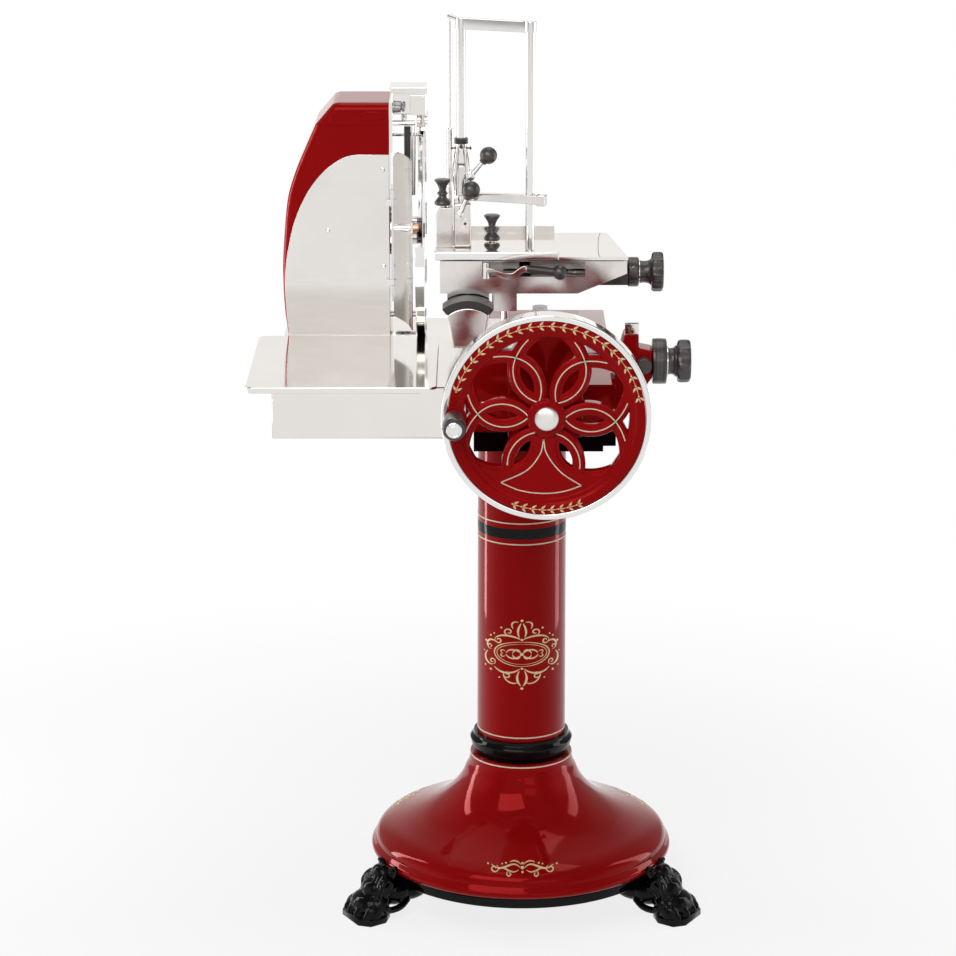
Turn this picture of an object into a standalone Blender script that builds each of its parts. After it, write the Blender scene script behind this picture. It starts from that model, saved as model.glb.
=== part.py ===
"""Hand crank meat slicer on a pedestal: flywheel, geared drive, blade, carriage, meat table, tray."""
import math

import bmesh
import bpy
from mathutils import Matrix, Vector

# Driving dimensions, in metres. X runs to the right, Y to the back, Z up, from the column's foot.
GAP = 0.0003
OVERRUN = 0.004
COLUMN_X = 0.0767
COLUMN_Y = -0.0715

# Counts of faces round a circle
FINE = 40
ROUND = 28
SMALL = 16
TINY = 10
CORNER = 6

# Counts of teeth and lobes
GEAR_TEETH = 28
LAY_TEETH = 20
PINION_COGS = 10
CROWN_COGS = 20
LAY_COGS = 12
CROSS_COGS = 8
BIG_SPROCKET_TEETH = 15
SMALL_SPROCKET_TEETH = 8
KNOB_LOBES = 8
PETALS = 6

# Pedestal
COLUMN_FOOT_R = 0.0815
COLUMN_TOP_R = 0.080
COLUMN_WALL = 0.006
COLUMN_BASE_Z = 0.2677
COLUMN_TOP_Z = 0.8925
FLANGE_R = 0.0865
FLANGE_T = 0.012
RING_R = 0.0945
RING_BEAD = 0.0035
RING_TOP_Z = 0.3082
BELL_NECK_R = 0.0935
BELL_RIM_R = 0.2785
BELL_BOTTOM_Z = 0.0783
BELL_WALL = 0.008
SKIRT_R = 0.268
SKIRT_BORE_R = 0.225
SKIRT_BOTTOM_Z = 0.059
PAW_TOE_R = 0.363
PAW_HEEL_R = 0.205
PAW_HALF = 0.050
PAW_SOLE_T = 0.014
PAW_ARCH_Z = 0.034
PAW_TOE_Z = 0.040
PAW_ANKLE_Z = 0.102
PAW_SIDE_SHARE = 0.35
PAW_ANGLES = {"left": 210.0, "right": 330.0, "rear": 90.0}

# Machine foot frame and gear housing
BASE_LEFT = -0.0877
BASE_RIGHT = 0.1613
BASE_FRONT = -0.200
BASE_BACK = 0.455
FRAME_H = 0.036
FRAME_WALL = 0.012
FRAME_FLOOR = 0.008
NOTCH_W = 0.022
NOTCH_H = 0.010
HOUSING_LEFT = -0.0997
HOUSING_WALL = 0.005
HOUSING_SHOULDER_Z = 1.0547
HOUSING_RIGHT_Z = 1.0136
HOUSING_STEP_X = 0.095
HOUSING_STEP_RUN = 0.016
HOUSING_STEP_Y = 0.140
HOUSING_REAR_DROP = 0.0332
HOUSING_REAR_Z = HOUSING_SHOULDER_Z - HOUSING_REAR_DROP
HOUSING_TAIL_Y = 0.360
HOUSING_TAIL_DROP = 0.0215
HOUSING_TAIL_Z = HOUSING_REAR_Z - HOUSING_TAIL_DROP
HOUSING_EDGE = 0.008
BUSH_R = 0.015
BUSH_H = 0.0105

# Main shaft, gears and flywheel
SHAFT_X = 0.0368
SHAFT_Z = 0.9895
SHAFT_R = 0.012
GEAR_TIP_R = 0.0345
GEAR_TOOTH = 0.004
GEAR_T = 0.020
GEAR_Y = 0.0
LAY_Z = 0.930
LAY_R = 0.008
MESH_GAP = 0.0005
CRANK_Y = 0.300
CROWN_R = 0.036
PINION_R = 0.018
BEVEL_SHARE = 2.0 / 3.0
COG_DIP = 0.12
CROSS_Y = 0.385
LAY_BEVEL_R = 0.027
CROSS_BEVEL_R = 0.018
WEB_T = 0.010
WEB_HALF = 0.030
WEB_FRONT_Y = 0.035
WEB_REAR_Y = 0.215
PILLAR_LEFT = -0.028
PILLAR_RIGHT = 0.1016
PILLAR_TOP_Z = 1.118
PILLAR_T = 0.040
NOSE_R = 0.034
NOSE_END_Y = -0.296
WHEEL_R = 0.180
WHEEL_BACK_Y = -0.305
WHEEL_FRONT_Y = -0.345
TYRE_T = 0.011
RIM_IN_R = 0.1417
WEB_DISC_T = 0.020
HUB_R = 0.031
HUB_CAP_R = 0.021
HUB_CAP_H = 0.009
PETAL_HALF = 0.029
PETAL_MID_R = 0.080
PETAL_RUN = 0.050
WINDOW_IN_R = 0.047
LENS_IN_R = 0.053
LENS_OUT_R = 0.099
LENS_HALF = 0.0097
SPINDLE_R_FROM_AXIS = 0.157
SPINDLE_R = 0.006
SPINDLE_SEAT_R = 0.014
GRIP_R = 0.0204
GRIP_BACK_Y = -0.349
GRIP_FRONT_Y = -0.422
SPINDLE_CAP_R = 0.0135
SPINDLE_CAP_T = 0.004

# Crank that drives the carriage
CRANK_THROW = 0.130
CRANK_ARM_Z = HOUSING_REAR_Z + BUSH_H + MESH_GAP
CRANK_ARM_T = 0.010
CRANK_ARM_HALF = 0.014
CRANK_SHAFT_R = 0.008
CRANK_PIN_R = 0.006
ROD_LIFT = 0.014
ROD_Z = CRANK_ARM_Z + CRANK_ARM_T + ROD_LIFT
ROD_T = 0.009
ROD_HALF = 0.007
ROD_EYE_R = 0.012
LUG_X = -0.033
LUG_Y = -0.030
LUG_PIN_R = 0.006
PIVOT_GAP = 0.001

# Side box
BOX_LEFT = -0.447
BOX_FRONT = -0.090
BOX_BACK = 0.470
BOX_BOTTOM_Z = 0.887
BOX_TOP_Z = 0.9815
SHEET_T = 0.004
# Blade group
BLADE_X = -0.1835
BLADE_Y = 0.350
BLADE_R = 0.185
BLADE_LIFT = 0.0115
BLADE_Z = BOX_TOP_Z + BLADE_LIFT + BLADE_R
BLADE_TOP_Z = BLADE_Z + BLADE_R
BLADE_T = 0.004
BLADE_DISH = 0.006
BLADE_EDGE = 0.012
BLADE_HUB_R = 0.034
BLADE_SHAFT_R = 0.010
BLADE_NUT_R = 0.017
BLADE_NUT_T = 0.007
ARM_FLANGE_R = 0.046
ARM_FLANGE_T = 0.008
ARM_BOSS_R = 0.026
GUARD_GAP = 0.003
GUARD_T = 0.016
GUARD_THIN = 0.0075
GUARD_WIDE = 0.030
GUARD_START = 178.0
GUARD_WIDE_START = 300.0
GUARD_END = 434.0
GUARD_STAY_R = 0.006
GUARD_STAYS = (292.0, 422.0)

# Drive cover, slice wall and chain
COVER_RIGHT = -0.2455
COVER_LEFT = -0.4471
COVER_FRONT = 0.3008
COVER_BACK = 0.460
COVER_RISE = 0.084
COVER_TOP_Z = BLADE_TOP_Z + COVER_RISE
LID_H = 0.061
COVER_SEAM_Z = COVER_TOP_Z - LID_H
COVER_EDGE = 0.012
WALL_RIGHT = -0.2458
WALL_T = 0.002
WALL_DROP = 0.116
WALL_TOP_Z = COVER_TOP_Z - WALL_DROP
WALL_LEFT = -0.4426
CHAIN_X = -0.290
CHAIN_W = 0.008
CHAIN_T = 0.006
CHAIN_HOLE_HALF = 0.055
CROSS_R = 0.008
BIG_SPROCKET_R = 0.030
SMALL_SPROCKET_R = 0.016

# Sharpener
SHARP_LEFT = -0.2437
SHARP_RIGHT = -0.1768
SHARP_FRONT_Y = 0.312
SHARP_BACK_Y = 0.372
SHARP_LID_T = 0.007
SHARP_BOX_H = 0.044
SHARP_POST_R = 0.005
SHARP_POST_Y = 0.352
SHARP_BRACKET_T = 0.006
SHARP_STONE_R = 0.010
SHARP_STONE_T = 0.006
SHARP_PLATE_H = 0.050
SHARP_LIFT = 0.022
SHARP_SHELF_Z = BLADE_TOP_Z + SHARP_LIFT
SHARP_SEAT_H = 0.010
SHARP_BRACKET_Z = SHARP_SHELF_Z + SHARP_SEAT_H
SHARP_HEAD_RISE = 0.0704
SHARP_TOP_Z = SHARP_SHELF_Z + SHARP_HEAD_RISE
SHARP_SHELF_HALF = 0.008
SHARP_POST_X = -0.218
SHARP_POST_H = 0.045
SHARP_POST_TOP_Z = SHARP_SHELF_Z + SHARP_POST_H
SHARP_DROP = 0.018
SHARP_STONE_GAP = 0.002
SHARP_STAY_Y = 0.3025
SHARP_STAY_Z = SHARP_SHELF_Z + SHARP_POST_R
SHARP_STAY_RIGHT = -0.1970
SHARP_KNOB_R = 0.010
SHARP_KNOB_L = 0.024
SHARP_KNOB_RISE = 0.0345
SHARP_KNOB_Z = SHARP_SHELF_Z + SHARP_KNOB_RISE
SHARP_KNOB_Y = 0.2975

# Slice deflector
DEFLECT_TOP_Z = 1.3428
DEFLECT_BOTTOM_Z = 1.0275
DEFLECT_HINGE_X = -0.2385
DEFLECT_HINGE_Y = 0.2860
DEFLECT_EDGE_X = -0.2010
DEFLECT_EDGE_Y = 0.1600
DEFLECT_T = 0.002
DEFLECT_PIN_R = 0.003
DEFLECT_KNUCKLE_R = 0.0055
DEFLECT_KNUCKLE_H = 0.020
DEFLECT_CORNER = 0.030
DEFLECT_KNOB_Z = 1.2224
DEFLECT_KNOB_Y = 0.150
DEFLECT_KNOB_LEFT = -0.2341
DEFLECT_KNOB_RIGHT = -0.1990
DEFLECT_KNOB_R = 0.0075
DEFLECT_NUT_R = 0.0085
DEFLECT_NUT_END = -0.1870

# Guide rails and their supports
RAIL_X = (-0.1175, -0.0775)
RAIL_Z = 1.118
RAIL_R = 0.010
RAIL_FRONT_Y = -0.0497
SUPPORT_LEFT = -0.135
SUPPORT_RIGHT = -0.060
SUPPORT_FRONT = -0.100
SUPPORT_TOP_Z = 1.1280
SUPPORT_SHOULDER = 0.010
PAD_T = 0.013
REAR_SUPPORT_T = 0.020
REAR_SUPPORT_TOP = 1.140
REAR_SUPPORT_FOOT = 0.940

# Carriage
CAR_LEFT = -0.1473
CAR_RIGHT = 0.1840
CAR_FRONT = -0.050
CAR_BACK = 0.160
CAR_BOTTOM_Z = 1.1430
CAR_TOP_Z = 1.2015
CAR_WALL = 0.006
CAR_TAPER_X = 0.0968
CAR_TAPER_Z = 1.179
SLOT_LEFT = -0.0729
SLOT_RIGHT = 0.1097
SLOT_BOTTOM_Z = 1.1736
SLOT_TOP_Z = 1.2007
RUNNER_LENGTH = 0.030
RUNNER_FRONT_Y = -0.042
RUNNER_REAR_Y = 0.115
RUNNER_MARGIN = 0.007
LUG_W = 0.044
LUG_L = 0.030
LUG_BOTTOM_Z = 1.110
FEED_Y = 0.050
FEED_Z = 1.1615
FEED_R = 0.006
FEED_THREAD = 0.0012
FEED_BLOCK_LEFT = 0.135
FEED_BLOCK_RIGHT = 0.1895
FEED_BLOCK_HALF = 0.022
FEED_BLOCK_H = 0.020
FEED_FLANGE_R = 0.027
FEED_FLANGE_T = 0.0215
FEED_NECK_R = 0.021
FEED_NECK_END = 0.232
FEED_KNOB_R = 0.0365
FEED_KNOB_END = 0.254
FEED_SCREW_LEFT = -0.035
FEED_BORE_LEFT = 0.104

# Release lever of the meat table
LEVER_PIVOT_X = -0.0655
LEVER_PIVOT_Y = -0.0529
LEVER_Y = -0.0600
LEVER_HUB_R = 0.0062
LEVER_T = 0.006
LEVER_H = 0.008
LEVER_DIP_X = -0.0180
LEVER_DIP_Z = 1.1800
LEVER_GRIP_X = 0.0080
LEVER_GRIP_Z = 1.1900
LEVER_GRIP_R = 0.0058
LEVER_BALL_X = 0.0648
LEVER_BALL_Z = 1.1833
LEVER_BALL_R = 0.0135

# Meat table and its furniture
TABLE_TOP_Z = 1.209
TABLE_T = 0.006
TABLE_LEFT = -0.157
TABLE_RIGHT = 0.186
TABLE_BACK_RIGHT = 0.156
TABLE_FRONT = -0.0495
TABLE_BACK = 0.170
LIP_RIGHT = 0.0631
LIP_FRONT = -0.065
LIP_BACK = -0.050
LIP_BOTTOM_Z = 1.2055
LIP_TOP_Z = 1.221
FENCE_TOP_Z = 1.222
FENCE_T = 0.004
FENCE_RIGHT = 0.060
NUT_LEFT = -0.006
NUT_RIGHT = 0.014
NUT_HALF = 0.012
POST_R = 0.00775
POST_LEFT_X = -0.110
POST_LEFT_Y = 0.060
POST_RIGHT_X = 0.0125
POST_RIGHT_Y = 0.013
POST_TOP_Z = 1.6105
POST_PEG_R = 0.005
POST_PEG_H = 0.004
CROSSBAR_T = 0.0072
CROSSBAR_HALF = 0.0125
TUBE_X = -0.1300
TUBE_Y = 0.110
TUBE_R = 0.0065
TUBE_TOP_Z = 1.475
THIN_ROD_R = 0.0035
BLOCK_LEFT = -0.155
BLOCK_MID = -0.1265
BLOCK_STEP = -0.1240
BLOCK_RIGHT = -0.092
BLOCK_FRONT = 0.032
BLOCK_BACK = 0.088
BLOCK_LOW_Z = 1.281
BLOCK_HIGH_Z = 1.290
BLOCK_FOOT_H = 0.020
BLOCK_EDGE = 0.003
SMALL_KNOB_R = 0.0145
SMALL_KNOB_H = 0.050
BLOCK_KNOB_X = -0.1435
BLOCK_KNOB_Y = 0.050
TABLE_KNOB_X = -0.0547
TABLE_KNOB_Y = 0.0875
CLAMP_BOTTOM_Z = 1.3003
CLAMP_TOP_Z = 1.4600
CLAMP_R = 0.0155
CLAMP_NECK_R = 0.0105
CLAMP_COLLAR_R = 0.0125
CLAMP_COLLAR_H = 0.014
CLAMP_BOSS_R = 0.0085
PRESS_Z = 1.3025
PRESS_H = 0.016
PRESS_HALF = 0.0085
PRESS_TAIL = 0.030
PRESS_FOOT_H = 0.004
PRESS_FOOT_L = 0.013
PRESS_FOOT_SHARE = 0.8
CLAMP_PIVOT_X = -0.0935
CLAMP_PIVOT_Z = 1.3370
CLAMP_LEVER_Y = 0.0400
CLAMP_BALL_X = -0.0612
CLAMP_BALL_Z = 1.3750
CLAMP_BALL_R = 0.0155
BLOCK_PIVOT_X = -0.1130
BLOCK_PIVOT_Z = 1.2700
BLOCK_LEVER_Y = 0.0270
BLOCK_BALL_X = -0.0927
BLOCK_BALL_Y = 0.0150
BLOCK_BALL_Z = 1.3170
BLOCK_BALL_R = 0.0165
BALL_LEVER_R = 0.0042
BALL_HUB_R = 0.0075
BALL_HUB_T = 0.0094

# Receiving tray
TRAY_LEFT = -0.493
TRAY_RIGHT = -0.153
TRAY_FRONT = -0.110
TRAY_BACK = 0.2975
TRAY_RISE = 0.0045
TRAY_TOP_Z = BOX_TOP_Z + TRAY_RISE
TRAY_LIP_H = 0.018
TRAY_LIP_T = 0.003
TRAY_CORNER = 0.018

# Thickness setting
DIAL_Y = -0.100
DIAL_Z = 1.0320
DIAL_LEFT = 0.228
DIAL_RIGHT = 0.253
DIAL_R = 0.0405
DIAL_NECK_R = 0.028
DIAL_NECK_END = 0.271
DIAL_KNOB_R = 0.039
DIAL_KNOB_END = 0.296
DIAL_SPINDLE_R = 0.008
BRACKET_HALF = 0.025
BRACKET_REACH = 0.014
BRACKET_EASE = 0.003
BRACKET_FOOT_Z = 0.955
BRACKET_BOSS_R = 0.024
BRACKET_ARM_TOP_Z = 1.0860
BRACKET_ARM_LEFT = 0.178
BRACKET_ARM_RIGHT = 0.203
TAB_TOP_Z = 1.105
TAB_T = 0.0028
TAB_REACH = 0.010
STOP_R = 0.0135
STOP_X = 0.2120
STOP_Z = 1.0331
STOP_FRONT_Y = -0.147

# Outlines as shares of the size they follow
ROUND_PROFILE_SHARE = 0.5
CROWN_DIP = 0.06
BELL_SHARES = (
    (0.000, 1.000), (0.016, 0.904), (0.047, 0.840), (0.092, 0.741), (0.175, 0.626),
    (0.300, 0.512), (0.455, 0.416), (0.635, 0.336), (0.800, 0.272), (0.930, 0.205),
    (0.985, 0.130), (1.000, 0.048),
)
COVER_SHARES = (
    (0.0447, 0.000), (0.000, 0.226), (0.000, 0.335), (0.0466, 0.547), (0.1185, 0.664),
    (0.2307, 0.781), (0.3145, 0.869),
)
LID_SHARES = ((0.3145, 0.000), (0.4509, 0.795), (0.5159, 1.000), (1.000, 1.000))
WALL_SHARES = (
    (0.035, 0.000), (0.000, 0.270), (0.004, 0.345), (0.034, 0.490), (0.090, 0.625),
    (0.175, 0.745), (0.275, 0.840), (0.400, 0.920), (0.540, 0.975), (0.665, 1.000), (1.000, 1.000),
)
PAW_SHARES = (
    (0.000, 0.78, 1.00, 0.62), (0.245, 0.62, 1.00, 0.60), (0.465, 0.30, 1.00, 0.56),
)
GRIP_SHARES = ((0.80, 0.00), (0.84, 0.06), (0.88, 0.30), (1.00, 0.65), (1.00, 0.90), (0.90, 1.00))
WAISTED_SHARES = (
    (0.00, 0.00), (0.55, 0.00), (0.90, 0.05), (1.00, 0.12), (0.45, 0.38), (0.62, 0.44),
    (0.62, 0.52), (0.45, 0.58), (0.50, 0.68), (0.95, 0.92), (1.00, 0.97), (0.90, 1.00), (0.00, 1.00),
)
SHARP_KNOB_SHARES = (
    (0.00, 0.00), (0.95, 0.00), (1.00, 0.08), (0.86, 0.66), (0.50, 0.68),
    (0.50, 0.74), (0.80, 0.78), (0.70, 0.93), (0.00, 1.00),
)
CLAMP_SHARES = (
    (0.000, 0.86), (0.060, 0.90), (0.065, 0.76), (0.240, 0.84), (0.420, 1.00), (0.600, 0.92),
    (0.780, 0.68), (0.880, 0.66),
)

# Finishes: colour, roughness, metallic
RED = ((0.36, 0.008, 0.012), 0.18, 0.0)
BLACK = ((0.012, 0.012, 0.013), 0.25, 0.0)
CHROME = ((0.86, 0.85, 0.84), 0.10, 1.0)
STEEL = ((0.66, 0.64, 0.62), 0.30, 1.0)
ALUMINIUM = ((0.78, 0.75, 0.74), 0.22, 1.0)
BAKELITE = ((0.050, 0.042, 0.040), 0.42, 0.0)
GEAR_STEEL = ((0.42, 0.42, 0.43), 0.38, 1.0)

AXES = {"X": Vector((1.0, 0.0, 0.0)), "Y": Vector((0.0, 1.0, 0.0)), "Z": Vector((0.0, 0.0, 1.0))}
places = {}


def clear_scene():
    """Removes every object that the scene holds."""
    for thing in list(bpy.data.objects):
        bpy.data.objects.remove(thing, do_unlink=True)


def finish(name, look):
    """Material of one piece."""
    colour, roughness, metallic = look
    surface = bpy.data.materials.new(name + "_finish")
    surface.use_nodes = True
    shader = surface.node_tree.nodes["Principled BSDF"]
    shader.inputs["Base Color"].default_value = (*colour, 1.0)
    shader.inputs["Roughness"].default_value = roughness
    shader.inputs["Metallic"].default_value = metallic
    return surface


def pivot(name, at, parent=None):
    """Empty on a joint's axis. Its place is given from the column's foot."""
    empty = bpy.data.objects.new(name, None)
    bpy.context.scene.collection.objects.link(empty)
    places[empty.name] = Vector(at)
    if parent is not None:
        empty.parent = parent
        empty.location = Vector(at) - places[parent.name]
    return empty


def mesh_object(name, shape, parent):
    """Object from a bmesh drawn from the column's foot, hung under its parent empty."""
    bmesh.ops.remove_doubles(shape, verts=shape.verts, dist=GAP / 30)
    bmesh.ops.recalc_face_normals(shape, faces=shape.faces)
    mesh = bpy.data.meshes.new(name)
    shape.to_mesh(mesh)
    shape.free()
    mesh.transform(Matrix.Translation(-places[parent.name]))
    thing = bpy.data.objects.new(name, mesh)
    bpy.context.scene.collection.objects.link(thing)
    thing.parent = parent
    return thing


def solid(name, shape, look, parent):
    """One finished piece of the machine, smooth where its faces meet at small angles."""
    thing = mesh_object(name, shape, parent)
    thing.data.materials.append(finish(name, look))
    thing.data.shade_smooth()
    thing.data.set_sharp_from_angle(angle=math.radians(35.0))
    return thing


def combine(thing, shapes, operation):
    """Boolean modifiers that add shapes to a piece or cut them from it."""
    for shape in shapes:
        number = len(thing.modifiers) + 1
        tool = mesh_object(f"{thing.name}_tool_{number}", shape, thing.parent)
        tool.hide_render = True
        tool.display_type = "WIRE"
        step = thing.modifiers.new(f"{operation.lower()}_{number}", "BOOLEAN")
        step.operation = operation
        step.solver = "EXACT"
        step.object = tool
    return thing


def fuse(thing, *shapes):
    return combine(thing, shapes, "UNION")


def carve(thing, *shapes):
    return combine(thing, shapes, "DIFFERENCE")


def frame_of(axis):
    """Two directions across an axis that make a right-handed set with it."""
    along = AXES[axis]
    across = AXES["X"] if axis != "X" else AXES["Y"]
    if axis == "Y":
        return along, AXES["Z"], AXES["X"]
    return along, across, along.cross(across)


def turned(profile, axis, at, steps=ROUND, lobes=0):
    """Solid of revolution. The profile holds radius, place along the axis and, if lobed, a dip share."""
    shape = bmesh.new()
    along, first, second = frame_of(axis)
    centre = Vector(at)
    rings = []
    for entry in profile:
        radius, height = entry[0], entry[1]
        dip = entry[2] if len(entry) > 2 else 0.0
        middle = centre + along * (height - centre.dot(along))
        if radius == 0:
            rings.append([shape.verts.new(middle)])
            continue
        ring = []
        for number in range(steps):
            angle = math.tau * number / steps
            reach = radius * (1.0 - dip * (0.5 - 0.5 * math.cos(lobes * angle)))
            outward = math.cos(angle) * first + math.sin(angle) * second
            ring.append(shape.verts.new(middle + reach * outward))
        rings.append(ring)
    pairs = list(zip(rings, rings[1:]))
    if len(rings[0]) > 1 and len(rings[-1]) > 1:
        pairs.append((rings[-1], rings[0]))
    for low, high in pairs:
        bridge(shape, low, high)
    return shape


def bridge(shape, low, high):
    """Faces between two rings, either of which may be a single point."""
    count = max(len(low), len(high))
    for number in range(count):
        after = (number + 1) % count
        if len(low) == 1:
            shape.faces.new((low[0], high[number], high[after]))
        elif len(high) == 1:
            shape.faces.new((low[number], high[0], low[after]))
        else:
            shape.faces.new((low[number], high[number], high[after], low[after]))


def disc(radius, axis, low, high, at, steps=ROUND):
    """Plain round solid between two places along an axis."""
    return turned(((0, low), (radius, low), (radius, high), (0, high)), axis, at, steps)


def ring_solid(outer, inner, axis, low, high, at, steps=ROUND):
    """Plain round tube between two places along an axis."""
    return turned(((outer, low), (outer, high), (inner, high), (inner, low)), axis, at, steps)


def prism(outline, axis, low, high):
    """Straight solid on an outline: (Y, Z) pairs along X, (X, Z) along Y or (X, Y) along Z."""
    shape = bmesh.new()
    order = {
        "X": lambda point, depth: (depth, point[0], point[1]),
        "Y": lambda point, depth: (point[0], depth, point[1]),
        "Z": lambda point, depth: (point[0], point[1], depth),
    }
    place = order[axis]
    near = [shape.verts.new(place(point, low)) for point in outline]
    far = [shape.verts.new(place(point, high)) for point in outline]
    shape.faces.new(near)
    shape.faces.new(far)
    bridge(shape, near, far)
    return shape


def block(low, high):
    """Rectangular solid between two corners."""
    outline = ((low[0], low[1]), (high[0], low[1]), (high[0], high[1]), (low[0], high[1]))
    return prism(outline, "Z", low[2], high[2])


def rod(start, end, radius, end_radius=None, steps=SMALL):
    """Round bar between two points, tapered if a second radius is given."""
    shape = bmesh.new()
    a, b = Vector(start), Vector(end)
    along = (b - a).normalized()
    first = along.orthogonal().normalized()
    second = along.cross(first)
    rings = []
    angles = [math.tau * number / steps for number in range(steps)]
    outward = [math.cos(angle) * first + math.sin(angle) * second for angle in angles]
    for centre, reach in ((a, radius), (b, end_radius or radius)):
        rings.append([shape.verts.new(centre + reach * direction) for direction in outward])
    bridge(shape, rings[0], rings[1])
    shape.faces.new(rings[0])
    shape.faces.new(rings[1])
    return shape


def ball(at, radius, steps=SMALL):
    """Round knob."""
    shape = bmesh.new()
    place = Matrix.Translation(Vector(at))
    bmesh.ops.create_uvsphere(shape, u_segments=steps, v_segments=steps // 2, radius=radius, matrix=place)
    return shape


def eased(shape, width, steps=1, limit=40.0):
    """The same shape with its sharp edges rounded."""
    bmesh.ops.recalc_face_normals(shape, faces=shape.faces)
    sharp = [edge for edge in shape.edges if edge.calc_face_angle(0.0) > math.radians(limit)]
    bmesh.ops.bevel(shape, geom=sharp, offset=width, segments=steps, profile=ROUND_PROFILE_SHARE,
                    affect="EDGES")
    return shape


def arc(centre, radius, start, end, steps):
    """Points on a circle, from one angle to another in degrees."""
    turn = (end - start) / steps
    angles = [math.radians(start + turn * number) for number in range(steps + 1)]
    return [(centre[0] + radius * math.cos(t), centre[1] + radius * math.sin(t)) for t in angles]


def rounded_rectangle(left, right, low, high, radius, steps=3):
    """Outline of a rectangle with round corners."""
    corners = ((right - radius, low + radius, 270), (right - radius, high - radius, 0),
               (left + radius, high - radius, 90), (left + radius, low + radius, 180))
    points = []
    for across, up, start in corners:
        points += arc((across, up), radius, start, start + 90, steps)
    return points


def toothed(tip, depth, teeth, axis, low, high, at):
    """Spur gear with straight-sided teeth."""
    root = tip - depth
    along_shares = ((0.00, root), (0.20, tip), (0.50, tip), (0.70, root))
    outline = []
    for number in range(teeth):
        for share, reach in along_shares:
            angle = math.tau * (number + share) / teeth
            outline.append((reach * math.cos(angle), reach * math.sin(angle)))
    centre = {"X": (at[1], at[2]), "Y": (at[0], at[2]), "Z": (at[0], at[1])}[axis]
    moved = [(centre[0] + a, centre[1] + b) for a, b in outline]
    return prism(moved, axis, low, high)


def paw(name, angle, root):
    """Cast foot: an arched leg under the skirt that ends in four toes."""
    reach = PAW_TOE_R - PAW_HEEL_R
    under = SKIRT_BOTTOM_Z - GAP
    outside = (BELL_RIM_R + 2 * GAP - PAW_HEEL_R) / reach
    step = GAP / reach * 2
    sections = [(share, floor * PAW_ARCH_Z, top * under, half) for share, floor, top, half in PAW_SHARES]
    sections += [
        (outside - step, 0.1 * PAW_ARCH_Z, under, 0.60),
        (outside, 0.1 * PAW_ARCH_Z, PAW_ANKLE_Z, 0.62),
        (0.62, 0, 0.84 * PAW_ANKLE_Z, 0.72),
        (0.76, 0, 0.60 * PAW_ANKLE_Z, 0.88),
        (0.90, 0, 1.15 * PAW_TOE_Z, 1.00),
        (0.97, 0, 0.75 * PAW_TOE_Z, 1.00),
        (1.00, 0, PAW_SOLE_T, 0.96),
    ]
    sides = 16
    shape = bmesh.new()
    rings = []
    for share, floor, top, half_share in sections:
        half = PAW_HALF * half_share
        toe = max(0.0, share - 0.62) / 0.38
        ring = [shape.verts.new((share * reach + PAW_HEEL_R, side * half, floor)) for side in (-1, 1)]
        for number in range(sides + 1):
            across = math.cos(math.pi * number / sides)
            crown = PAW_SIDE_SHARE + (1 - PAW_SIDE_SHARE) * math.sqrt(max(0.0, 1 - across * across))
            lobes = 1 - 0.30 * toe * (0.5 + 0.5 * math.cos(math.tau * 2 * (across + 1)))
            height = floor + (top - floor) * crown * lobes
            ring.append(shape.verts.new((share * reach + PAW_HEEL_R, across * half, height)))
        rings.append(ring)
    for low, high in zip(rings, rings[1:]):
        bridge(shape, low, high)
    shape.faces.new(rings[0])
    shape.faces.new(rings[-1])
    shape.transform(Matrix.Rotation(math.radians(angle), 4, "Z"))
    solid(name, shape, BLACK, root)


def pedestal(root):
    """Feet, skirt, bell, ring moulding and column."""
    centre = (0, 0, 0)
    for side, angle in PAW_ANGLES.items():
        paw(f"paw_foot_{side}", angle, root)
    skirt = ring_solid(SKIRT_R, SKIRT_BORE_R, "Z", SKIRT_BOTTOM_Z, BELL_BOTTOM_Z - GAP, centre, FINE)
    solid("base_skirt", skirt, BLACK, root)
    bell_top = COLUMN_BASE_Z - GAP
    spread = BELL_RIM_R - BELL_NECK_R
    height = bell_top - BELL_BOTTOM_Z
    outer = [(BELL_NECK_R + a * spread, BELL_BOTTOM_Z + b * height) for a, b in BELL_SHARES]
    outer.append((BELL_RIM_R - GAP * 10, BELL_BOTTOM_Z))
    inner = [(r - BELL_WALL, z - BELL_WALL) for r, z in reversed(outer[1:-1:2])]
    inner[0] = (inner[0][0], BELL_BOTTOM_Z)
    inner.append((BELL_NECK_R - 3 * BELL_WALL, bell_top - BELL_WALL))
    inner.append((BELL_NECK_R - 3 * BELL_WALL, bell_top))
    solid("pedestal_bell", turned(outer + inner, "Z", centre, FINE), RED, root)
    bore = COLUMN_FOOT_R + GAP
    low, high = COLUMN_BASE_Z, RING_TOP_Z
    middle = (low + high) / 2
    moulding = (
        (bore, low), (RING_R - RING_BEAD, low), (RING_R, low + RING_BEAD), (RING_R, low + 2 * RING_BEAD),
        (RING_R - RING_BEAD, low + 3 * RING_BEAD), (RING_R - RING_BEAD / 2, middle),
        (RING_R - RING_BEAD, high - 3 * RING_BEAD), (RING_R - RING_BEAD / 2, high - 2 * RING_BEAD),
        (RING_R - 2 * RING_BEAD, high), (bore, high),
    )
    solid("column_foot_ring", turned(moulding, "Z", centre, FINE), BLACK, root)
    inside = COLUMN_TOP_R - COLUMN_WALL
    tube = (
        (inside, COLUMN_BASE_Z), (COLUMN_FOOT_R, COLUMN_BASE_Z), (COLUMN_TOP_R, COLUMN_TOP_Z - 2 * FLANGE_T),
        (FLANGE_R, COLUMN_TOP_Z - FLANGE_T), (FLANGE_R, COLUMN_TOP_Z), (inside, COLUMN_TOP_Z),
    )
    solid("pedestal_column", turned(tube, "Z", centre, FINE), RED, root)


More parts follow.
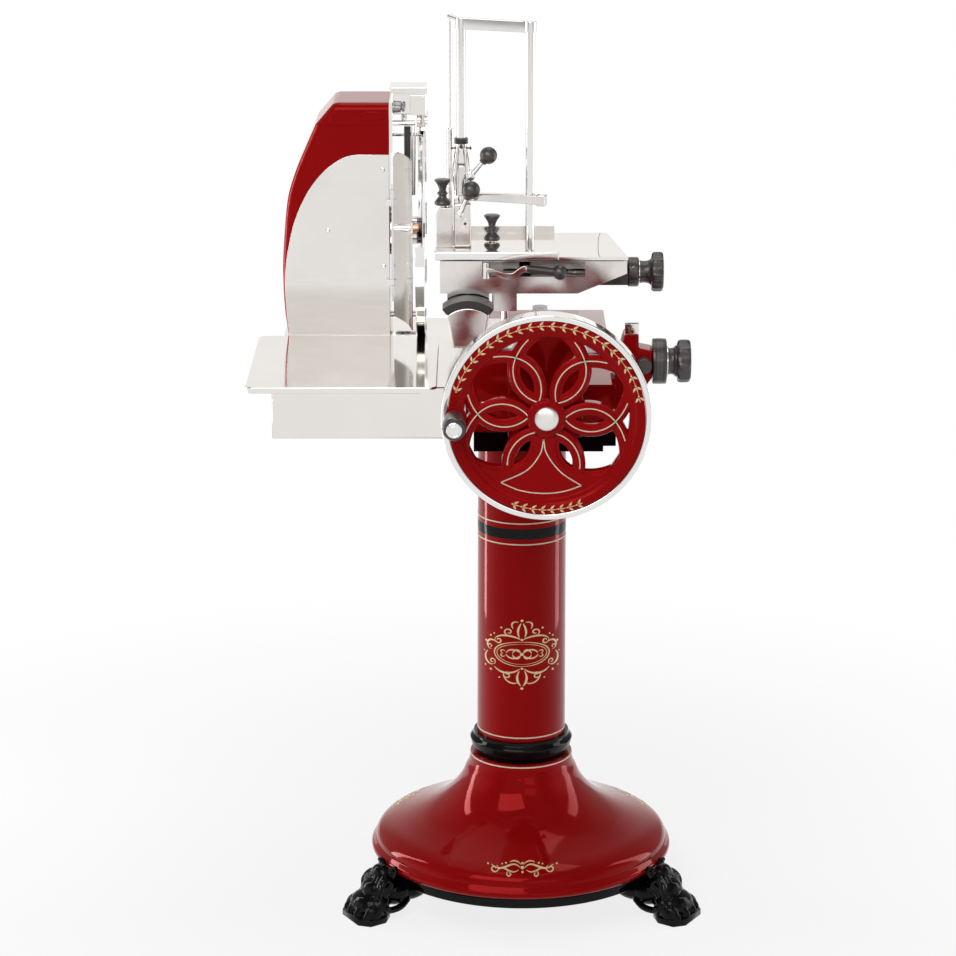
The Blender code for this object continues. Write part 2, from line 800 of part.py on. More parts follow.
def shaft_webs(floor_z):
    """Bearing walls inside the foot frame that carry the main shaft and the lay shaft."""
    top = SHAFT_Z + WEB_HALF / 2
    for start in (WEB_FRONT_Y, WEB_REAR_Y):
        yield block((SHAFT_X - WEB_HALF, start, floor_z), (SHAFT_X + WEB_HALF, start + WEB_T, top))


def foot_frame(root):
    """Black tray casting that the machine stands on, with its bearing walls."""
    low = COLUMN_TOP_Z + GAP
    high = low + FRAME_H
    outline = (
        (BASE_LEFT, low), (BASE_RIGHT - NOTCH_W, low), (BASE_RIGHT - NOTCH_W, low + NOTCH_H),
        (BASE_RIGHT, low + NOTCH_H), (BASE_RIGHT, high), (BASE_LEFT, high),
    )
    frame = solid("machine_foot_frame", prism(outline, "Y", BASE_FRONT, BASE_BACK), BLACK, root)
    floor_z = low + FRAME_FLOOR
    hollow_right = BASE_RIGHT - NOTCH_W - FRAME_WALL
    carve(frame, block((BASE_LEFT + FRAME_WALL, BASE_FRONT + FRAME_WALL, floor_z),
                       (hollow_right, BASE_BACK - FRAME_WALL, high + OVERRUN)))
    fuse(frame, *shaft_webs(floor_z - OVERRUN / 2))
    web_span = (WEB_FRONT_Y - OVERRUN, WEB_REAR_Y + WEB_T + OVERRUN)
    carve(frame, disc(SHAFT_R + GAP, "Y", *web_span, (SHAFT_X, 0, SHAFT_Z), SMALL))
    carve(frame, disc(LAY_R + GAP, "Y", *web_span, (SHAFT_X, 0, LAY_Z), SMALL))
    carve(frame, disc(CROSS_R + 2 * GAP, "X", BASE_LEFT - OVERRUN, BASE_LEFT + 2 * FRAME_WALL,
                      (0, CROSS_Y, LAY_Z + GAP), SMALL))


def housing(root):
    """Red gear housing: a shell stepped down on its right side and towards the back."""
    low = COLUMN_TOP_Z + FRAME_H + 2 * GAP
    edge = HOUSING_EDGE
    step_right = HOUSING_STEP_X + HOUSING_STEP_RUN

    def section(inset):
        left, right = HOUSING_LEFT + inset, BASE_RIGHT - inset
        return (
            (left, low - inset), (right, low - inset), (right, HOUSING_RIGHT_Z - edge - inset),
            (right - edge, HOUSING_RIGHT_Z - inset), (step_right - inset, HOUSING_RIGHT_Z - inset),
            (HOUSING_STEP_X - inset, HOUSING_SHOULDER_Z - inset), (left + edge, HOUSING_SHOULDER_Z - inset),
            (left, HOUSING_SHOULDER_Z - edge - inset),
        )

    shell = solid("base_housing", prism(section(0), "Y", BASE_FRONT, BASE_BACK), RED, root)
    step = HOUSING_SHOULDER_Z + OVERRUN
    rear = (
        (HOUSING_STEP_Y, step), (HOUSING_STEP_Y, HOUSING_REAR_Z + edge),
        (HOUSING_STEP_Y + edge, HOUSING_REAR_Z), (HOUSING_TAIL_Y, HOUSING_REAR_Z),
        (BASE_BACK + OVERRUN, HOUSING_TAIL_Z), (BASE_BACK + OVERRUN, step),
    )
    carve(shell, prism(rear, "X", HOUSING_LEFT - OVERRUN, BASE_RIGHT + OVERRUN))
    wall = HOUSING_WALL
    rear_top = HOUSING_REAR_Z - wall
    low_room = block((HOUSING_LEFT + wall + GAP, BASE_FRONT + wall + GAP, low - OVERRUN),
                     (BASE_RIGHT - wall - GAP, BASE_BACK - wall, HOUSING_TAIL_Z - wall))
    front_room = prism(section(wall), "Y", BASE_FRONT + wall, HOUSING_STEP_Y - wall)
    room_front, room_low = HOUSING_STEP_Y - 3 * wall, HOUSING_TAIL_Z - 3 * wall
    rear_room = (
        (room_front, room_low), (BASE_BACK - 4 * wall, room_low), (HOUSING_TAIL_Y, rear_top),
        (room_front, rear_top),
    )
    upper_room = prism(rear_room, "X", HOUSING_LEFT + wall + 2 * GAP, HOUSING_STEP_X - wall)
    carve(shell, front_room, low_room, upper_room)
    bush_at = (SHAFT_X, CRANK_Y, 0)
    bush_top = HOUSING_REAR_Z + BUSH_H
    fuse(shell, disc(BUSH_R, "Z", HOUSING_REAR_Z - HOUSING_WALL / 2, bush_top, bush_at, ROUND))
    carve(shell, disc(CRANK_SHAFT_R + GAP, "Z", rear_top - OVERRUN, bush_top + OVERRUN, bush_at, SMALL))
    carve(shell, disc(SHAFT_R + GAP, "Y", BASE_FRONT - OVERRUN, BASE_FRONT + 2 * HOUSING_WALL,
                      (SHAFT_X, 0, SHAFT_Z), SMALL))
    carve(shell, disc(CROSS_R + GAP, "X", HOUSING_LEFT - OVERRUN, HOUSING_LEFT + 2 * HOUSING_WALL,
                      (0, CROSS_Y, LAY_Z + GAP), SMALL))


def shaft_pillar(root):
    """Arched casting on the front of the housing, with the nose that carries the main shaft."""
    low = COLUMN_TOP_Z + FRAME_H + 2 * GAP
    middle = (PILLAR_LEFT + PILLAR_RIGHT) / 2
    radius = (PILLAR_RIGHT - PILLAR_LEFT) / 2
    outline = [(PILLAR_LEFT, low), (PILLAR_RIGHT, low)]
    outline += arc((middle, PILLAR_TOP_Z - radius), radius, 0, 180, SMALL)
    back = BASE_FRONT - GAP
    pillar = solid("shaft_pillar", prism(outline, "Y", back - PILLAR_T, back), RED, root)
    centre = (SHAFT_X, 0, SHAFT_Z)
    nose = ((0, back - PILLAR_T / 2), (NOSE_R, back - PILLAR_T / 2), (NOSE_R, back - PILLAR_T - NOSE_R / 3),
            (NOSE_R * 0.8, NOSE_END_Y), (0, NOSE_END_Y))
    fuse(pillar, turned(nose, "Y", centre, ROUND))
    carve(pillar, disc(SHAFT_R + GAP, "Y", NOSE_END_Y - OVERRUN, back + OVERRUN, centre, SMALL))


def window(number):
    """Opening of the flywheel between two petals."""
    steps = 7
    tilt = math.tau * number / PETALS
    half_turn = math.pi / PETALS
    side = []
    outer = RIM_IN_R
    for count in range(steps + 1):
        along = WINDOW_IN_R + (outer * 0.93 - WINDOW_IN_R) * count / steps
        short = max(0.0, PETAL_MID_R - along) / PETAL_RUN
        half = PETAL_HALF * math.sqrt(1 - short * short)
        side.append((math.hypot(along, half), half_turn - math.atan2(half, along)))
    side = [entry for entry in side if entry[1] > math.radians(2.0)]
    last = side[-1][1]
    for count in range(4):
        side.append((outer, last * (0.85 - 0.28 * count)))
    spread = [(r, tilt + half_turn - a) for r, a in side]
    spread += [(r, tilt + half_turn + a) for r, a in reversed(side)]
    return [(SHAFT_X + r * math.cos(t), SHAFT_Z + r * math.sin(t)) for r, t in spread]


def lens(number):
    """Opening along the middle of a petal."""
    steps = 8
    tilt = math.tau * number / PETALS
    middle, run = (LENS_IN_R + LENS_OUT_R) / 2, (LENS_OUT_R - LENS_IN_R) / 2
    points = []
    for side in (1, -1):
        for count in range(steps):
            share = math.cos(math.pi * count / steps) * side
            points.append((middle + run * share, side * LENS_HALF * math.sin(math.pi * count / steps)))
    cosine, sine = math.cos(tilt), math.sin(tilt)
    return [(SHAFT_X + a * cosine - b * sine, SHAFT_Z + a * sine + b * cosine) for a, b in points]


def flywheel(turn):
    """Spoked casting, its bright tyre, hub cap, shaft with gear and pinion, and the handle's spindle."""
    centre = (SHAFT_X, 0, SHAFT_Z)
    face, back = WHEEL_FRONT_Y, WHEEL_BACK_Y
    rim = WHEEL_R - TYRE_T
    half = WEB_DISC_T / 2
    middle = (face + back) / 2
    bore = SHAFT_R + GAP
    edge = half / 3
    section = (
        (bore, face), (HUB_R, face), (HUB_R + edge, middle - half), (RIM_IN_R - edge, middle - half),
        (RIM_IN_R + edge, face), (rim, face), (rim, back), (RIM_IN_R + edge, back),
        (RIM_IN_R - edge, middle + half), (HUB_R + edge, middle + half), (HUB_R, back), (bore, back),
    )
    wheel = solid("flywheel", turned(section, "Y", centre, FINE), RED, turn)
    weight_number = 4
    for number in range(PETALS):
        if number != weight_number:
            carve(wheel, prism(window(number), "Y", face - OVERRUN, back + OVERRUN))
        carve(wheel, prism(lens(number), "Y", face - OVERRUN, back + OVERRUN))
    seat = (SHAFT_X - SPINDLE_R_FROM_AXIS, 0, SHAFT_Z)
    carve(wheel, disc(SPINDLE_R + GAP, "Y", face - OVERRUN, back + OVERRUN, seat, SMALL))
    tyre = (
        (rim + GAP, face), (WHEEL_R - edge, face), (WHEEL_R, face + edge), (WHEEL_R, back - edge),
        (WHEEL_R - edge, back), (rim + GAP, back),
    )
    solid("flywheel_tyre", turned(tyre, "Y", centre, FINE), CHROME, turn)
    cap_back = face - GAP
    cap = ((0, cap_back), (HUB_CAP_R, cap_back), (HUB_CAP_R, cap_back - HUB_CAP_H / 4),
           (HUB_CAP_R * 0.8, cap_back - HUB_CAP_H * 0.75), (HUB_CAP_R * 0.4, cap_back - HUB_CAP_H),
           (0, cap_back - HUB_CAP_H))
    solid("flywheel_hub_cap", turned(cap, "Y", centre, SMALL), CHROME, turn)
    pinion_big = CRANK_Y - CROWN_R
    pinion_small = CRANK_Y - CROWN_R * BEVEL_SHARE
    small_r = PINION_R * BEVEL_SHARE - GAP
    main = (
        (0, face), (SHAFT_R, face), (SHAFT_R, pinion_big - SHAFT_R), (PINION_R - GAP, pinion_big),
        (PINION_R - GAP, pinion_big + GAP, COG_DIP), (small_r, pinion_small, COG_DIP), (0, pinion_small),
    )
    turning = turned(main, "Y", centre, 2 * PINION_COGS, lobes=PINION_COGS)
    shaft = solid("flywheel_shaft", turning, GEAR_STEEL, turn)
    fuse(shaft, toothed(GEAR_TIP_R, GEAR_TOOTH, GEAR_TEETH, "Y", GEAR_Y, GEAR_Y + GEAR_T, centre))
    cap_front = GRIP_FRONT_Y - GAP
    spindle = (
        (0, back - GAP), (SPINDLE_R, back - GAP), (SPINDLE_R, face - GAP), (SPINDLE_SEAT_R, face - GAP),
        (SPINDLE_SEAT_R, GRIP_BACK_Y + GAP), (SPINDLE_R, GRIP_BACK_Y + GAP), (SPINDLE_R, cap_front),
        (SPINDLE_CAP_R, cap_front), (SPINDLE_CAP_R, cap_front - SPINDLE_CAP_T),
        (0, cap_front - SPINDLE_CAP_T),
    )
    solid("handle_spindle", turned(spindle, "Y", seat, SMALL), CHROME, turn)


def crank_grip(turn):
    """Grip that turns freely on the handle's spindle."""
    seat = (SHAFT_X - SPINDLE_R_FROM_AXIS, 0, SHAFT_Z)
    bore = SPINDLE_R + GAP
    back, front = GRIP_BACK_Y, GRIP_FRONT_Y
    length = back - front
    section = [(GRIP_R * a, back - length * b) for a, b in GRIP_SHARES]
    section = [(bore, back)] + section + [(bore, front)]
    solid("crank_grip", turned(section, "Y", seat, ROUND), BAKELITE, turn)


def lay_shaft(turn):
    """Second shaft: a spur gear at the front and a bevel gear at the back."""
    centre = (SHAFT_X, 0, LAY_Z)
    tip = SHAFT_Z - LAY_Z - GEAR_TIP_R - MESH_GAP
    big = CROSS_Y - CROSS_BEVEL_R
    small = CROSS_Y - CROSS_BEVEL_R * BEVEL_SHARE
    section = (
        (0, GEAR_Y - GEAR_T), (LAY_R, GEAR_Y - GEAR_T), (LAY_R, big - LAY_R),
        (LAY_BEVEL_R - GAP, big - LAY_R / 2), (LAY_BEVEL_R - GAP, big, COG_DIP),
        (LAY_BEVEL_R * BEVEL_SHARE - GAP, small, COG_DIP), (0, small),
    )
    turning = turned(section, "Y", centre, 2 * LAY_COGS, lobes=LAY_COGS)
    shaft = solid("lay_shaft", turning, GEAR_STEEL, turn)
    fuse(shaft, toothed(tip, GEAR_TOOTH, LAY_TEETH, "Y", GEAR_Y, GEAR_Y + GEAR_T, centre))


def cross_shaft(turn):
    """Third shaft, through the side box to the large sprocket."""
    centre = (0, CROSS_Y, LAY_Z + GAP)
    big = SHAFT_X - LAY_BEVEL_R
    small = SHAFT_X - LAY_BEVEL_R * BEVEL_SHARE
    left = CHAIN_X - CHAIN_W
    big_r, small_r = CROSS_BEVEL_R - 2 * GAP, CROSS_BEVEL_R * BEVEL_SHARE - 2 * GAP
    section = (
        (0, small), (small_r, small, COG_DIP), (big_r, big, COG_DIP), (big_r, big - CROSS_R / 2),
        (CROSS_R, big - CROSS_R), (CROSS_R, left), (0, left),
    )
    turning = turned(section, "X", centre, 2 * CROSS_COGS, lobes=CROSS_COGS)
    shaft = solid("cross_shaft", turning, GEAR_STEEL, turn)
    fuse(shaft, sprocket(BIG_SPROCKET_R, BIG_SPROCKET_TEETH, centre))


def sprocket(tip, teeth, centre):
    """Chain wheel in the plane of the chain."""
    return toothed(tip, GEAR_TOOTH, teeth, "X", CHAIN_X - CHAIN_W / 2, CHAIN_X + CHAIN_W / 2, centre)


def chain_outline(offset):
    """Loop round both sprockets at a distance from them, as (Y, Z) pairs."""
    low, high = Vector((CROSS_Y, LAY_Z + GAP)), Vector((BLADE_Y, BLADE_Z))
    big, small = BIG_SPROCKET_R + offset, SMALL_SPROCKET_R + offset
    run = high - low
    lean = math.degrees(math.atan2(run.y, run.x))
    open_angle = math.degrees(math.acos((big - small) / run.length))
    points = arc(high, small, lean - open_angle, lean + open_angle, TINY)
    return points + arc(low, big, lean + open_angle, lean + 360 - open_angle, SMALL)


def drive_chain(root):
    """Chain loop that drives the blade."""
    low, high = CHAIN_X - CHAIN_W / 2, CHAIN_X + CHAIN_W / 2
    chain = solid("drive_chain", prism(chain_outline(GAP + CHAIN_T), "X", low, high), GEAR_STEEL, root)
    carve(chain, prism(chain_outline(GAP), "X", low - OVERRUN, high + OVERRUN))


def side_box(root):
    """Polished box beside the housing, open below, that covers the cross shaft."""
    right = HOUSING_LEFT - GAP
    box = solid("side_box", eased(block((BOX_LEFT, BOX_FRONT, BOX_BOTTOM_Z), (right, BOX_BACK, BOX_TOP_Z)),
                                  SHEET_T / 2), STEEL, root)
    wall = SHEET_T
    carve(box, block((BOX_LEFT + wall, BOX_FRONT + wall, BOX_BOTTOM_Z - OVERRUN),
                     (right - wall, BOX_BACK - wall, BOX_TOP_Z - wall)))
    middle = (BLADE_Y + CROSS_Y) / 2
    carve(box, block((CHAIN_X - 2 * CHAIN_W, middle - CHAIN_HOLE_HALF, BOX_TOP_Z - 2 * wall),
                     (CHAIN_X + 2 * CHAIN_W, middle + CHAIN_HOLE_HALF, BOX_TOP_Z + OVERRUN)))
    carve(box, disc(CROSS_R + GAP, "X", right - 2 * wall, right + OVERRUN, (0, CROSS_Y, LAY_Z + GAP), SMALL))


def cover_points(shares, low, high, inset=0.0):
    """Outline of the cover or its lid between two heights, as (X, Z) pairs."""
    width = COVER_RIGHT - COVER_LEFT
    points = [(COVER_LEFT + a * width + inset, low + b * (high - low)) for a, b in shares]
    return points


def drive_cover(root):
    """Red cover over the chain, its lid, and the bright wall in front of it."""
    low = BOX_TOP_Z + GAP
    seam = COVER_SEAM_Z
    wall = SHEET_T
    height = COVER_TOP_Z - low
    share_at_seam = (seam - low) / height
    body = [(a, b / share_at_seam) for a, b in COVER_SHARES if b < share_at_seam]
    last = LID_SHARES[0][0]
    body += [(last, 1.0), (1.0, 1.0), (1.0, 0.0)]
    outline = cover_points(body, low, seam)
    shape = eased(prism(outline, "Y", COVER_FRONT, COVER_BACK), SHEET_T / 2, 1, 60)
    cover = solid("drive_cover", shape, RED, root)
    room = [(x + 2 * wall, z) for x, z in outline[:-3]]
    room[0] = (room[0][0], low - OVERRUN)
    room += [(outline[-3][0] + 2 * wall, seam - wall), (COVER_RIGHT - wall, seam - wall),
             (COVER_RIGHT - wall, low - OVERRUN)]
    carve(cover, prism(room, "Y", COVER_FRONT + wall, COVER_BACK - wall))
    carve(cover, disc(BLADE_SHAFT_R + GAP, "X", COVER_RIGHT - 2 * wall, COVER_RIGHT + OVERRUN,
                      (0, BLADE_Y, BLADE_Z), SMALL))
    lid_low = seam + GAP
    lid_points = cover_points(LID_SHARES, lid_low, COVER_TOP_Z) + [(COVER_RIGHT, lid_low)]
    shape = eased(prism(lid_points, "Y", COVER_FRONT, COVER_BACK), COVER_EDGE / 3, 2, 30)
    lid = solid("drive_cover_lid", shape, RED, root)
    lid_room = []
    for x, z in lid_points:
        inward = 2 * wall if x < COVER_RIGHT else -wall
        lid_room.append((x + inward, min(z, COVER_TOP_Z - wall)))
    lid_room[0] = (lid_room[0][0], lid_low - OVERRUN)
    lid_room[-1] = (lid_room[-1][0], lid_low - OVERRUN)
    carve(lid, prism(lid_room, "Y", COVER_FRONT + wall, COVER_BACK - wall))
    width, top = WALL_RIGHT - WALL_LEFT, WALL_TOP_Z
    plate = [(WALL_LEFT + a * width, low + b * (top - low)) for a, b in WALL_SHARES] + [(WALL_RIGHT, low)]
    solid("slice_wall", prism(plate, "Y", COVER_FRONT - GAP - WALL_T, COVER_FRONT - GAP), STEEL, root)


def blade_group(root, turn):
    """Bearing arm and guard on the machine, and the blade on its shaft."""
    centre = (0, BLADE_Y, BLADE_Z)
    flange = COVER_RIGHT + GAP
    hub_left = BLADE_X - BLADE_DISH - BLADE_T
    bore = BLADE_SHAFT_R + GAP
    arm = (
        (bore, flange), (ARM_FLANGE_R, flange), (ARM_FLANGE_R, flange + ARM_FLANGE_T * 0.7),
        (ARM_FLANGE_R * 0.9, flange + ARM_FLANGE_T), (ARM_BOSS_R, flange + 2 * ARM_FLANGE_T),
        (ARM_BOSS_R, hub_left - GAP), (bore, hub_left - GAP),
    )
    solid("blade_bearing_arm", turned(arm, "X", centre, ROUND), ALUMINIUM, root)
    left, right = BLADE_X - BLADE_T / 2, BLADE_X + BLADE_T / 2
    disc_profile = (
        (bore, hub_left), (BLADE_HUB_R, hub_left), (BLADE_HUB_R + BLADE_DISH, left - BLADE_DISH / 2),
        (BLADE_R * 0.6, left), (BLADE_R - BLADE_EDGE, left), (BLADE_R, right - BLADE_T / 4), (BLADE_R, right),
        (BLADE_R * 0.6, right), (BLADE_HUB_R + BLADE_DISH, right - BLADE_DISH / 2),
        (BLADE_HUB_R, right - BLADE_DISH), (bore, right - BLADE_DISH),
    )
    solid("blade", turned(disc_profile, "X", centre, FINE), CHROME, turn)
    nut = right - BLADE_DISH + GAP
    shaft = (
        (0, CHAIN_X - CHAIN_W), (BLADE_SHAFT_R, CHAIN_X - CHAIN_W), (BLADE_SHAFT_R, nut),
        (BLADE_NUT_R, nut), (BLADE_NUT_R * 0.8, nut + BLADE_NUT_T), (0, nut + BLADE_NUT_T),
    )
    axle = solid("blade_shaft", turned(shaft, "X", centre, SMALL), GEAR_STEEL, turn)
    fuse(axle, sprocket(SMALL_SPROCKET_R, SMALL_SPROCKET_TEETH, centre))
    inner = BLADE_R + GUARD_GAP
    guard_left = BLADE_X - BLADE_T - GUARD_T / 2
    guard_right = guard_left + GUARD_T

    around = (BLADE_Y, BLADE_Z)
    outline = arc(around, inner + GUARD_THIN, GUARD_START, GUARD_WIDE_START, ROUND)
    outline += arc(around, inner + GUARD_WIDE, GUARD_WIDE_START, GUARD_END, ROUND)
    outline += arc(around, inner, GUARD_END, GUARD_START, FINE)
    guard = solid("blade_guard", prism(outline, "X", guard_left, guard_right), CHROME, root)
    for angle in GUARD_STAYS:
        reach = inner + GUARD_THIN / 2
        y = BLADE_Y + reach * math.cos(math.radians(angle))
        z = BLADE_Z + reach * math.sin(math.radians(angle))
        fuse(guard, rod((flange, y, z), (guard_left + GUARD_T / 2, y, z), GUARD_STAY_R, steps=TINY))


def rails(root):
    """Two guide rods, the rounded front support with its pad, and the rear support."""
    for name, x in zip(("rail_left", "rail_right"), RAIL_X):
        bar = rod((x, RAIL_FRONT_Y, RAIL_Z), (x, BASE_BACK, RAIL_Z), RAIL_R)
        solid(name, bar, CHROME, root)
    back = RAIL_FRONT_Y - GAP
    foot = HOUSING_SHOULDER_Z + GAP
    middle = (SUPPORT_LEFT + SUPPORT_RIGHT) / 2
    half = (SUPPORT_RIGHT - SUPPORT_LEFT) / 2
    crown_r = half * 1.6
    crown_z = SUPPORT_TOP_Z - crown_r
    swing = math.degrees(math.asin(half / crown_r))
    crown = arc((middle, crown_z), crown_r, 90 - swing, 90 + swing, TINY)
    outline = [(SUPPORT_LEFT + SUPPORT_SHOULDER, foot), (SUPPORT_RIGHT - SUPPORT_SHOULDER, foot)] + crown
    support = eased(prism(outline, "Y", SUPPORT_FRONT, back), SUPPORT_SHOULDER / 3, 2, 50)
    solid("front_rail_support", support, ALUMINIUM, root)
    under = arc((middle, crown_z), crown_r + GAP, 90 + swing, 90 - swing, TINY)
    over = arc((middle, crown_z), crown_r + PAD_T, 90 - swing, 90 + swing, TINY)
    solid("rail_slide_pad", prism(over + under, "Y", SUPPORT_FRONT - GAP * 5, back), BLACK, root)
    start = BASE_BACK + GAP
    left, right = RAIL_X[0] - 2 * RAIL_R, RAIL_X[1] + 2 * RAIL_R
    plate = (
        (HOUSING_LEFT, REAR_SUPPORT_FOOT), (right, REAR_SUPPORT_FOOT), (right, REAR_SUPPORT_TOP),
        (left, REAR_SUPPORT_TOP), (left, RAIL_Z - 3 * RAIL_R), (HOUSING_LEFT, HOUSING_RIGHT_Z),
    )
    shape = eased(prism(plate, "Y", start, start + REAR_SUPPORT_T), SHEET_T)
    solid("rear_rail_support", shape, ALUMINIUM, root)


def carriage(slide):
    """Sliding casting: an open trough with two runners, the rod's lug and the feed screw's bearing."""
    low, high = CAR_BOTTOM_Z, CAR_TOP_Z

    def section(inset, top):
        left, right = CAR_LEFT + inset, CAR_RIGHT - inset
        return (
            (left, low + inset), (CAR_TAPER_X, low + inset), (right, CAR_TAPER_Z + inset),
            (right, top), (left, top),
        )

    body = solid("carriage", prism(section(0, high), "Y", CAR_FRONT, CAR_BACK), ALUMINIUM, slide)
    carve(body, prism(section(CAR_WALL, high + OVERRUN), "Y", CAR_FRONT + CAR_WALL, CAR_BACK - CAR_WALL))
    bearing_low = FEED_Z - FEED_BLOCK_H
    fuse(body, block((FEED_BLOCK_LEFT, FEED_Y - FEED_BLOCK_HALF, bearing_low),
                     (FEED_BLOCK_RIGHT, FEED_Y + FEED_BLOCK_HALF, FEED_Z + FEED_BLOCK_H)))
    for start in (RUNNER_FRONT_Y, RUNNER_REAR_Y):
        fuse(body, block((RAIL_X[0] - RAIL_R - RUNNER_MARGIN, start, RAIL_Z - RAIL_R - RUNNER_MARGIN),
                         (RAIL_X[1] + RAIL_R + RUNNER_MARGIN, start + RUNNER_LENGTH, low + CAR_WALL / 2)))
    fuse(body, block((LUG_X - LUG_W / 2, LUG_Y - LUG_L / 2, LUG_BOTTOM_Z),
                     (LUG_X + LUG_W / 2, LUG_Y + LUG_L / 2, low + CAR_WALL / 3)))
    pin_end = ROD_Z + ROD_T + PIVOT_GAP
    fuse(body, disc(LUG_PIN_R, "Z", pin_end, LUG_BOTTOM_Z + OVERRUN, (LUG_X, LUG_Y, 0), TINY))
    carve(body, block((SLOT_LEFT, CAR_FRONT - OVERRUN, SLOT_BOTTOM_Z),
                      (SLOT_RIGHT, CAR_FRONT + 2 * CAR_WALL, SLOT_TOP_Z)))
    for x in RAIL_X:
        carve(body, rod((x, RUNNER_FRONT_Y - OVERRUN, RAIL_Z),
                        (x, RUNNER_REAR_Y + RUNNER_LENGTH + OVERRUN, RAIL_Z), RAIL_R + GAP))
    carve(body, disc(FEED_R + GAP, "X", FEED_BORE_LEFT, FEED_BLOCK_RIGHT + OVERRUN,
                     (0, FEED_Y, FEED_Z), SMALL))


def lobed_knob(neck_start, neck_r, neck_end, knob_r, knob_end):
    """Profile of a round neck that opens into a knob with eight lobes."""
    grip = knob_end - neck_end
    return (
        (neck_r, neck_start), (neck_r * 0.9, (neck_start + neck_end) / 2), (neck_r, neck_end),
        (knob_r, neck_end + grip * 0.12, 0.10), (knob_r, knob_end - grip * 0.15, 0.10),
        (knob_r * 0.9, knob_end, 0.10), (0, knob_end),
    )


def feed_screw(turn):
    """Feed screw with a bearing flange and a lobed knob."""
    centre = (0, FEED_Y, FEED_Z)
    start = FEED_BLOCK_RIGHT + GAP
    flange_end = start + FEED_FLANGE_T
    thread = [(0, FEED_SCREW_LEFT)]
    threads = 5
    pitch = (FEED_BLOCK_LEFT - FEED_BLOCK_HALF - FEED_SCREW_LEFT) / threads
    for number in range(threads):
        place = FEED_SCREW_LEFT + number * pitch
        thread += [(FEED_R - FEED_THREAD, place), (FEED_R, place + pitch / 2)]
    thread += [(FEED_R - FEED_THREAD, place + pitch), (FEED_R, place + pitch * 1.5), (FEED_R, start)]
    thread += [(FEED_FLANGE_R * 0.94, start), (FEED_FLANGE_R, start + FEED_FLANGE_T * 0.15),
               (FEED_FLANGE_R, flange_end - FEED_FLANGE_T * 0.15), (FEED_FLANGE_R * 0.9, flange_end)]
    thread += lobed_knob(flange_end, FEED_NECK_R, FEED_NECK_END, FEED_KNOB_R, FEED_KNOB_END)
    solid("feed_screw_knob", turned(thread, "X", centre, 4 * KNOB_LOBES, lobes=KNOB_LOBES), BAKELITE, turn)


def release_lever(turn):
    """Lever in the carriage's slot: a bent silver arm, a round handle and a ball."""
    hub_at = (LEVER_PIVOT_X, LEVER_PIVOT_Y, 0)
    half = LEVER_H / 2
    mid_z = (SLOT_BOTTOM_Z + SLOT_TOP_Z) / 2
    bends = ((LEVER_PIVOT_X, mid_z), (LEVER_DIP_X, LEVER_DIP_Z), (LEVER_GRIP_X, LEVER_GRIP_Z))
    outline = [(x, z - half) for x, z in bends] + [(x, z + half) for x, z in reversed(bends)]
    shape = prism(outline, "Y", LEVER_Y - LEVER_T / 2, LEVER_Y + LEVER_T / 2)
    arm = solid("release_lever", shape, BAKELITE, turn)
    fuse(arm, disc(LEVER_HUB_R, "Z", SLOT_BOTTOM_Z + GAP, SLOT_TOP_Z - GAP, hub_at, SMALL))
    handle_start = (LEVER_GRIP_X - half, LEVER_Y, LEVER_GRIP_Z)
    ball_at = (LEVER_BALL_X, LEVER_Y, LEVER_BALL_Z)
    fuse(arm, rod(handle_start, ball_at, LEVER_GRIP_R, LEVER_GRIP_R * 0.8), ball(ball_at, LEVER_BALL_R))


def meat_table(slide):
    """Table plate with its rear fence and feed nut, and its front lip."""
    top, low = TABLE_TOP_Z, TABLE_TOP_Z - TABLE_T
    outline = (
        (TABLE_LEFT, TABLE_FRONT), (TABLE_RIGHT, TABLE_FRONT),
        (TABLE_BACK_RIGHT, TABLE_BACK), (TABLE_LEFT, TABLE_BACK),
    )
    plate = solid("meat_table", prism(outline, "Z", low, top), STEEL, slide)
    nut = block((NUT_LEFT, FEED_Y - NUT_HALF, FEED_Z - NUT_HALF),
                (NUT_RIGHT, FEED_Y + NUT_HALF, low + TABLE_T / 2))
    fence = block((TABLE_LEFT + GAP, TABLE_BACK - FENCE_T, low + GAP),
                  (FENCE_RIGHT, TABLE_BACK - GAP, FENCE_TOP_Z))
    fuse(plate, nut, fence)
    carve(plate, disc(FEED_R + GAP, "X", NUT_LEFT - OVERRUN, NUT_RIGHT + OVERRUN, (0, FEED_Y, FEED_Z), SMALL))
    lip = block((TABLE_LEFT, LIP_FRONT, LIP_BOTTOM_Z), (LIP_RIGHT, LIP_BACK, LIP_TOP_Z))
    solid("table_front_lip", eased(lip, TABLE_T / 4), CHROME, slide)


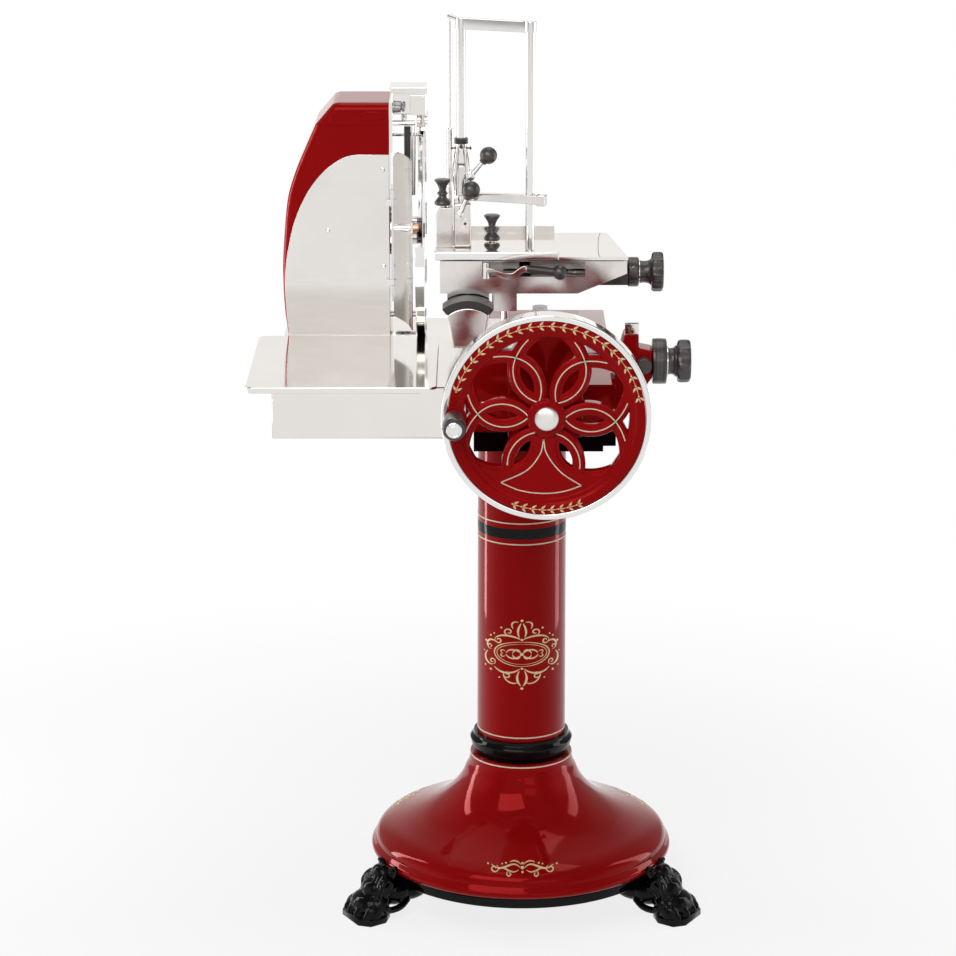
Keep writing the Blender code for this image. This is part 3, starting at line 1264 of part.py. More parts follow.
def clamp_frame(slide):
    """Posts, cross bar with its thin rod, guide tube, post block and the two small knobs."""
    floor = TABLE_TOP_Z + GAP
    posts = (("clamp_post_left", POST_LEFT_X, POST_LEFT_Y), ("clamp_post_right", POST_RIGHT_X, POST_RIGHT_Y))
    for name, x, y in posts:
        section = ((0, floor), (POST_R, floor), (POST_R, POST_TOP_Z), (POST_PEG_R, POST_TOP_Z),
                   (POST_PEG_R, POST_TOP_Z + POST_PEG_H), (0, POST_TOP_Z + POST_PEG_H))
        solid(name, turned(section, "Z", (x, y, 0), SMALL), STEEL, slide)
    low = POST_TOP_Z + GAP
    run = Vector((POST_RIGHT_X - POST_LEFT_X, POST_RIGHT_Y - POST_LEFT_Y))
    lean = math.degrees(math.atan2(run.y, run.x))
    ends = arc((POST_RIGHT_X, POST_RIGHT_Y), CROSSBAR_HALF, lean - 90, lean + 90, CORNER)
    ends += arc((POST_LEFT_X, POST_LEFT_Y), CROSSBAR_HALF, lean + 90, lean + 270, CORNER)
    bar = solid("clamp_crossbar", prism(ends, "Z", low, low + CROSSBAR_T), CHROME, slide)
    ear_half = CROSSBAR_HALF / 2
    ear = [(TUBE_X - ear_half, TUBE_Y + ear_half), (POST_LEFT_X - ear_half, POST_LEFT_Y),
           (POST_LEFT_X + ear_half, POST_LEFT_Y), (TUBE_X + ear_half, TUBE_Y + ear_half)]
    fuse(bar, prism(ear, "Z", low + GAP, low + CROSSBAR_T - GAP))
    fuse(bar, disc(THIN_ROD_R, "Z", TUBE_TOP_Z + GAP, low + CROSSBAR_T / 2, (TUBE_X, TUBE_Y, 0), TINY))
    for name, x, y in posts:
        carve(bar, disc(POST_PEG_R + GAP, "Z", low - OVERRUN, POST_TOP_Z + POST_PEG_H + GAP, (x, y, 0),
                        SMALL))
    tube = rod((TUBE_X, TUBE_Y, floor), (TUBE_X, TUBE_Y, TUBE_TOP_Z), TUBE_R)
    solid("guide_tube", tube, STEEL, slide)
    left = (
        (BLOCK_LEFT, floor), (BLOCK_MID, floor), (BLOCK_MID, BLOCK_LOW_Z),
        (BLOCK_LEFT + BLOCK_EDGE * 3, BLOCK_LOW_Z), (BLOCK_LEFT, BLOCK_LOW_Z - BLOCK_EDGE * 7),
    )
    right = block((BLOCK_STEP, BLOCK_FRONT, floor), (BLOCK_RIGHT, BLOCK_BACK, BLOCK_HIGH_Z))
    clamp_block = solid("clamp_post_block", prism(left, "Y", BLOCK_FRONT, BLOCK_BACK), ALUMINIUM, slide)
    fuse(clamp_block, eased(right, BLOCK_EDGE))
    fuse(clamp_block, block((BLOCK_MID - BLOCK_EDGE, BLOCK_FRONT + BLOCK_EDGE, floor),
                            (BLOCK_STEP + BLOCK_EDGE, BLOCK_BACK - BLOCK_EDGE, floor + BLOCK_FOOT_H)))
    carve(clamp_block, disc(POST_R + GAP, "Z", floor - OVERRUN, BLOCK_HIGH_Z + OVERRUN,
                            (POST_LEFT_X, POST_LEFT_Y, 0), SMALL))


def waisted_knob(name, at, floor, turn):
    """Small black knob with a waist, on a short bright collar."""
    section = [(SMALL_KNOB_R * a, floor + SMALL_KNOB_H * b) for a, b in WAISTED_SHARES]
    solid(name, turned(section, "Z", at, SMALL), BAKELITE, turn)


def ball_lever(name, pivot_at, ball_at, radius, turn):
    """Clamping lever: a hub disc that turns about Y, a bar and a ball."""
    x, y, z = pivot_at
    hub = disc(BALL_HUB_R, "Y", y - BALL_HUB_T / 2, y + BALL_HUB_T / 2, (x, 0, z), SMALL)
    lever = solid(name, hub, BAKELITE, turn)
    fuse(lever, rod((x, y, z), ball_at, BALL_LEVER_R, steps=TINY), ball(ball_at, radius))


def press_clamp(slide):
    """Press that slides on the posts: a long bored body and an arm that reaches past the right post."""
    post = (POST_LEFT_X, POST_LEFT_Y, 0)
    low, high = CLAMP_BOTTOM_Z, CLAMP_TOP_Z
    bore = POST_R + GAP
    body_top = high - CLAMP_COLLAR_H
    profile = [(bore, low)]
    profile += [(max(CLAMP_R * b, CLAMP_NECK_R), low + a * (body_top - low)) for a, b in CLAMP_SHARES]
    profile += [(CLAMP_NECK_R, body_top), (CLAMP_COLLAR_R, body_top), (CLAMP_COLLAR_R, high), (bore, high)]
    clamp = solid("press_clamp", turned(profile, "Z", post, SMALL + 4), ALUMINIUM, slide)
    start, end = Vector((POST_LEFT_X, POST_LEFT_Y)), Vector((POST_RIGHT_X, POST_RIGHT_Y))
    along = (end - start).normalized()
    across = Vector((-along.y, along.x)) * PRESS_HALF
    near = start + along * (POST_R + 2 * GAP + BLOCK_EDGE)
    far = end + along * PRESS_TAIL
    bar = [near - across, far - across, far + across, near + across]
    fuse(clamp, prism([tuple(p) for p in bar], "Z", PRESS_Z - PRESS_H / 2 + GAP * 20, PRESS_Z + PRESS_H / 2))
    foot_start, foot_end = far - along * PRESS_FOOT_L, far - along * GAP * 3
    side = across * PRESS_FOOT_SHARE
    foot = [foot_start - side, foot_end - side, foot_end + side, foot_start + side]
    fuse(clamp, prism([tuple(p) for p in foot], "Z", PRESS_Z - PRESS_H / 2 - PRESS_FOOT_H, PRESS_Z))
    boss_y = CLAMP_LEVER_Y + BALL_HUB_T / 2 + GAP
    fuse(clamp, disc(CLAMP_BOSS_R, "Y", boss_y, POST_LEFT_Y, (CLAMP_PIVOT_X, 0, CLAMP_PIVOT_Z), SMALL))
    carve(clamp, disc(bore, "Z", low - OVERRUN, high + OVERRUN, post, SMALL))
    carve(clamp, disc(bore, "Z", PRESS_Z - PRESS_H * 2, PRESS_Z + PRESS_H,
                      (POST_RIGHT_X, POST_RIGHT_Y, 0), SMALL))


def receiving_tray(slide):
    """Tray on the side box, with lips turned down past the box's front and left faces."""
    outline = rounded_rectangle(TRAY_LEFT, TRAY_RIGHT, TRAY_FRONT, TRAY_BACK, TRAY_CORNER)
    low = BOX_TOP_Z + GAP
    tray = solid("slice_tray", prism(outline, "Z", TRAY_TOP_Z - TRAY_LIP_H, TRAY_TOP_Z), STEEL, slide)
    inset = TRAY_LIP_T
    past_right, past_back = TRAY_RIGHT + OVERRUN, TRAY_BACK + OVERRUN
    inside = rounded_rectangle(TRAY_LEFT + inset, past_right, TRAY_FRONT + inset, past_back,
                               TRAY_CORNER - inset)
    below = TRAY_TOP_Z - TRAY_LIP_H - OVERRUN
    back_edge = block((TRAY_LEFT + inset, TRAY_BACK - 2 * TRAY_CORNER, below), (past_right, past_back, low))
    right_edge = block((TRAY_RIGHT - 2 * TRAY_CORNER, TRAY_FRONT + inset, below),
                       (past_right, past_back, low))
    carve(tray, prism(inside, "Z", below, low), back_edge, right_edge)


def deflector(root, turn, knob_turn):
    """Curved plate that lifts slices off the blade, its hinge beside the slice wall, and its knob."""
    hinge = Vector((DEFLECT_HINGE_X, DEFLECT_HINGE_Y))
    edge = Vector((DEFLECT_EDGE_X, DEFLECT_EDGE_Y))
    steps = 8
    along = edge - hinge
    across = Vector((along.y, -along.x)).normalized()
    start = hinge + along.normalized() * (DEFLECT_PIN_R + 4 * GAP)
    sag = along.length * 0.05
    front, rear = [], []
    for number in range(steps + 1):
        share = number / steps
        middle = start + (edge - start) * share - across * sag * math.sin(math.pi * share)
        front.append(tuple(middle + across * DEFLECT_T / 2))
        rear.append(tuple(middle - across * DEFLECT_T / 2))
    shape = prism(front + rear[::-1], "Z", DEFLECT_BOTTOM_Z, DEFLECT_TOP_Z)
    plate = solid("slice_deflector", shape, STEEL, turn)
    corner_y = DEFLECT_HINGE_Y - DEFLECT_CORNER
    corner_z = DEFLECT_TOP_Z - DEFLECT_CORNER
    outline = [(DEFLECT_HINGE_Y + OVERRUN, DEFLECT_TOP_Z + OVERRUN), (corner_y, DEFLECT_TOP_Z + OVERRUN)]
    outline += arc((corner_y, corner_z), DEFLECT_CORNER, 90, 10, CORNER)
    outline.append((DEFLECT_HINGE_Y + OVERRUN, corner_z))
    carve(plate, prism(outline, "X", DEFLECT_HINGE_X - DEFLECT_CORNER, DEFLECT_EDGE_X))
    length = DEFLECT_TOP_Z - DEFLECT_BOTTOM_Z
    knuckles = (DEFLECT_BOTTOM_Z + length * 0.12, DEFLECT_BOTTOM_Z + length * 0.70)
    axis_at = (DEFLECT_HINGE_X, DEFLECT_HINGE_Y, 0)
    for place in knuckles:
        high = place + DEFLECT_KNUCKLE_H
        fuse(plate, disc(DEFLECT_KNUCKLE_R, "Z", place, high, axis_at, SMALL))
        carve(plate, disc(DEFLECT_PIN_R + GAP, "Z", place - OVERRUN, high + OVERRUN, axis_at, SMALL))
    stud = DEFLECT_PIN_R
    lug_left, lug_right = DEFLECT_KNOB_RIGHT - OVERRUN, DEFLECT_KNOB_RIGHT + GAP
    fuse(plate, block((lug_left, DEFLECT_KNOB_Y - DEFLECT_NUT_R, DEFLECT_KNOB_Z - DEFLECT_NUT_R),
                      (lug_right, DEFLECT_EDGE_Y + DEFLECT_T, DEFLECT_KNOB_Z + DEFLECT_NUT_R)))
    knob_at = (0, DEFLECT_KNOB_Y, DEFLECT_KNOB_Z)
    carve(plate, disc(stud + GAP, "X", lug_left - OVERRUN, lug_right + OVERRUN, knob_at, TINY))
    reach = COVER_FRONT - GAP - WALL_T - GAP
    bottom, top = knuckles[0] - DEFLECT_KNUCKLE_H / 2, knuckles[1] + DEFLECT_KNUCKLE_H * 1.5
    pin = solid("deflector_hinge_pin", disc(DEFLECT_PIN_R, "Z", bottom, top, axis_at, TINY), CHROME, root)
    for low in (knuckles[0] + DEFLECT_KNUCKLE_H + GAP, knuckles[1] - DEFLECT_KNUCKLE_H / 2 - GAP):
        fuse(pin, block((WALL_RIGHT - DEFLECT_KNUCKLE_R, DEFLECT_HINGE_Y - DEFLECT_PIN_R / 2, low),
                        (DEFLECT_HINGE_X + DEFLECT_PIN_R / 2, reach, low + DEFLECT_KNUCKLE_H / 2)))
    r, nut = DEFLECT_KNOB_R, DEFLECT_NUT_R
    knob = (
        (0, DEFLECT_KNOB_LEFT), (r, DEFLECT_KNOB_LEFT), (r * 0.72, lug_left - GAP), (stud, lug_left - GAP),
        (stud, lug_right + GAP), (nut, lug_right + GAP), (nut, DEFLECT_NUT_END), (0, DEFLECT_NUT_END),
    )
    solid("deflector_knob", turned(knob, "X", knob_at, SMALL), CHROME, knob_turn)


def sharpener(root, slide, knob_turn):
    """Bracket on the cover's side, the head that drops onto the blade's edge, and its knob."""
    left = COVER_RIGHT + GAP
    face = left + SHARP_BRACKET_T
    shelf_top = SHARP_SHELF_Z
    half = SHARP_SHELF_HALF
    plate = block((left, SHARP_KNOB_Y, shelf_top - SHARP_PLATE_H),
                  (face, SHARP_POST_Y + half, SHARP_BRACKET_Z))
    bracket = solid("sharpener_bracket", plate, CHROME, root)
    fuse(bracket, block((left + GAP, SHARP_POST_Y - half, shelf_top - SHARP_BRACKET_T),
                        (SHARP_POST_X + half, SHARP_POST_Y + half - GAP, shelf_top)))
    post = rod((SHARP_POST_X, SHARP_POST_Y, shelf_top - SHARP_BRACKET_T / 2),
               (SHARP_POST_X, SHARP_POST_Y, SHARP_POST_TOP_Z), SHARP_POST_R)
    lug = block((left + GAP, SHARP_KNOB_Y - SHARP_KNOB_R, SHARP_BRACKET_Z - SHARP_BRACKET_T),
                (face - GAP, SHARP_KNOB_Y + SHARP_KNOB_R, SHARP_KNOB_Z + SHARP_KNOB_R))
    stay = rod((left + GAP * 2, SHARP_STAY_Y, SHARP_STAY_Z), (SHARP_STAY_RIGHT, SHARP_STAY_Y, SHARP_STAY_Z),
               SHARP_POST_R)
    fuse(bracket, post, lug, stay)
    lid_low = SHARP_TOP_Z - SHARP_LID_T
    low = lid_low - SHARP_BOX_H
    box = block((face + 5 * GAP, SHARP_FRONT_Y, low), (SHARP_RIGHT, SHARP_BACK_Y, lid_low + SHARP_LID_T / 2))
    head = solid("sharpener_head", eased(box, SHARP_LID_T / 6), CHROME, slide)
    fuse(head, block((SHARP_LEFT, SHARP_FRONT_Y - GAP * 3, lid_low),
                     (SHARP_RIGHT + GAP * 3, SHARP_BACK_Y + GAP * 3, SHARP_TOP_Z)))
    stone_z = low - SHARP_STONE_R * 1.44
    for side in (-1, 1):
        near = BLADE_X + side * (BLADE_T / 2 + SHARP_STONE_GAP)
        far = near + side * SHARP_STONE_T
        stone_at = (0, SHARP_POST_Y - SHARP_STONE_R, stone_z)
        fuse(head, disc(SHARP_STONE_R, "X", min(near, far), max(near, far), stone_at, SMALL))
        fuse(head, block((min(near, far) + GAP, stone_at[1] - SHARP_STONE_R / 2, stone_z),
                         (max(near, far) - GAP, stone_at[1] + SHARP_STONE_R / 2, low + OVERRUN)))
    carve(head, disc(SHARP_POST_R + GAP, "Z", low - OVERRUN, SHARP_POST_TOP_Z + SHARP_DROP + GAP * 3,
                     (SHARP_POST_X, SHARP_POST_Y, 0), SMALL))
    start = face + GAP
    r, run = SHARP_KNOB_R, SHARP_KNOB_L
    knob = [(r * a, start + run * b) for a, b in SHARP_KNOB_SHARES]
    solid("sharpener_knob", turned(knob, "X", (0, SHARP_KNOB_Y, SHARP_KNOB_Z), SMALL), CHROME, knob_turn)


def thickness_setting(root, turn):
    """Red bracket on the housing's side, its tab and stop, and the dial with its lobed knob."""
    low, high = DIAL_Y - BRACKET_HALF, DIAL_Y + BRACKET_HALF
    left, right = BASE_RIGHT + GAP, DIAL_LEFT - GAP
    outline = (
        (left, BRACKET_FOOT_Z), (BRACKET_ARM_LEFT + BRACKET_REACH, BRACKET_FOOT_Z),
        (right, DIAL_Z - BRACKET_BOSS_R),
        (right, DIAL_Z + BRACKET_BOSS_R), (BRACKET_ARM_RIGHT, DIAL_Z + BRACKET_BOSS_R * 1.2),
        (BRACKET_ARM_RIGHT, BRACKET_ARM_TOP_Z), (BRACKET_ARM_LEFT, BRACKET_ARM_TOP_Z),
        (left, HOUSING_RIGHT_Z + BRACKET_REACH),
    )
    bracket = solid("thickness_bracket", eased(prism(outline, "Y", low, high), BRACKET_EASE, 2), RED, root)
    centre = (0, DIAL_Y, DIAL_Z)
    spindle_end = right - BRACKET_HALF
    carve(bracket, disc(DIAL_SPINDLE_R + GAP, "X", spindle_end - GAP, right + OVERRUN, centre, SMALL))
    base = BRACKET_ARM_TOP_Z + GAP
    bend = TAB_TOP_Z - TAB_T
    inner, reach = low + TAB_T, low + TAB_REACH
    tab = ((low, base), (inner, base), (inner, bend), (reach, bend), (reach, TAB_TOP_Z), (low, TAB_TOP_Z))
    solid("thickness_tab", prism(tab, "X", BRACKET_ARM_LEFT, BRACKET_ARM_RIGHT), STEEL, root)
    stop = disc(STOP_R, "Y", STOP_FRONT_Y, low - GAP, (STOP_X, 0, STOP_Z), ROUND)
    solid("thickness_stop", eased(stop, GAP * 3, 1, 60), BAKELITE, root)
    profile = [
        (0, spindle_end), (DIAL_SPINDLE_R, spindle_end), (DIAL_SPINDLE_R, DIAL_LEFT),
        (DIAL_R * 0.96, DIAL_LEFT), (DIAL_R, DIAL_LEFT + DIAL_R * 0.04), (DIAL_R, DIAL_RIGHT - DIAL_R * 0.12),
        (DIAL_R * 0.9, DIAL_RIGHT),
    ]
    profile += lobed_knob(DIAL_RIGHT, DIAL_NECK_R, DIAL_NECK_END, DIAL_KNOB_R, DIAL_KNOB_END)
    solid("thickness_knob", turned(profile, "X", centre, 4 * KNOB_LOBES, lobes=KNOB_LOBES), BAKELITE, turn)


def drive(root):
    """Everything that the crank handle turns."""
    main_turn = pivot("flywheel_turn", (SHAFT_X, 0, SHAFT_Z), root)
    flywheel(main_turn)
    crank_grip(pivot("grip_turn", (SHAFT_X - SPINDLE_R_FROM_AXIS, GRIP_BACK_Y, SHAFT_Z), main_turn))
    lay_shaft(pivot("lay_turn", (SHAFT_X, CROSS_Y, LAY_Z), root))
    cross_shaft(pivot("cross_turn", (0, CROSS_Y, LAY_Z + GAP), root))
    drive_chain(root)
    blade_group(root, pivot("blade_turn", (BLADE_X, BLADE_Y, BLADE_Z), root))
    crank_turn = pivot("crank_turn", (SHAFT_X, CRANK_Y, CRANK_ARM_Z), root)
    crank(crank_turn)
    connecting_rod(pivot("rod_turn", (SHAFT_X, CRANK_Y - CRANK_THROW, ROD_Z), crank_turn))


def crank(turn):
    """Crank arm on an upright shaft with a bevel wheel below, and the pin that drives the rod."""
    centre = (SHAFT_X, CRANK_Y, 0)
    line = SHAFT_Z + MESH_GAP
    inner = CROWN_R * BEVEL_SHARE
    section = (
        (0, line + PINION_R * BEVEL_SHARE + GAP), (inner, line + PINION_R * BEVEL_SHARE, CROWN_DIP),
        (CROWN_R, line + PINION_R, CROWN_DIP), (CROWN_R, line + PINION_R + CRANK_ARM_T * 0.6),
        (CRANK_SHAFT_R, line + PINION_R + CRANK_ARM_T * 0.7), (CRANK_SHAFT_R, CRANK_ARM_Z + CRANK_ARM_T / 2),
        (0, CRANK_ARM_Z + CRANK_ARM_T / 2),
    )
    turning = turned(section, "Z", centre, 2 * CROWN_COGS, lobes=CROWN_COGS)
    wheel = solid("drive_crank", turning, GEAR_STEEL, turn)
    half = CRANK_ARM_HALF
    tip = CRANK_Y - CRANK_THROW
    outline = arc((SHAFT_X, CRANK_Y), half, 0, 180, CORNER)
    outline += arc((SHAFT_X, tip), half * 0.8, 180, 360, CORNER)
    fuse(wheel, prism(outline, "Z", CRANK_ARM_Z, CRANK_ARM_Z + CRANK_ARM_T))
    pin = disc(CRANK_PIN_R, "Z", CRANK_ARM_Z + CRANK_ARM_T / 2, ROD_Z + ROD_T - GAP, (SHAFT_X, tip, 0), SMALL)
    fuse(wheel, pin)


def connecting_rod(turn):
    """Rod from the crank's pin to the lug of the carriage."""
    pin = Vector((SHAFT_X, CRANK_Y - CRANK_THROW))
    lug = Vector((LUG_X, LUG_Y))
    along = (lug - pin).normalized()
    across = Vector((-along.y, along.x)) * ROD_HALF
    bar = [tuple(p) for p in (pin - across, lug - across, lug + across, pin + across)]
    link = solid("connecting_rod", prism(bar, "Z", ROD_Z + GAP, ROD_Z + ROD_T - GAP), GEAR_STEEL, turn)
    for at in (pin, lug):
        fuse(link, disc(ROD_EYE_R, "Z", ROD_Z, ROD_Z + ROD_T, (at.x, at.y, 0), SMALL))
    carve(link, disc(CRANK_PIN_R + GAP, "Z", ROD_Z - OVERRUN, ROD_Z + ROD_T + OVERRUN,
                     (pin.x, pin.y, 0), SMALL))


def sliding_group(root):
    """Carriage and all that rides on it."""
    carriage_slide = pivot("carriage_slide", (0, CAR_FRONT, CAR_BOTTOM_Z), root)
    carriage(carriage_slide)
    feed_screw(pivot("feed_turn", (FEED_BLOCK_RIGHT, FEED_Y, FEED_Z), carriage_slide))
    release_lever(pivot("release_turn", (LEVER_PIVOT_X, LEVER_PIVOT_Y, SLOT_TOP_Z), carriage_slide))
    table_slide = pivot("table_slide", (TABLE_LEFT, 0, TABLE_TOP_Z), carriage_slide)
    meat_table(table_slide)
    clamp_frame(table_slide)
    block_top = (BLOCK_KNOB_X, BLOCK_KNOB_Y, BLOCK_LOW_Z + GAP)
    waisted_knob("block_knob", block_top, block_top[2], pivot("block_knob_turn", block_top, table_slide))
    table_spot = (TABLE_KNOB_X, TABLE_KNOB_Y, TABLE_TOP_Z + GAP)
    waisted_knob("table_knob", table_spot, table_spot[2], pivot("table_knob_turn", table_spot, table_slide))
    clamp_slide = pivot("clamp_slide", (POST_LEFT_X, POST_LEFT_Y, CLAMP_BOTTOM_Z), table_slide)
    press_clamp(clamp_slide)
    clamp_at = (CLAMP_PIVOT_X, CLAMP_LEVER_Y, CLAMP_PIVOT_Z)
    ball_lever("clamp_lever", clamp_at, (CLAMP_BALL_X, CLAMP_LEVER_Y, CLAMP_BALL_Z), CLAMP_BALL_R,
               pivot("clamp_lever_turn", clamp_at, clamp_slide))
    block_at = (BLOCK_PIVOT_X, BLOCK_LEVER_Y, BLOCK_PIVOT_Z)
    ball_lever("block_lever", block_at, (BLOCK_BALL_X, BLOCK_BALL_Y, BLOCK_BALL_Z), BLOCK_BALL_R,
               pivot("block_lever_turn", block_at, table_slide))


def main():
    clear_scene()
    root = pivot("footprint_centre", (0, 0, 0))
    root.location = (COLUMN_X, COLUMN_Y, 0)
    pedestal(root)
    foot_frame(root)
    housing(root)
    shaft_pillar(root)
    drive(root)
    side_box(root)
    drive_cover(root)
    rails(root)
    sliding_group(root)
    receiving_tray(pivot("tray_slide", (TRAY_LEFT, TRAY_FRONT, TRAY_TOP_Z), root))
    hinge = pivot("deflector_turn", (DEFLECT_HINGE_X, DEFLECT_HINGE_Y, DEFLECT_BOTTOM_Z), root)
    knob_at = (DEFLECT_KNOB_LEFT, DEFLECT_KNOB_Y, DEFLECT_KNOB_Z)
    deflector(root, hinge, pivot("deflector_knob_turn", knob_at, hinge))
    sharpener(root, pivot("sharpener_slide", (SHARP_POST_X, SHARP_POST_Y, SHARP_TOP_Z), root),
              pivot("sharpener_knob_turn", (COVER_RIGHT, SHARP_KNOB_Y, SHARP_KNOB_Z), root))
    thickness_setting(root, pivot("thickness_turn", (DIAL_LEFT, DIAL_Y, DIAL_Z), root))
    bpy.context.view_layer.update()


main()
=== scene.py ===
"""Dresses a hand crank meat slicer on a pedestal in enamel, chrome, brushed steel and bakelite."""
import math

import bmesh
import bpy
from mathutils import Matrix, Vector


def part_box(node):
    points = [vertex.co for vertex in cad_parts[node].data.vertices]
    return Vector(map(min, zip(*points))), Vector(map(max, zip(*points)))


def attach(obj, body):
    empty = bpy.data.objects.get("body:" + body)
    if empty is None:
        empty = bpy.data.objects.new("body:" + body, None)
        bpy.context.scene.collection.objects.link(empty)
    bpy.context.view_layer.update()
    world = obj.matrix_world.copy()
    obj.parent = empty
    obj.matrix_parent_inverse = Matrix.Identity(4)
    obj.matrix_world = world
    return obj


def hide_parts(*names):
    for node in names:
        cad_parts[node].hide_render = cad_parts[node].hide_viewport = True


bl_info = {
    "name": "Hand Crank Meat Slicer",
    "version": (1, 0, 0),
    "blender": (4, 5, 0),
    "location": "View3D > Sidebar > Slicer",
    "description": "Builds the visible pieces of a flywheel meat slicer over its packed frame",
    "category": "Object",
}

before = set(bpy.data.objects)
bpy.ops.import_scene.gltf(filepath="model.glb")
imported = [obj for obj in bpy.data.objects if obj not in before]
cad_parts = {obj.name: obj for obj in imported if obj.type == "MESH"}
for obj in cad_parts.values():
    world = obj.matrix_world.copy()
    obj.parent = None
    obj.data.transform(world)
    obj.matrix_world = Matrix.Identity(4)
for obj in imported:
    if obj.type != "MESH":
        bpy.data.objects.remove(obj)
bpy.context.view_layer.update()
COLUMN_LOW, COLUMN_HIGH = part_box("pedestal_column")
ORIGIN = Vector(((COLUMN_LOW[0] + COLUMN_HIGH[0]) / 2, (COLUMN_LOW[1] + COLUMN_HIGH[1]) / 2, 0))


def span(node):
    """Lowest and highest corner of a node, measured from the column's foot."""
    low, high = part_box(node)
    return Vector(low) - ORIGIN, Vector(high) - ORIGIN


def middle(node):
    low, high = span(node)
    return (low + high) / 2


def size(name, description, default):
    return bpy.props.FloatProperty(name=name, description=description, default=default, unit="LENGTH")


def tint(name, description, default):
    return bpy.props.FloatVectorProperty(name=name, description=description, default=default,
                                         subtype="COLOR", size=3, min=0.0, max=1.0)


def count(name, description, default):
    return bpy.props.IntProperty(name=name, description=description, default=default, min=1)


class SlicerSizes(bpy.types.PropertyGroup):
    """Sizes of details that a user may change."""
    line: size("Pinstripe", "Width of the cream pinstripes", 0.0029)
    line_proud: size("Pinstripe height", "How far a painted line stands over the enamel", 0.00035)
    rim_lip: size("Rim lip", "Height of the rolled lip round the bell", 0.015)
    cast_edge: size("Cast edge", "Rounding of the castings' edges", 0.0028)
    sheet_edge: size("Sheet edge", "Rounding of sheet metal edges", 0.0010)
    small_edge: size("Small edge", "Rounding of small machined parts", 0.0006)
    screw: size("Screw", "Radius of the round screw heads", 0.0046)
    bead: size("Bead", "Radius of the raised beads on the flywheel", 0.0017)
    petal_tip: size("Petal tip", "Distance from the wheel's axis to the inner tip of a petal's lines",
                    0.0305)
    petal_cross: size("Petal crossing", "Distance from the axis to where a petal's lines cross", 0.1176)
    fork_bend: size("Fork bend", "Radius of the petals' forks beyond the crossing", 0.096)
    petal_half: size("Petal half width", "Half the width between a petal's two lines", 0.0201)
    leaf: size("Leaf", "Length of one gold leaf on the flywheel's rim", 0.0138)
    round_steps: count("Round steps", "Faces round a large turned piece", 144)
    small_steps: count("Small steps", "Faces round a small turned piece", 48)
    leaves_above: count("Upper leaves", "Pairs of gold leaves along the upper rim", 23)
    leaves_below: count("Lower leaves", "Pairs of gold leaves along the lower rim", 8)


class SlicerColours(bpy.types.PropertyGroup):
    """Colours of the finishes."""
    red: tint("Red enamel", "Enamel of the castings", (0.350, 0.0036, 0.0046))
    black: tint("Black enamel", "Enamel of the feet and the base frame", (0.0022, 0.0021, 0.0023))
    cream: tint("Cream", "Painted pinstripes", (0.93, 0.84, 0.66))
    gold: tint("Gold", "Gold leaf of the ornaments", (0.97, 0.76, 0.42))
    chrome: tint("Chrome", "Polished plated parts", (0.80, 0.785, 0.77))
    steel: tint("Stainless", "Brushed sheet metal", (0.80, 0.775, 0.745))
    cast: tint("Aluminium", "Polished aluminium castings", (0.76, 0.725, 0.705))
    bakelite: tint("Bakelite", "Knobs and grips", (0.042, 0.034, 0.032))
    iron: tint("Gear steel", "Machined shafts and gears", (0.36, 0.355, 0.35))
    copper: tint("Copper", "Lock nut of the deflector's knob", (0.72, 0.36, 0.22))
    floor: tint("Floor", "Studio floor and surround", (0.92, 0.92, 0.92))


def sizes():
    return bpy.context.scene.slicer_sizes


def colours():
    return bpy.context.scene.slicer_colours


# Outline helpers, in (across, up) pairs

def arc(centre, radius, start, end, steps):
    """Points on a circle, from one angle to another in degrees."""
    turn = (end - start) / steps
    angles = [math.radians(start + turn * number) for number in range(steps + 1)]
    return [(centre[0] + radius * math.cos(t), centre[1] + radius * math.sin(t)) for t in angles]


def fillet(points, radius, steps=4, closed=False):
    """The same outline with its corners rounded."""
    total = len(points)
    result = []
    for number, point in enumerate(points):
        here = Vector(point)
        if not closed and number in (0, total - 1):
            result.append(tuple(here))
            continue
        before, after = Vector(points[number - 1]), Vector(points[(number + 1) % total])
        reach = min(radius, (before - here).length * 0.45, (after - here).length * 0.45)
        start = here + (before - here).normalized() * reach
        end = here + (after - here).normalized() * reach
        for step in range(steps + 1):
            t = step / steps
            result.append(tuple(start * (1 - t) ** 2 + here * 2 * t * (1 - t) + end * t ** 2))
    return result


def pin_line(radius, low, high, edge, steps=4):
    """Half outline of a round pin with rounded ends."""
    return fillet([(0, low), (radius, low), (radius, high), (0, high)], edge, steps)


def smooth_line(points, steps=6):
    """Catmull-Rom curve through the points."""
    nodes = [Vector(point) for point in points]
    ends = [2 * nodes[0] - nodes[1]] + nodes + [2 * nodes[-1] - nodes[-2]]
    result = []
    for a, b, c, d in zip(ends, ends[1:], ends[2:], ends[3:]):
        for step in range(steps):
            t = step / steps
            result.append(0.5 * (2 * b + (c - a) * t + (2 * a - 5 * b + 4 * c - d) * t * t
                                 + (3 * b - 3 * c + d - a) * t ** 3))
    return result + [nodes[-1]]


# Shape helpers: each gives a bmesh measured from the column's foot

AXES = {"X": (Vector((1, 0, 0)), Vector((0, 1, 0)), Vector((0, 0, 1))),
        "Y": (Vector((0, 1, 0)), Vector((0, 0, 1)), Vector((1, 0, 0))),
        "Z": (Vector((0, 0, 1)), Vector((1, 0, 0)), Vector((0, 1, 0)))}


def bridge(shape, low, high):
    total = max(len(low), len(high))
    for number in range(total):
        after = (number + 1) % total
        if len(low) == 1:
            shape.faces.new((low[0], high[number], high[after]))
        elif len(high) == 1:
            shape.faces.new((low[number], high[0], low[after]))
        else:
            shape.faces.new((low[number], high[number], high[after], low[after]))


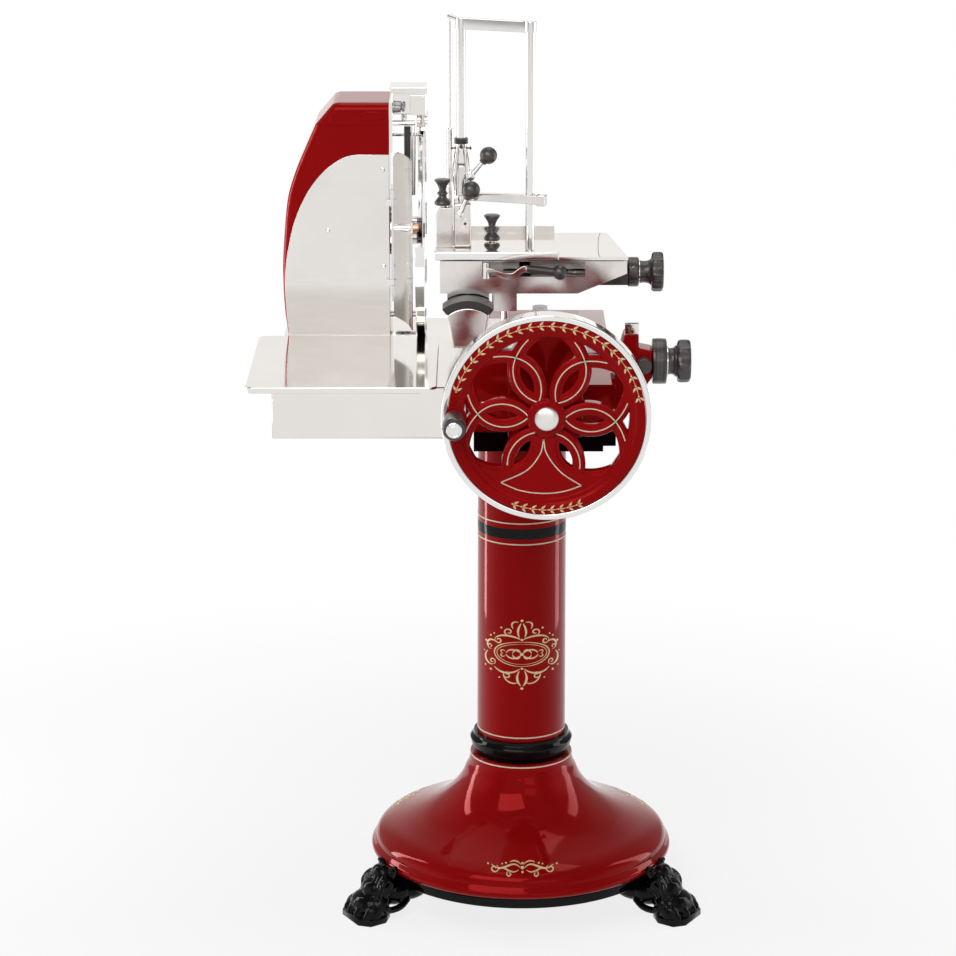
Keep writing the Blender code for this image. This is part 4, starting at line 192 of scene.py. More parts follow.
def lathe(profile, axis, centre, steps=None, lobes=0):
    """Turned piece. The profile holds radius, place along the axis and, if lobed, a dip share."""
    shape = bmesh.new()
    along, first, second = AXES[axis]
    steps = steps or sizes().small_steps
    base = Vector(centre)
    rings = []
    for entry in profile:
        radius, height = entry[0], entry[1]
        dip = entry[2] if len(entry) > 2 else 0.0
        point = base + along * (height - base.dot(along))
        if radius < 1e-6:
            rings.append([shape.verts.new(point)])
            continue
        ring = []
        for number in range(steps):
            angle = math.tau * number / steps
            wave = 0.5 - 0.5 * math.cos(lobes * angle)
            reach = radius * (1.0 - dip * wave ** 0.7)
            ring.append(shape.verts.new(point + reach * (math.cos(angle) * first + math.sin(angle) * second)))
        rings.append(ring)
    pairs = list(zip(rings, rings[1:]))
    if len(rings[0]) > 1 and len(rings[-1]) > 1:
        pairs.append((rings[-1], rings[0]))
    for low, high in pairs:
        bridge(shape, low, high)
    bmesh.ops.recalc_face_normals(shape, faces=shape.faces)
    return shape


def evaluated(thing):
    """Mesh of an object with its modifiers applied, as a bmesh; the object is removed."""
    bpy.context.view_layer.update()
    graph = bpy.context.evaluated_depsgraph_get()
    mesh = bpy.data.meshes.new_from_object(thing.evaluated_get(graph))
    shape = bmesh.new()
    shape.from_mesh(mesh)
    bpy.data.meshes.remove(mesh)
    bpy.data.objects.remove(thing, do_unlink=True)
    return shape


def loose(shape, name="blank"):
    """Object that holds a shape while tools work on it."""
    mesh = bpy.data.meshes.new(name)
    shape.to_mesh(mesh)
    shape.free()
    thing = bpy.data.objects.new(name, mesh)
    bpy.context.scene.collection.objects.link(thing)
    return thing


def slab(outlines, axis, low, high, edge=0.0008, steps=2):
    """Plate with rounded edges. The first outline is its border, the others are holes."""
    sheet = bpy.data.curves.new("sheet", "CURVE")
    sheet.dimensions = "2D"
    sheet.fill_mode = "BOTH"
    for outline in outlines:
        spline = sheet.splines.new("POLY")
        spline.points.add(len(outline) - 1)
        for spot, point in zip(spline.points, outline):
            spot.co = (point[0], point[1], 0, 1)
        spline.use_cyclic_u = True
    edge = min(edge, (high - low) / 2 * 0.9)
    sheet.extrude = (high - low) / 2 - edge
    if edge:
        sheet.bevel_depth = edge
        sheet.bevel_resolution = steps
        sheet.offset = -edge
    thing = bpy.data.objects.new("sheet", sheet)
    bpy.context.scene.collection.objects.link(thing)
    shape = evaluated(thing)
    bpy.data.curves.remove(sheet)
    half = (low + high) / 2
    turn = {"X": Matrix(((0, 0, 1, half), (1, 0, 0, 0), (0, 1, 0, 0), (0, 0, 0, 1))),
            "Y": Matrix(((1, 0, 0, 0), (0, 0, -1, half), (0, 1, 0, 0), (0, 0, 0, 1))),
            "Z": Matrix.Translation((0, 0, half))}[axis]
    shape.transform(turn)
    bmesh.ops.remove_doubles(shape, verts=shape.verts, dist=1e-6)
    bmesh.ops.recalc_face_normals(shape, faces=shape.faces)
    return shape


def chamfered(low, high, edge=0.0006, steps=2):
    """Rectangular block with rounded edges."""
    shape = bmesh.new()
    bmesh.ops.create_cube(shape, size=1.0)
    low, high = Vector(low), Vector(high)
    shape.transform(Matrix.Translation((low + high) / 2) @ Matrix.Diagonal((*(high - low), 1.0)))
    bmesh.ops.bevel(shape, geom=shape.edges[:], offset=edge, segments=steps, profile=0.5, affect="EDGES")
    return shape


def tube(path, radius, steps=12, closed=False):
    """Round bar along a path. The radius may be one value or one for each point."""
    points = [Vector(point) for point in path]
    total = len(points)
    radii = radius if isinstance(radius, (list, tuple)) else [radius] * total
    shape = bmesh.new()
    rings = []
    normal = None
    for number, point in enumerate(points):
        before = points[number - 1] if number or closed else point
        after = points[(number + 1) % total] if number < total - 1 or closed else point
        along = (after - before).normalized()
        if normal is None:
            normal = along.orthogonal().normalized()
        normal = (normal - along * normal.dot(along)).normalized()
        side = along.cross(normal)
        angles = [math.tau * step / steps for step in range(steps)]
        rings.append([shape.verts.new(point + radii[number] * (math.cos(a) * normal + math.sin(a) * side))
                      for a in angles])
    for low, high in zip(rings, rings[1:]):
        bridge(shape, low, high)
    if closed:
        best = min(range(steps), key=lambda k: (rings[-1][0].co - rings[0][k].co).length)
        bridge(shape, rings[-1], rings[0][best:] + rings[0][:best])
    else:
        shape.faces.new(rings[0])
        shape.faces.new(rings[-1])
    bmesh.ops.recalc_face_normals(shape, faces=shape.faces)
    return shape


def ball(centre, radius, steps=40):
    """Turned round knob."""
    profile = [(max(across, 0.0), centre[2] + up)
               for across, up in arc((0, 0), radius, -90, 90, steps // 2)]
    profile[0], profile[-1] = (0, centre[2] - radius), (0, centre[2] + radius)
    return lathe(profile, "Z", centre, steps)


def stripe(points, normals, width, height, closed=False):
    """Painted line that follows a surface: a low ribbon with sloping sides."""
    shape = bmesh.new()
    total = len(points)
    rings = []
    for number, (point, normal) in enumerate(zip(points, normals)):
        before = points[number - 1] if number or closed else point
        after = points[(number + 1) % total] if number < total - 1 or closed else point
        side = (after - before).cross(normal).normalized() * width / 2
        out, sink = normal * height, normal * -2 * height
        corners = (point - side + sink, point - side * 0.85 + out, point + side * 0.85 + out,
                   point + side + sink)
        rings.append([shape.verts.new(corner) for corner in corners])
    for low, high in zip(rings, rings[1:]):
        bridge(shape, low, high)
    if closed:
        bridge(shape, rings[-1], rings[0])
    else:
        shape.faces.new(rings[0])
        shape.faces.new(rings[-1])
    bmesh.ops.recalc_face_normals(shape, faces=shape.faces)
    return shape


def cut(shape, *tools):
    """Takes the tools away from a shape."""
    thing = loose(shape)
    helpers = []
    for tool in tools:
        helper = loose(tool, "tool")
        helpers.append(helper)
        step = thing.modifiers.new("cut", "BOOLEAN")
        step.operation = "DIFFERENCE"
        step.solver = "EXACT"
        step.object = helper
    result = evaluated(thing)
    for helper in helpers:
        bpy.data.objects.remove(helper, do_unlink=True)
    return result


def refined(node, edge, steps=2, angle=28.0):
    """Finer copy of a frame solid: flat faces made whole and every sharp edge rounded."""
    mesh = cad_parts[node].data.copy()
    mesh.transform(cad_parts[node].matrix_world)
    mesh.transform(Matrix.Translation(-ORIGIN))
    shape = bmesh.new()
    shape.from_mesh(mesh)
    bpy.data.meshes.remove(mesh)
    bmesh.ops.remove_doubles(shape, verts=shape.verts, dist=2e-5)
    thing = loose(shape, node)
    flat = thing.modifiers.new("flat", "DECIMATE")
    flat.decimate_type = "DISSOLVE"
    flat.angle_limit = math.radians(1.5)
    ease = thing.modifiers.new("ease", "BEVEL")
    ease.width = edge
    ease.segments = steps
    ease.limit_method = "ANGLE"
    ease.angle_limit = math.radians(angle)
    ease.use_clamp_overlap = True
    return evaluated(thing)


def parted(shape, wanted):
    """Splits a shape in two: the faces that the test doesn't want, and those it does."""
    other = shape.copy()
    bmesh.ops.delete(shape, geom=[face for face in shape.faces if wanted(face)], context="FACES")
    bmesh.ops.delete(other, geom=[face for face in other.faces if not wanted(face)], context="FACES")
    return shape, other


def sliced(shape, point, normal):
    """Cuts off what lies beyond a plane and closes the cut."""
    geometry = shape.verts[:] + shape.edges[:] + shape.faces[:]
    result = bmesh.ops.bisect_plane(shape, geom=geometry, plane_co=point, plane_no=normal, clear_outer=True)
    edges = [part for part in result["geom_cut"] if isinstance(part, bmesh.types.BMEdge)]
    bmesh.ops.triangle_fill(shape, edges=edges, use_beauty=True)
    bmesh.ops.recalc_face_normals(shape, faces=shape.faces)
    return shape


def screw(at, axis, out, radius=None, slot=30.0):
    """Round slotted screw head. It stands on a face, towards the out side of the axis."""
    radius = radius or sizes().screw
    height = radius * 0.45
    along, first, second = AXES[axis]
    base = Vector(at)
    start = base.dot(along)
    shares = ((0, -0.3), (1, -0.3), (1, 0.35), (0.82, 0.8), (0.4, 1), (0, 1))
    head = lathe([(radius * across, start + out * height * up) for across, up in shares], axis, base, 24)
    t = math.radians(slot)
    run = (math.cos(t) * first + math.sin(t) * second) * radius
    groove = (-math.sin(t) * first + math.cos(t) * second) * radius * 0.12
    tool = bmesh.new()
    corners = []
    for level in (start + out * height * 0.5, start + out * height * 1.4):
        centre = base + along * (level - start)
        corners.append([tool.verts.new(centre + a * run * 1.1 + b * groove)
                        for a, b in ((-1, -1), (1, -1), (1, 1), (-1, 1))])
    bridge(tool, *corners)
    tool.faces.new(corners[0])
    tool.faces.new(corners[1])
    bmesh.ops.recalc_face_normals(tool, faces=tool.faces)
    return cut(head, tool)


def piece(name, body, parts, replaces=(), sharp=40.0, weighted=True):
    """One finished object: joins shapes with their materials and hands it to its body."""
    joined = bmesh.new()
    mesh = bpy.data.meshes.new(name)
    for shape, surface in parts:
        if surface.name not in mesh.materials:
            mesh.materials.append(surface)
        index = mesh.materials.find(surface.name)
        for face in shape.faces:
            face.material_index = index
        part = bpy.data.meshes.new("part")
        shape.to_mesh(part)
        shape.free()
        joined.from_mesh(part)
        bpy.data.meshes.remove(part)
    joined.transform(Matrix.Translation(ORIGIN))
    joined.to_mesh(mesh)
    joined.free()
    thing = bpy.data.objects.new(name, mesh)
    bpy.context.scene.collection.objects.link(thing)
    mesh.shade_smooth()
    mesh.set_sharp_from_angle(angle=math.radians(sharp))
    if weighted:
        level = thing.modifiers.new("level", "WEIGHTED_NORMAL")
        level.keep_sharp = True
    bpy.context.view_layer.update()
    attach(thing, body)
    if replaces:
        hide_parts(*replaces)
    return thing


# Shader groups and materials

def add(tree, kind, inputs=None, **settings):
    """New shader node. An input given as a socket is linked, any other value is set."""
    node = tree.nodes.new(f"ShaderNode{kind}")
    for key, value in settings.items():
        setattr(node, key, value)
    for key, value in (inputs or {}).items():
        if isinstance(value, bpy.types.NodeSocket):
            tree.links.new(value, node.inputs[key])
        else:
            node.inputs[key].default_value = value
    return node


def new_group(name, inputs, outputs):
    """Empty shader group with named sockets."""
    tree = bpy.data.node_groups.new(name, "ShaderNodeTree")
    for label, kind, value in inputs:
        socket = tree.interface.new_socket(label, in_out="INPUT", socket_type=kind)
        socket.default_value = value
    for label, kind in outputs:
        tree.interface.new_socket(label, in_out="OUTPUT", socket_type=kind)
    return tree, tree.nodes.new("NodeGroupInput"), tree.nodes.new("NodeGroupOutput")


def stretched_noise(tree, entry, detail, stretched=True):
    """Noise on the object's own coordinates, drawn out along an axis where asked."""
    source = add(tree, "TexCoord").outputs["Object"]
    if stretched:
        scale = add(tree, "VectorMath", {0: source, 1: entry.outputs["Stretch"]}, operation="MULTIPLY")
        source = scale.outputs["Vector"]
    noise = add(tree, "TexNoise", {"Detail": detail, "Scale": entry.outputs["Scale"], "Vector": source})
    return noise.outputs["Fac"]


def tone_group():
    """Slow change of colour over a painted or plated surface."""
    tree, entry, leave = new_group(
        "Tone", (("Colour", "NodeSocketColor", (1, 1, 1, 1)), ("Shade", "NodeSocketColor", (0, 0, 0, 1)),
                 ("Scale", "NodeSocketFloat", 9.0)), (("Colour", "NodeSocketColor"),))
    spread = add(tree, "MapRange", {"Value": stretched_noise(tree, entry, 3.0, False),
                                    "From Min": 0.32, "From Max": 0.68})
    blend = add(tree, "Mix", {"Factor": spread.outputs["Result"], "A": entry.outputs["Colour"],
                              "B": entry.outputs["Shade"]}, data_type="RGBA")
    tree.links.new(blend.outputs["Result"], leave.inputs["Colour"])


def marks_group():
    """Roughness that wanders between two values, as wiped metal and handled paint do."""
    tree, entry, leave = new_group(
        "Handling marks", (("Low", "NodeSocketFloat", 0.1), ("High", "NodeSocketFloat", 0.2),
                           ("Scale", "NodeSocketFloat", 14.0), ("Stretch", "NodeSocketVector", (1, 1, 1))),
        (("Roughness", "NodeSocketFloat"),))
    spread = add(tree, "MapRange", {"Value": stretched_noise(tree, entry, 6.0), "From Min": 0.35,
                                    "From Max": 0.70,
                                    "To Min": entry.outputs["Low"], "To Max": entry.outputs["High"]})
    tree.links.new(spread.outputs["Result"], leave.inputs["Roughness"])


def grain_group():
    """Fine relief: brushed lines where stretched, enamel's orange peel or cast grain where not."""
    tree, entry, leave = new_group(
        "Surface grain", (("Scale", "NodeSocketFloat", 400.0), ("Stretch", "NodeSocketVector", (1, 1, 1)),
                          ("Pits", "NodeSocketFloat", 0.0)), (("Height", "NodeSocketFloat"),))
    cells = add(tree, "TexVoronoi", {"Vector": add(tree, "TexCoord").outputs["Object"],
                                     "Scale": entry.outputs["Scale"]})
    pits = add(tree, "Math", {0: cells.outputs["Distance"], 1: entry.outputs["Pits"]}, operation="MULTIPLY")
    total = add(tree, "Math", {0: stretched_noise(tree, entry, 2.0), 1: pits.outputs["Value"]},
                operation="ADD")
    tree.links.new(total.outputs["Value"], leave.inputs["Height"])


def use_group(tree, group, **values):
    node = tree.nodes.new("ShaderNodeGroup")
    node.node_tree = group
    for label, value in values.items():
        node.inputs[label].default_value = value
    return node


def finish(name, colour, shade, roughness, metallic=0.0, coat=0.0, grain=(300.0, 0.02), stretch=(1, 1, 1),
           pits=0.0, tone=9.0, marks=14.0, gloss=0.5, tinge=(1, 1, 1)):
    """Material with slow colour change, wandering roughness and fine relief."""
    surface = bpy.data.materials.new(f"finish_{name}")
    surface.use_nodes = True
    tree = surface.node_tree
    shader = tree.nodes["Principled BSDF"]
    shader.inputs["Metallic"].default_value = metallic
    shader.inputs["Coat Weight"].default_value = coat
    shader.inputs["Coat Roughness"].default_value = 0.03
    shader.inputs["Specular Tint"].default_value = (*tinge, 1)
    shader.inputs["Specular IOR Level"].default_value = gloss
    groups = bpy.data.node_groups
    paint = use_group(tree, groups["Tone"], Colour=(*colour, 1), Shade=(*shade, 1), Scale=tone)
    wear = use_group(tree, groups["Handling marks"], Low=roughness[0], High=roughness[1], Scale=marks,
                     Stretch=stretch)
    relief = use_group(tree, groups["Surface grain"], Scale=grain[0], Stretch=stretch, Pits=pits)
    bump = tree.nodes.new("ShaderNodeBump")
    bump.inputs["Strength"].default_value = grain[1]
    bump.inputs["Distance"].default_value = 0.001
    tree.links.new(paint.outputs["Colour"], shader.inputs["Base Color"])
    tree.links.new(wear.outputs["Roughness"], shader.inputs["Roughness"])
    tree.links.new(relief.outputs["Height"], bump.inputs["Height"])
    tree.links.new(bump.outputs["Normal"], shader.inputs["Normal"])
    return surface


def darker(colour, share):
    return tuple(value * share for value in colour)


def make_finishes():
    """Makes every material."""
    tone_group()
    marks_group()
    grain_group()
    c = colours()
    finish("red_enamel", c.red, darker(c.red, 0.88), (0.045, 0.085), grain=(200.0, 0.010), tone=6.0,
           tinge=(1.0, 0.07, 0.07))
    finish("black_enamel", c.black, darker(c.black, 1.8), (0.06, 0.12), grain=(240.0, 0.03), tone=12.0,
           gloss=0.14)
    finish("cream_paint", c.cream, darker(c.cream, 0.86), (0.30, 0.42), grain=(700.0, 0.05), tone=60.0)
    finish("gold_leaf", c.gold, darker(c.gold, 0.80), (0.28, 0.44), metallic=0.15, grain=(900.0, 0.06),
           tone=90.0)
    finish("chrome", c.chrome, darker(c.chrome, 0.95), (0.04, 0.08), metallic=1.0, grain=(60.0, 0.003),
           tone=16.0)
    finish("cap_silver", (0.80, 0.78, 0.75), (0.74, 0.72, 0.69), (0.34, 0.42), metallic=1.0,
           grain=(300.0, 0.02),
           tone=30.0)
    finish("blade_steel", c.chrome, darker(c.chrome, 0.92), (0.08, 0.15), metallic=1.0, grain=(900.0, 0.02),
           tone=24.0)
    finish("brushed_wall", c.steel, darker(c.steel, 0.93), (0.10, 0.17), metallic=1.0, grain=(40.0, 0.006),
           stretch=(1.0, 1.0, 16.0), tone=7.0, marks=16.0)
    finish("brushed_sheet", c.steel, darker(c.steel, 0.95), (0.06, 0.12), metallic=1.0, grain=(36.0, 0.004),
           stretch=(16.0, 1.0, 16.0), tone=6.0, marks=14.0)
    finish("cast_aluminium", c.cast, darker(c.cast, 0.90), (0.12, 0.22), metallic=1.0, grain=(180.0, 0.015),
           pits=0.4, tone=20.0, marks=26.0)
    finish("bright_rod", c.chrome, darker(c.chrome, 0.96), (0.06, 0.11), metallic=1.0, grain=(60.0, 0.004),
           stretch=(20.0, 20.0, 1.0), tone=20.0)
    finish("bakelite", c.bakelite, darker(c.bakelite, 1.5), (0.28, 0.40), grain=(420.0, 0.05), pits=0.6,
           tone=40.0,
           marks=40.0, coat=0.3)
    finish("gear_steel", c.iron, darker(c.iron, 0.75), (0.24, 0.38), metallic=1.0, grain=(320.0, 0.06),
           pits=0.3,
           tone=40.0, marks=40.0)
    finish("dark_pad", (0.030, 0.026, 0.025), (0.05, 0.043, 0.042), (0.30, 0.5), grain=(300.0, 0.08),
           pits=0.5,
           tone=40.0)
    finish("copper_nut", c.copper, darker(c.copper, 0.78), (0.18, 0.30), metallic=1.0, grain=(300.0, 0.03),
           tone=40.0)
    finish("white_dot", (0.85, 0.84, 0.80), (0.75, 0.74, 0.70), (0.3, 0.4), grain=(500.0, 0.05), tone=60.0)


def look(name):
    return bpy.data.materials[f"finish_{name}"]


# Pedestal

def surface_rings(profile, marks, surface, width=None):
    """Painted lines round a turned piece at given heights on its outer profile."""
    parts = []
    width = width or sizes().line
    for height in marks:
        for low, high in zip(profile, profile[1:]):
            if min(low[1], high[1]) <= height <= max(low[1], high[1]) and low[1] != high[1]:
                share = (height - low[1]) / (high[1] - low[1])
                radius = low[0] + (high[0] - low[0]) * share
                along = Vector((high[0] - low[0], high[1] - low[1])).normalized()
                break
        out = Vector((abs(along.y), 0)) + Vector((0, abs(along.x)))
        centre, half = Vector((radius, height)), along * width / 2
        rise, sink = out * sizes().line_proud, out * -0.001
        line = [centre - half + sink, centre - half * 0.8 + rise, centre + half * 0.8 + rise,
                centre + half + sink]
        parts.append((lathe([tuple(p) for p in line], "Z", (0, 0, 0), sizes().round_steps), surface))
    return parts


def bell_profile():
    low, high = span("pedestal_bell")
    rim, foot, top = high.x, low.z, high.z
    lip = sizes().rim_lip
    neck = rim - 0.185
    curve = [(neck, top), (neck + 0.003, top - 0.0182), (neck + 0.0087, top - 0.0303),
             (neck + 0.017, top - 0.049), (neck + 0.0324, top - 0.0707), (neck + 0.0555, top - 0.0923),
             (neck + 0.0842, top - 0.1104), (neck + 0.1175, top - 0.1256), (neck + 0.148, top - 0.1377),
             (rim - 0.0185, top - 0.1475), (rim - 0.0105, top - 0.1565),
             (rim - 0.0082, foot + lip + 0.0095)]
    outer = [tuple(point) for point in smooth_line(curve, 5)]
    crease = foot + lip + 0.0082
    outer += [(rim - 0.0085, crease), (rim - 0.0072, crease - 0.0012)]
    outer += arc((rim - lip * 0.55, foot + lip * 0.62), lip * 0.55, 58, -75, 12)
    return outer + [(rim - lip * 0.62, foot)]


def make_pedestal():
    """Bell, skirt, moulded ring and column, with their pinstripes, band and gold scrolls."""
    steps = sizes().round_steps
    red, black, cream, gold = (look(n) for n in ("red_enamel", "black_enamel", "cream_paint", "gold_leaf"))
    outer = bell_profile()
    low, high = span("pedestal_bell")
    inner = [(r - 0.008, z - 0.008) for r, z in reversed(outer[:-14:3])]
    neck = high.x - 0.209
    profile = outer + [(inner[0][0], low.z)] + inner + [(neck, high.z - 0.008), (neck, high.z)]
    parts = [(lathe(profile, "Z", (0, 0, 0), steps), red)]
    parts += surface_rings(outer, (high.z - 0.0036,), cream)
    for turn in (270, 30, 150):
        parts.append((bell_flourish(outer, turn), gold))
    piece("bell", "machine", parts, ["pedestal_bell"])

    low, high = span("base_skirt")
    edge = fillet([(high.x - 0.043, low.z), (high.x, low.z), (high.x, high.z), (high.x - 0.043, high.z)],
                  0.004, 5, closed=True)
    piece("skirt", "machine", [(lathe(edge, "Z", (0, 0, 0), steps), black)], ["base_skirt"])

    low, high = span("column_foot_ring")
    bore, out = high.x - 0.0127, high.x
    ring = [(bore, low.z)] + fillet([(out - 0.0088, low.z), (out - 0.0082, low.z + 0.0030),
                                     (out - 0.0030, low.z + 0.0150), (out - 0.0004, low.z + 0.0255),
                                     (out, low.z + 0.0275), (out - 0.0012, low.z + 0.0292),
                                     (out - 0.0062, low.z + 0.0345), (out - 0.0068, high.z - 0.0040),
                                     (out - 0.0072, high.z)], 0.0011, 4)
    ring += [(bore, high.z)]
    piece("foot_ring", "machine", [(lathe(ring, "Z", (0, 0, 0), steps), black)], ["column_foot_ring"])

    low, high = span("pedestal_column")
    foot, flange = high.x - 0.005, high.x
    outer = [(foot, low.z), (foot - 0.0015, high.z - 0.026)]
    profile = outer + arc((flange + 0.0035, high.z - 0.024), 0.0115, 188, 118, 6)
    profile += fillet([(flange - 0.0005, high.z - 0.012), (flange, high.z - 0.011), (flange, high.z),
                       (foot - 0.0075, high.z)], 0.0012, 3)
    profile += [(foot - 0.0075, low.z)]
    parts = [(lathe(profile, "Z", (0, 0, 0), steps), red)]
    parts += surface_rings(outer, (0.317, 0.6865, 0.7257), cream)
    parts += surface_rings(outer, (0.7058,), black, 0.0226)
    parts.append((column_scrolls(foot), gold))
    piece("column", "machine", parts, ["pedestal_column"])


def spiral(centre, radius, start, turns, inner=0.28, steps=22, mirror=1):
    """Scroll that winds in towards its centre, as (across, up) points."""
    points = []
    for step in range(steps + 1):
        share = step / steps
        reach = radius * (1 - (1 - inner) * share)
        angle = math.radians(start) + mirror * math.tau * turns * share
        points.append((centre[0] + reach * math.cos(angle), centre[1] + reach * math.sin(angle)))
    return points


def bezier(a, b, c, d, steps=14):
    points = []
    for step in range(steps + 1):
        t = step / steps
        points.append(tuple(Vector(a) * (1 - t) ** 3 + Vector(b) * 3 * t * (1 - t) ** 2
                            + Vector(c) * 3 * t * t * (1 - t) + Vector(d) * t ** 3))
    return points


def brush(points, widest):
    """Closed outline of a brush stroke that swells from a point and tapers off again."""
    total = len(points) - 1
    left, right = [], []
    for number, point in enumerate(points):
        before, after = Vector(points[max(number - 1, 0)]), Vector(points[min(number + 1, total)])
        along = (after - before).normalized()
        across = Vector((-along.y, along.x))
        half = widest / 2 * (0.16 + 0.84 * math.sin(math.pi * (number + 0.5) / (total + 1)) ** 0.8)
        left.append(tuple(Vector(point) + across * half))
        right.append(tuple(Vector(point) - across * half))
    return left + right[::-1]


def dot(centre, radius, steps=14):
    return arc(centre, radius, 0, 360 - 360 / steps, steps - 1)


def wrapped(outlines, place, depth=0.0004):
    """Thin leaf of gold on a curved surface. place turns (across, up) into a point and a normal."""
    shape = bmesh.new()
    for outline in outlines:
        low, high = [], []
        for point in outline:
            spot, normal = place(*point)
            low.append(shape.verts.new(spot - normal * depth * 2))
            high.append(shape.verts.new(spot + normal * depth))
        bridge(shape, low, high)
        half = len(outline) // 2
        for number in range(half - 1):
            far = len(outline) - 1 - number
            shape.faces.new((high[number], high[number + 1], high[far - 1], high[far]))
        if len(outline) % 2:
            shape.faces.new((high[half - 1], high[half], high[half + 1]))
    bmesh.ops.recalc_face_normals(shape, faces=shape.faces)
    return shape


def mirrored(outlines):
    return outlines + [[(-x, y) for x, y in reversed(outline)] for outline in outlines]


def column_scrolls(radius):
    """Gold cartouche: a ribbed oval between scrolls, leaves and a small crown of buds."""
    centre_z, wide, tall, bold = 0.4790, 1.34, 1.05, 1.22

    def place(across, up):
        angle = across * wide / (radius - 0.0008) - math.pi / 2
        normal = Vector((math.cos(angle), math.sin(angle), 0))
        return normal * (radius - 0.0007) + Vector((0, 0, centre_z + up * tall)), normal

    def stroke(points, widest):
        return brush(points, widest * bold)

    strokes = []
    oval = [(0.0400 * math.cos(t), 0.0222 * math.sin(t)) for t in
            (math.radians(90 + 6 * k) for k in range(31))]
    strokes.append(stroke(oval, 0.0017))
    inner = [(0.0358 * math.cos(t), 0.0184 * math.sin(t)) for t in
             (math.radians(90 + 6 * k) for k in range(31))]
    strokes.append(stroke(inner, 0.0010))
    strokes.append(stroke(bezier((-0.002, 0.027), (-0.012, 0.034), (-0.030, 0.036), (-0.038, 0.026)),
                          0.0026))
    strokes.append(stroke(spiral((-0.0335, 0.0225), 0.0062, 140, 1.15), 0.0018))
    strokes.append(stroke(bezier((-0.036, 0.019), (-0.050, 0.026), (-0.058, 0.012), (-0.050, 0.004)),
                          0.0028))
    strokes.append(stroke(spiral((-0.0475, 0.0085), 0.0052, -60, 1.1, mirror=-1), 0.0016))
    strokes.append(stroke(bezier((-0.052, -0.001), (-0.063, -0.010), (-0.056, -0.026), (-0.043, -0.024)),
                          0.0030))
    strokes.append(stroke(spiral((-0.0435, -0.0175), 0.0058, -90, 1.15), 0.0017))
    strokes.append(stroke(bezier((-0.040, -0.027), (-0.030, -0.038), (-0.014, -0.038), (-0.003, -0.027)),
                          0.0028))
    strokes.append(stroke(spiral((-0.0205, -0.0395), 0.0064, 70, 1.2), 0.0017))
    strokes.append(stroke(spiral((-0.0185, 0.0400), 0.0070, -60, 1.2, mirror=-1), 0.0019))
    strokes.append(stroke(bezier((-0.0035, 0.031), (-0.008, 0.040), (-0.004, 0.050), (-0.0015, 0.056)),
                          0.0024))
    strokes.append(stroke(bezier((-0.012, 0.046), (-0.017, 0.054), (-0.012, 0.061), (-0.005, 0.058)),
                          0.0020))
    strokes.append(stroke(bezier((-0.0035, -0.031), (-0.009, -0.042), (-0.006, -0.052), (-0.0015, -0.058)),
                          0.0026))
    strokes.append(stroke(bezier((-0.026, -0.041), (-0.022, -0.052), (-0.012, -0.056), (-0.006, -0.052)),
                          0.0020))
    for k, (x, y) in enumerate(((-0.0405, 0.0335), (-0.0465, 0.0285), (-0.0560, 0.0165), (-0.0600, -0.0030),
                                (-0.0575, -0.0285), (-0.0465, -0.0335), (-0.0320, -0.0450),
                                (-0.0290, 0.0460))):
        strokes.append(dot((x, y), 0.0014 + 0.0003 * (k % 3)))
    for reach in (0.010, 0.019):
        strokes.append(stroke(bezier((-0.002, 0.002), (-reach * 0.4, 0.010), (-reach, 0.010),
                                     (-reach - 0.003, 0.001)),
                             0.0022))
        strokes.append(stroke(bezier((-0.002, -0.002), (-reach * 0.4, -0.010), (-reach, -0.010),
                                    (-reach - 0.003, -0.001)), 0.0022))
    strokes.append(stroke(bezier((-0.023, 0.004), (-0.028, 0.009), (-0.033, 0.003), (-0.0265, 0.0)),
                          0.0016))
    strokes.append(stroke(bezier((-0.023, -0.004), (-0.028, -0.009), (-0.033, -0.003), (-0.0265, 0.0)),
                          0.0016))
    everything = mirrored(strokes)
    everything += [dot((0, 0), 0.0026), dot((0, 0.0610), 0.0021), dot((0, -0.0625), 0.0021),
                   dot((0, 0.0262), 0.0019), dot((0, -0.0262), 0.0019)]
    return wrapped(everything, place)


def bell_flourish(profile, turn):
    """Gold flourish on the bell's slope: two long scrolls that grow from a bud."""
    base = math.radians(turn)
    table = sorted((r, z) for r, z in profile[:-14])

    def place(across, up):
        radius = 0.2430 - up * 1.2
        across *= 1.12
        for (r0, z0), (r1, z1) in zip(table, table[1:]):
            if r0 <= radius <= r1:
                break
        share = (radius - r0) / max(r1 - r0, 1e-9)
        height = z0 + (z1 - z0) * share
        slope = Vector((z0 - z1, r1 - r0)).normalized()
        angle = base + across / radius
        outward = Vector((math.cos(angle), math.sin(angle), 0))
        normal = outward * slope.x + Vector((0, 0, slope.y))
        return outward * radius + Vector((0, 0, height)), normal

    strokes = [brush(bezier((-0.004, 0.000), (-0.018, 0.020), (-0.030, -0.016), (-0.050, 0.004)), 0.0036),
               brush(bezier((-0.006, -0.004), (-0.020, -0.018), (-0.030, 0.010), (-0.041, -0.008)), 0.0026),
               brush(spiral((-0.0455, -0.0035), 0.0075, 60, 1.15, mirror=-1), 0.0022),
               brush(spiral((-0.0215, -0.0115), 0.0048, 90, 1.1), 0.0018),
               brush(bezier((-0.002, 0.006), (-0.008, 0.015), (-0.016, 0.015), (-0.020, 0.010)), 0.0026),
               dot((-0.0265, 0.0085), 0.0017), dot((-0.0325, 0.0065), 0.0014),
               dot((-0.0560, 0.0050), 0.0018)]
    everything = mirrored(strokes) + [dot((0, 0.0), 0.0032), dot((0, 0.0085), 0.0022),
                                      dot((0, -0.0080), 0.0020)]
    return wrapped(everything, place, 0.0003)


# Feet

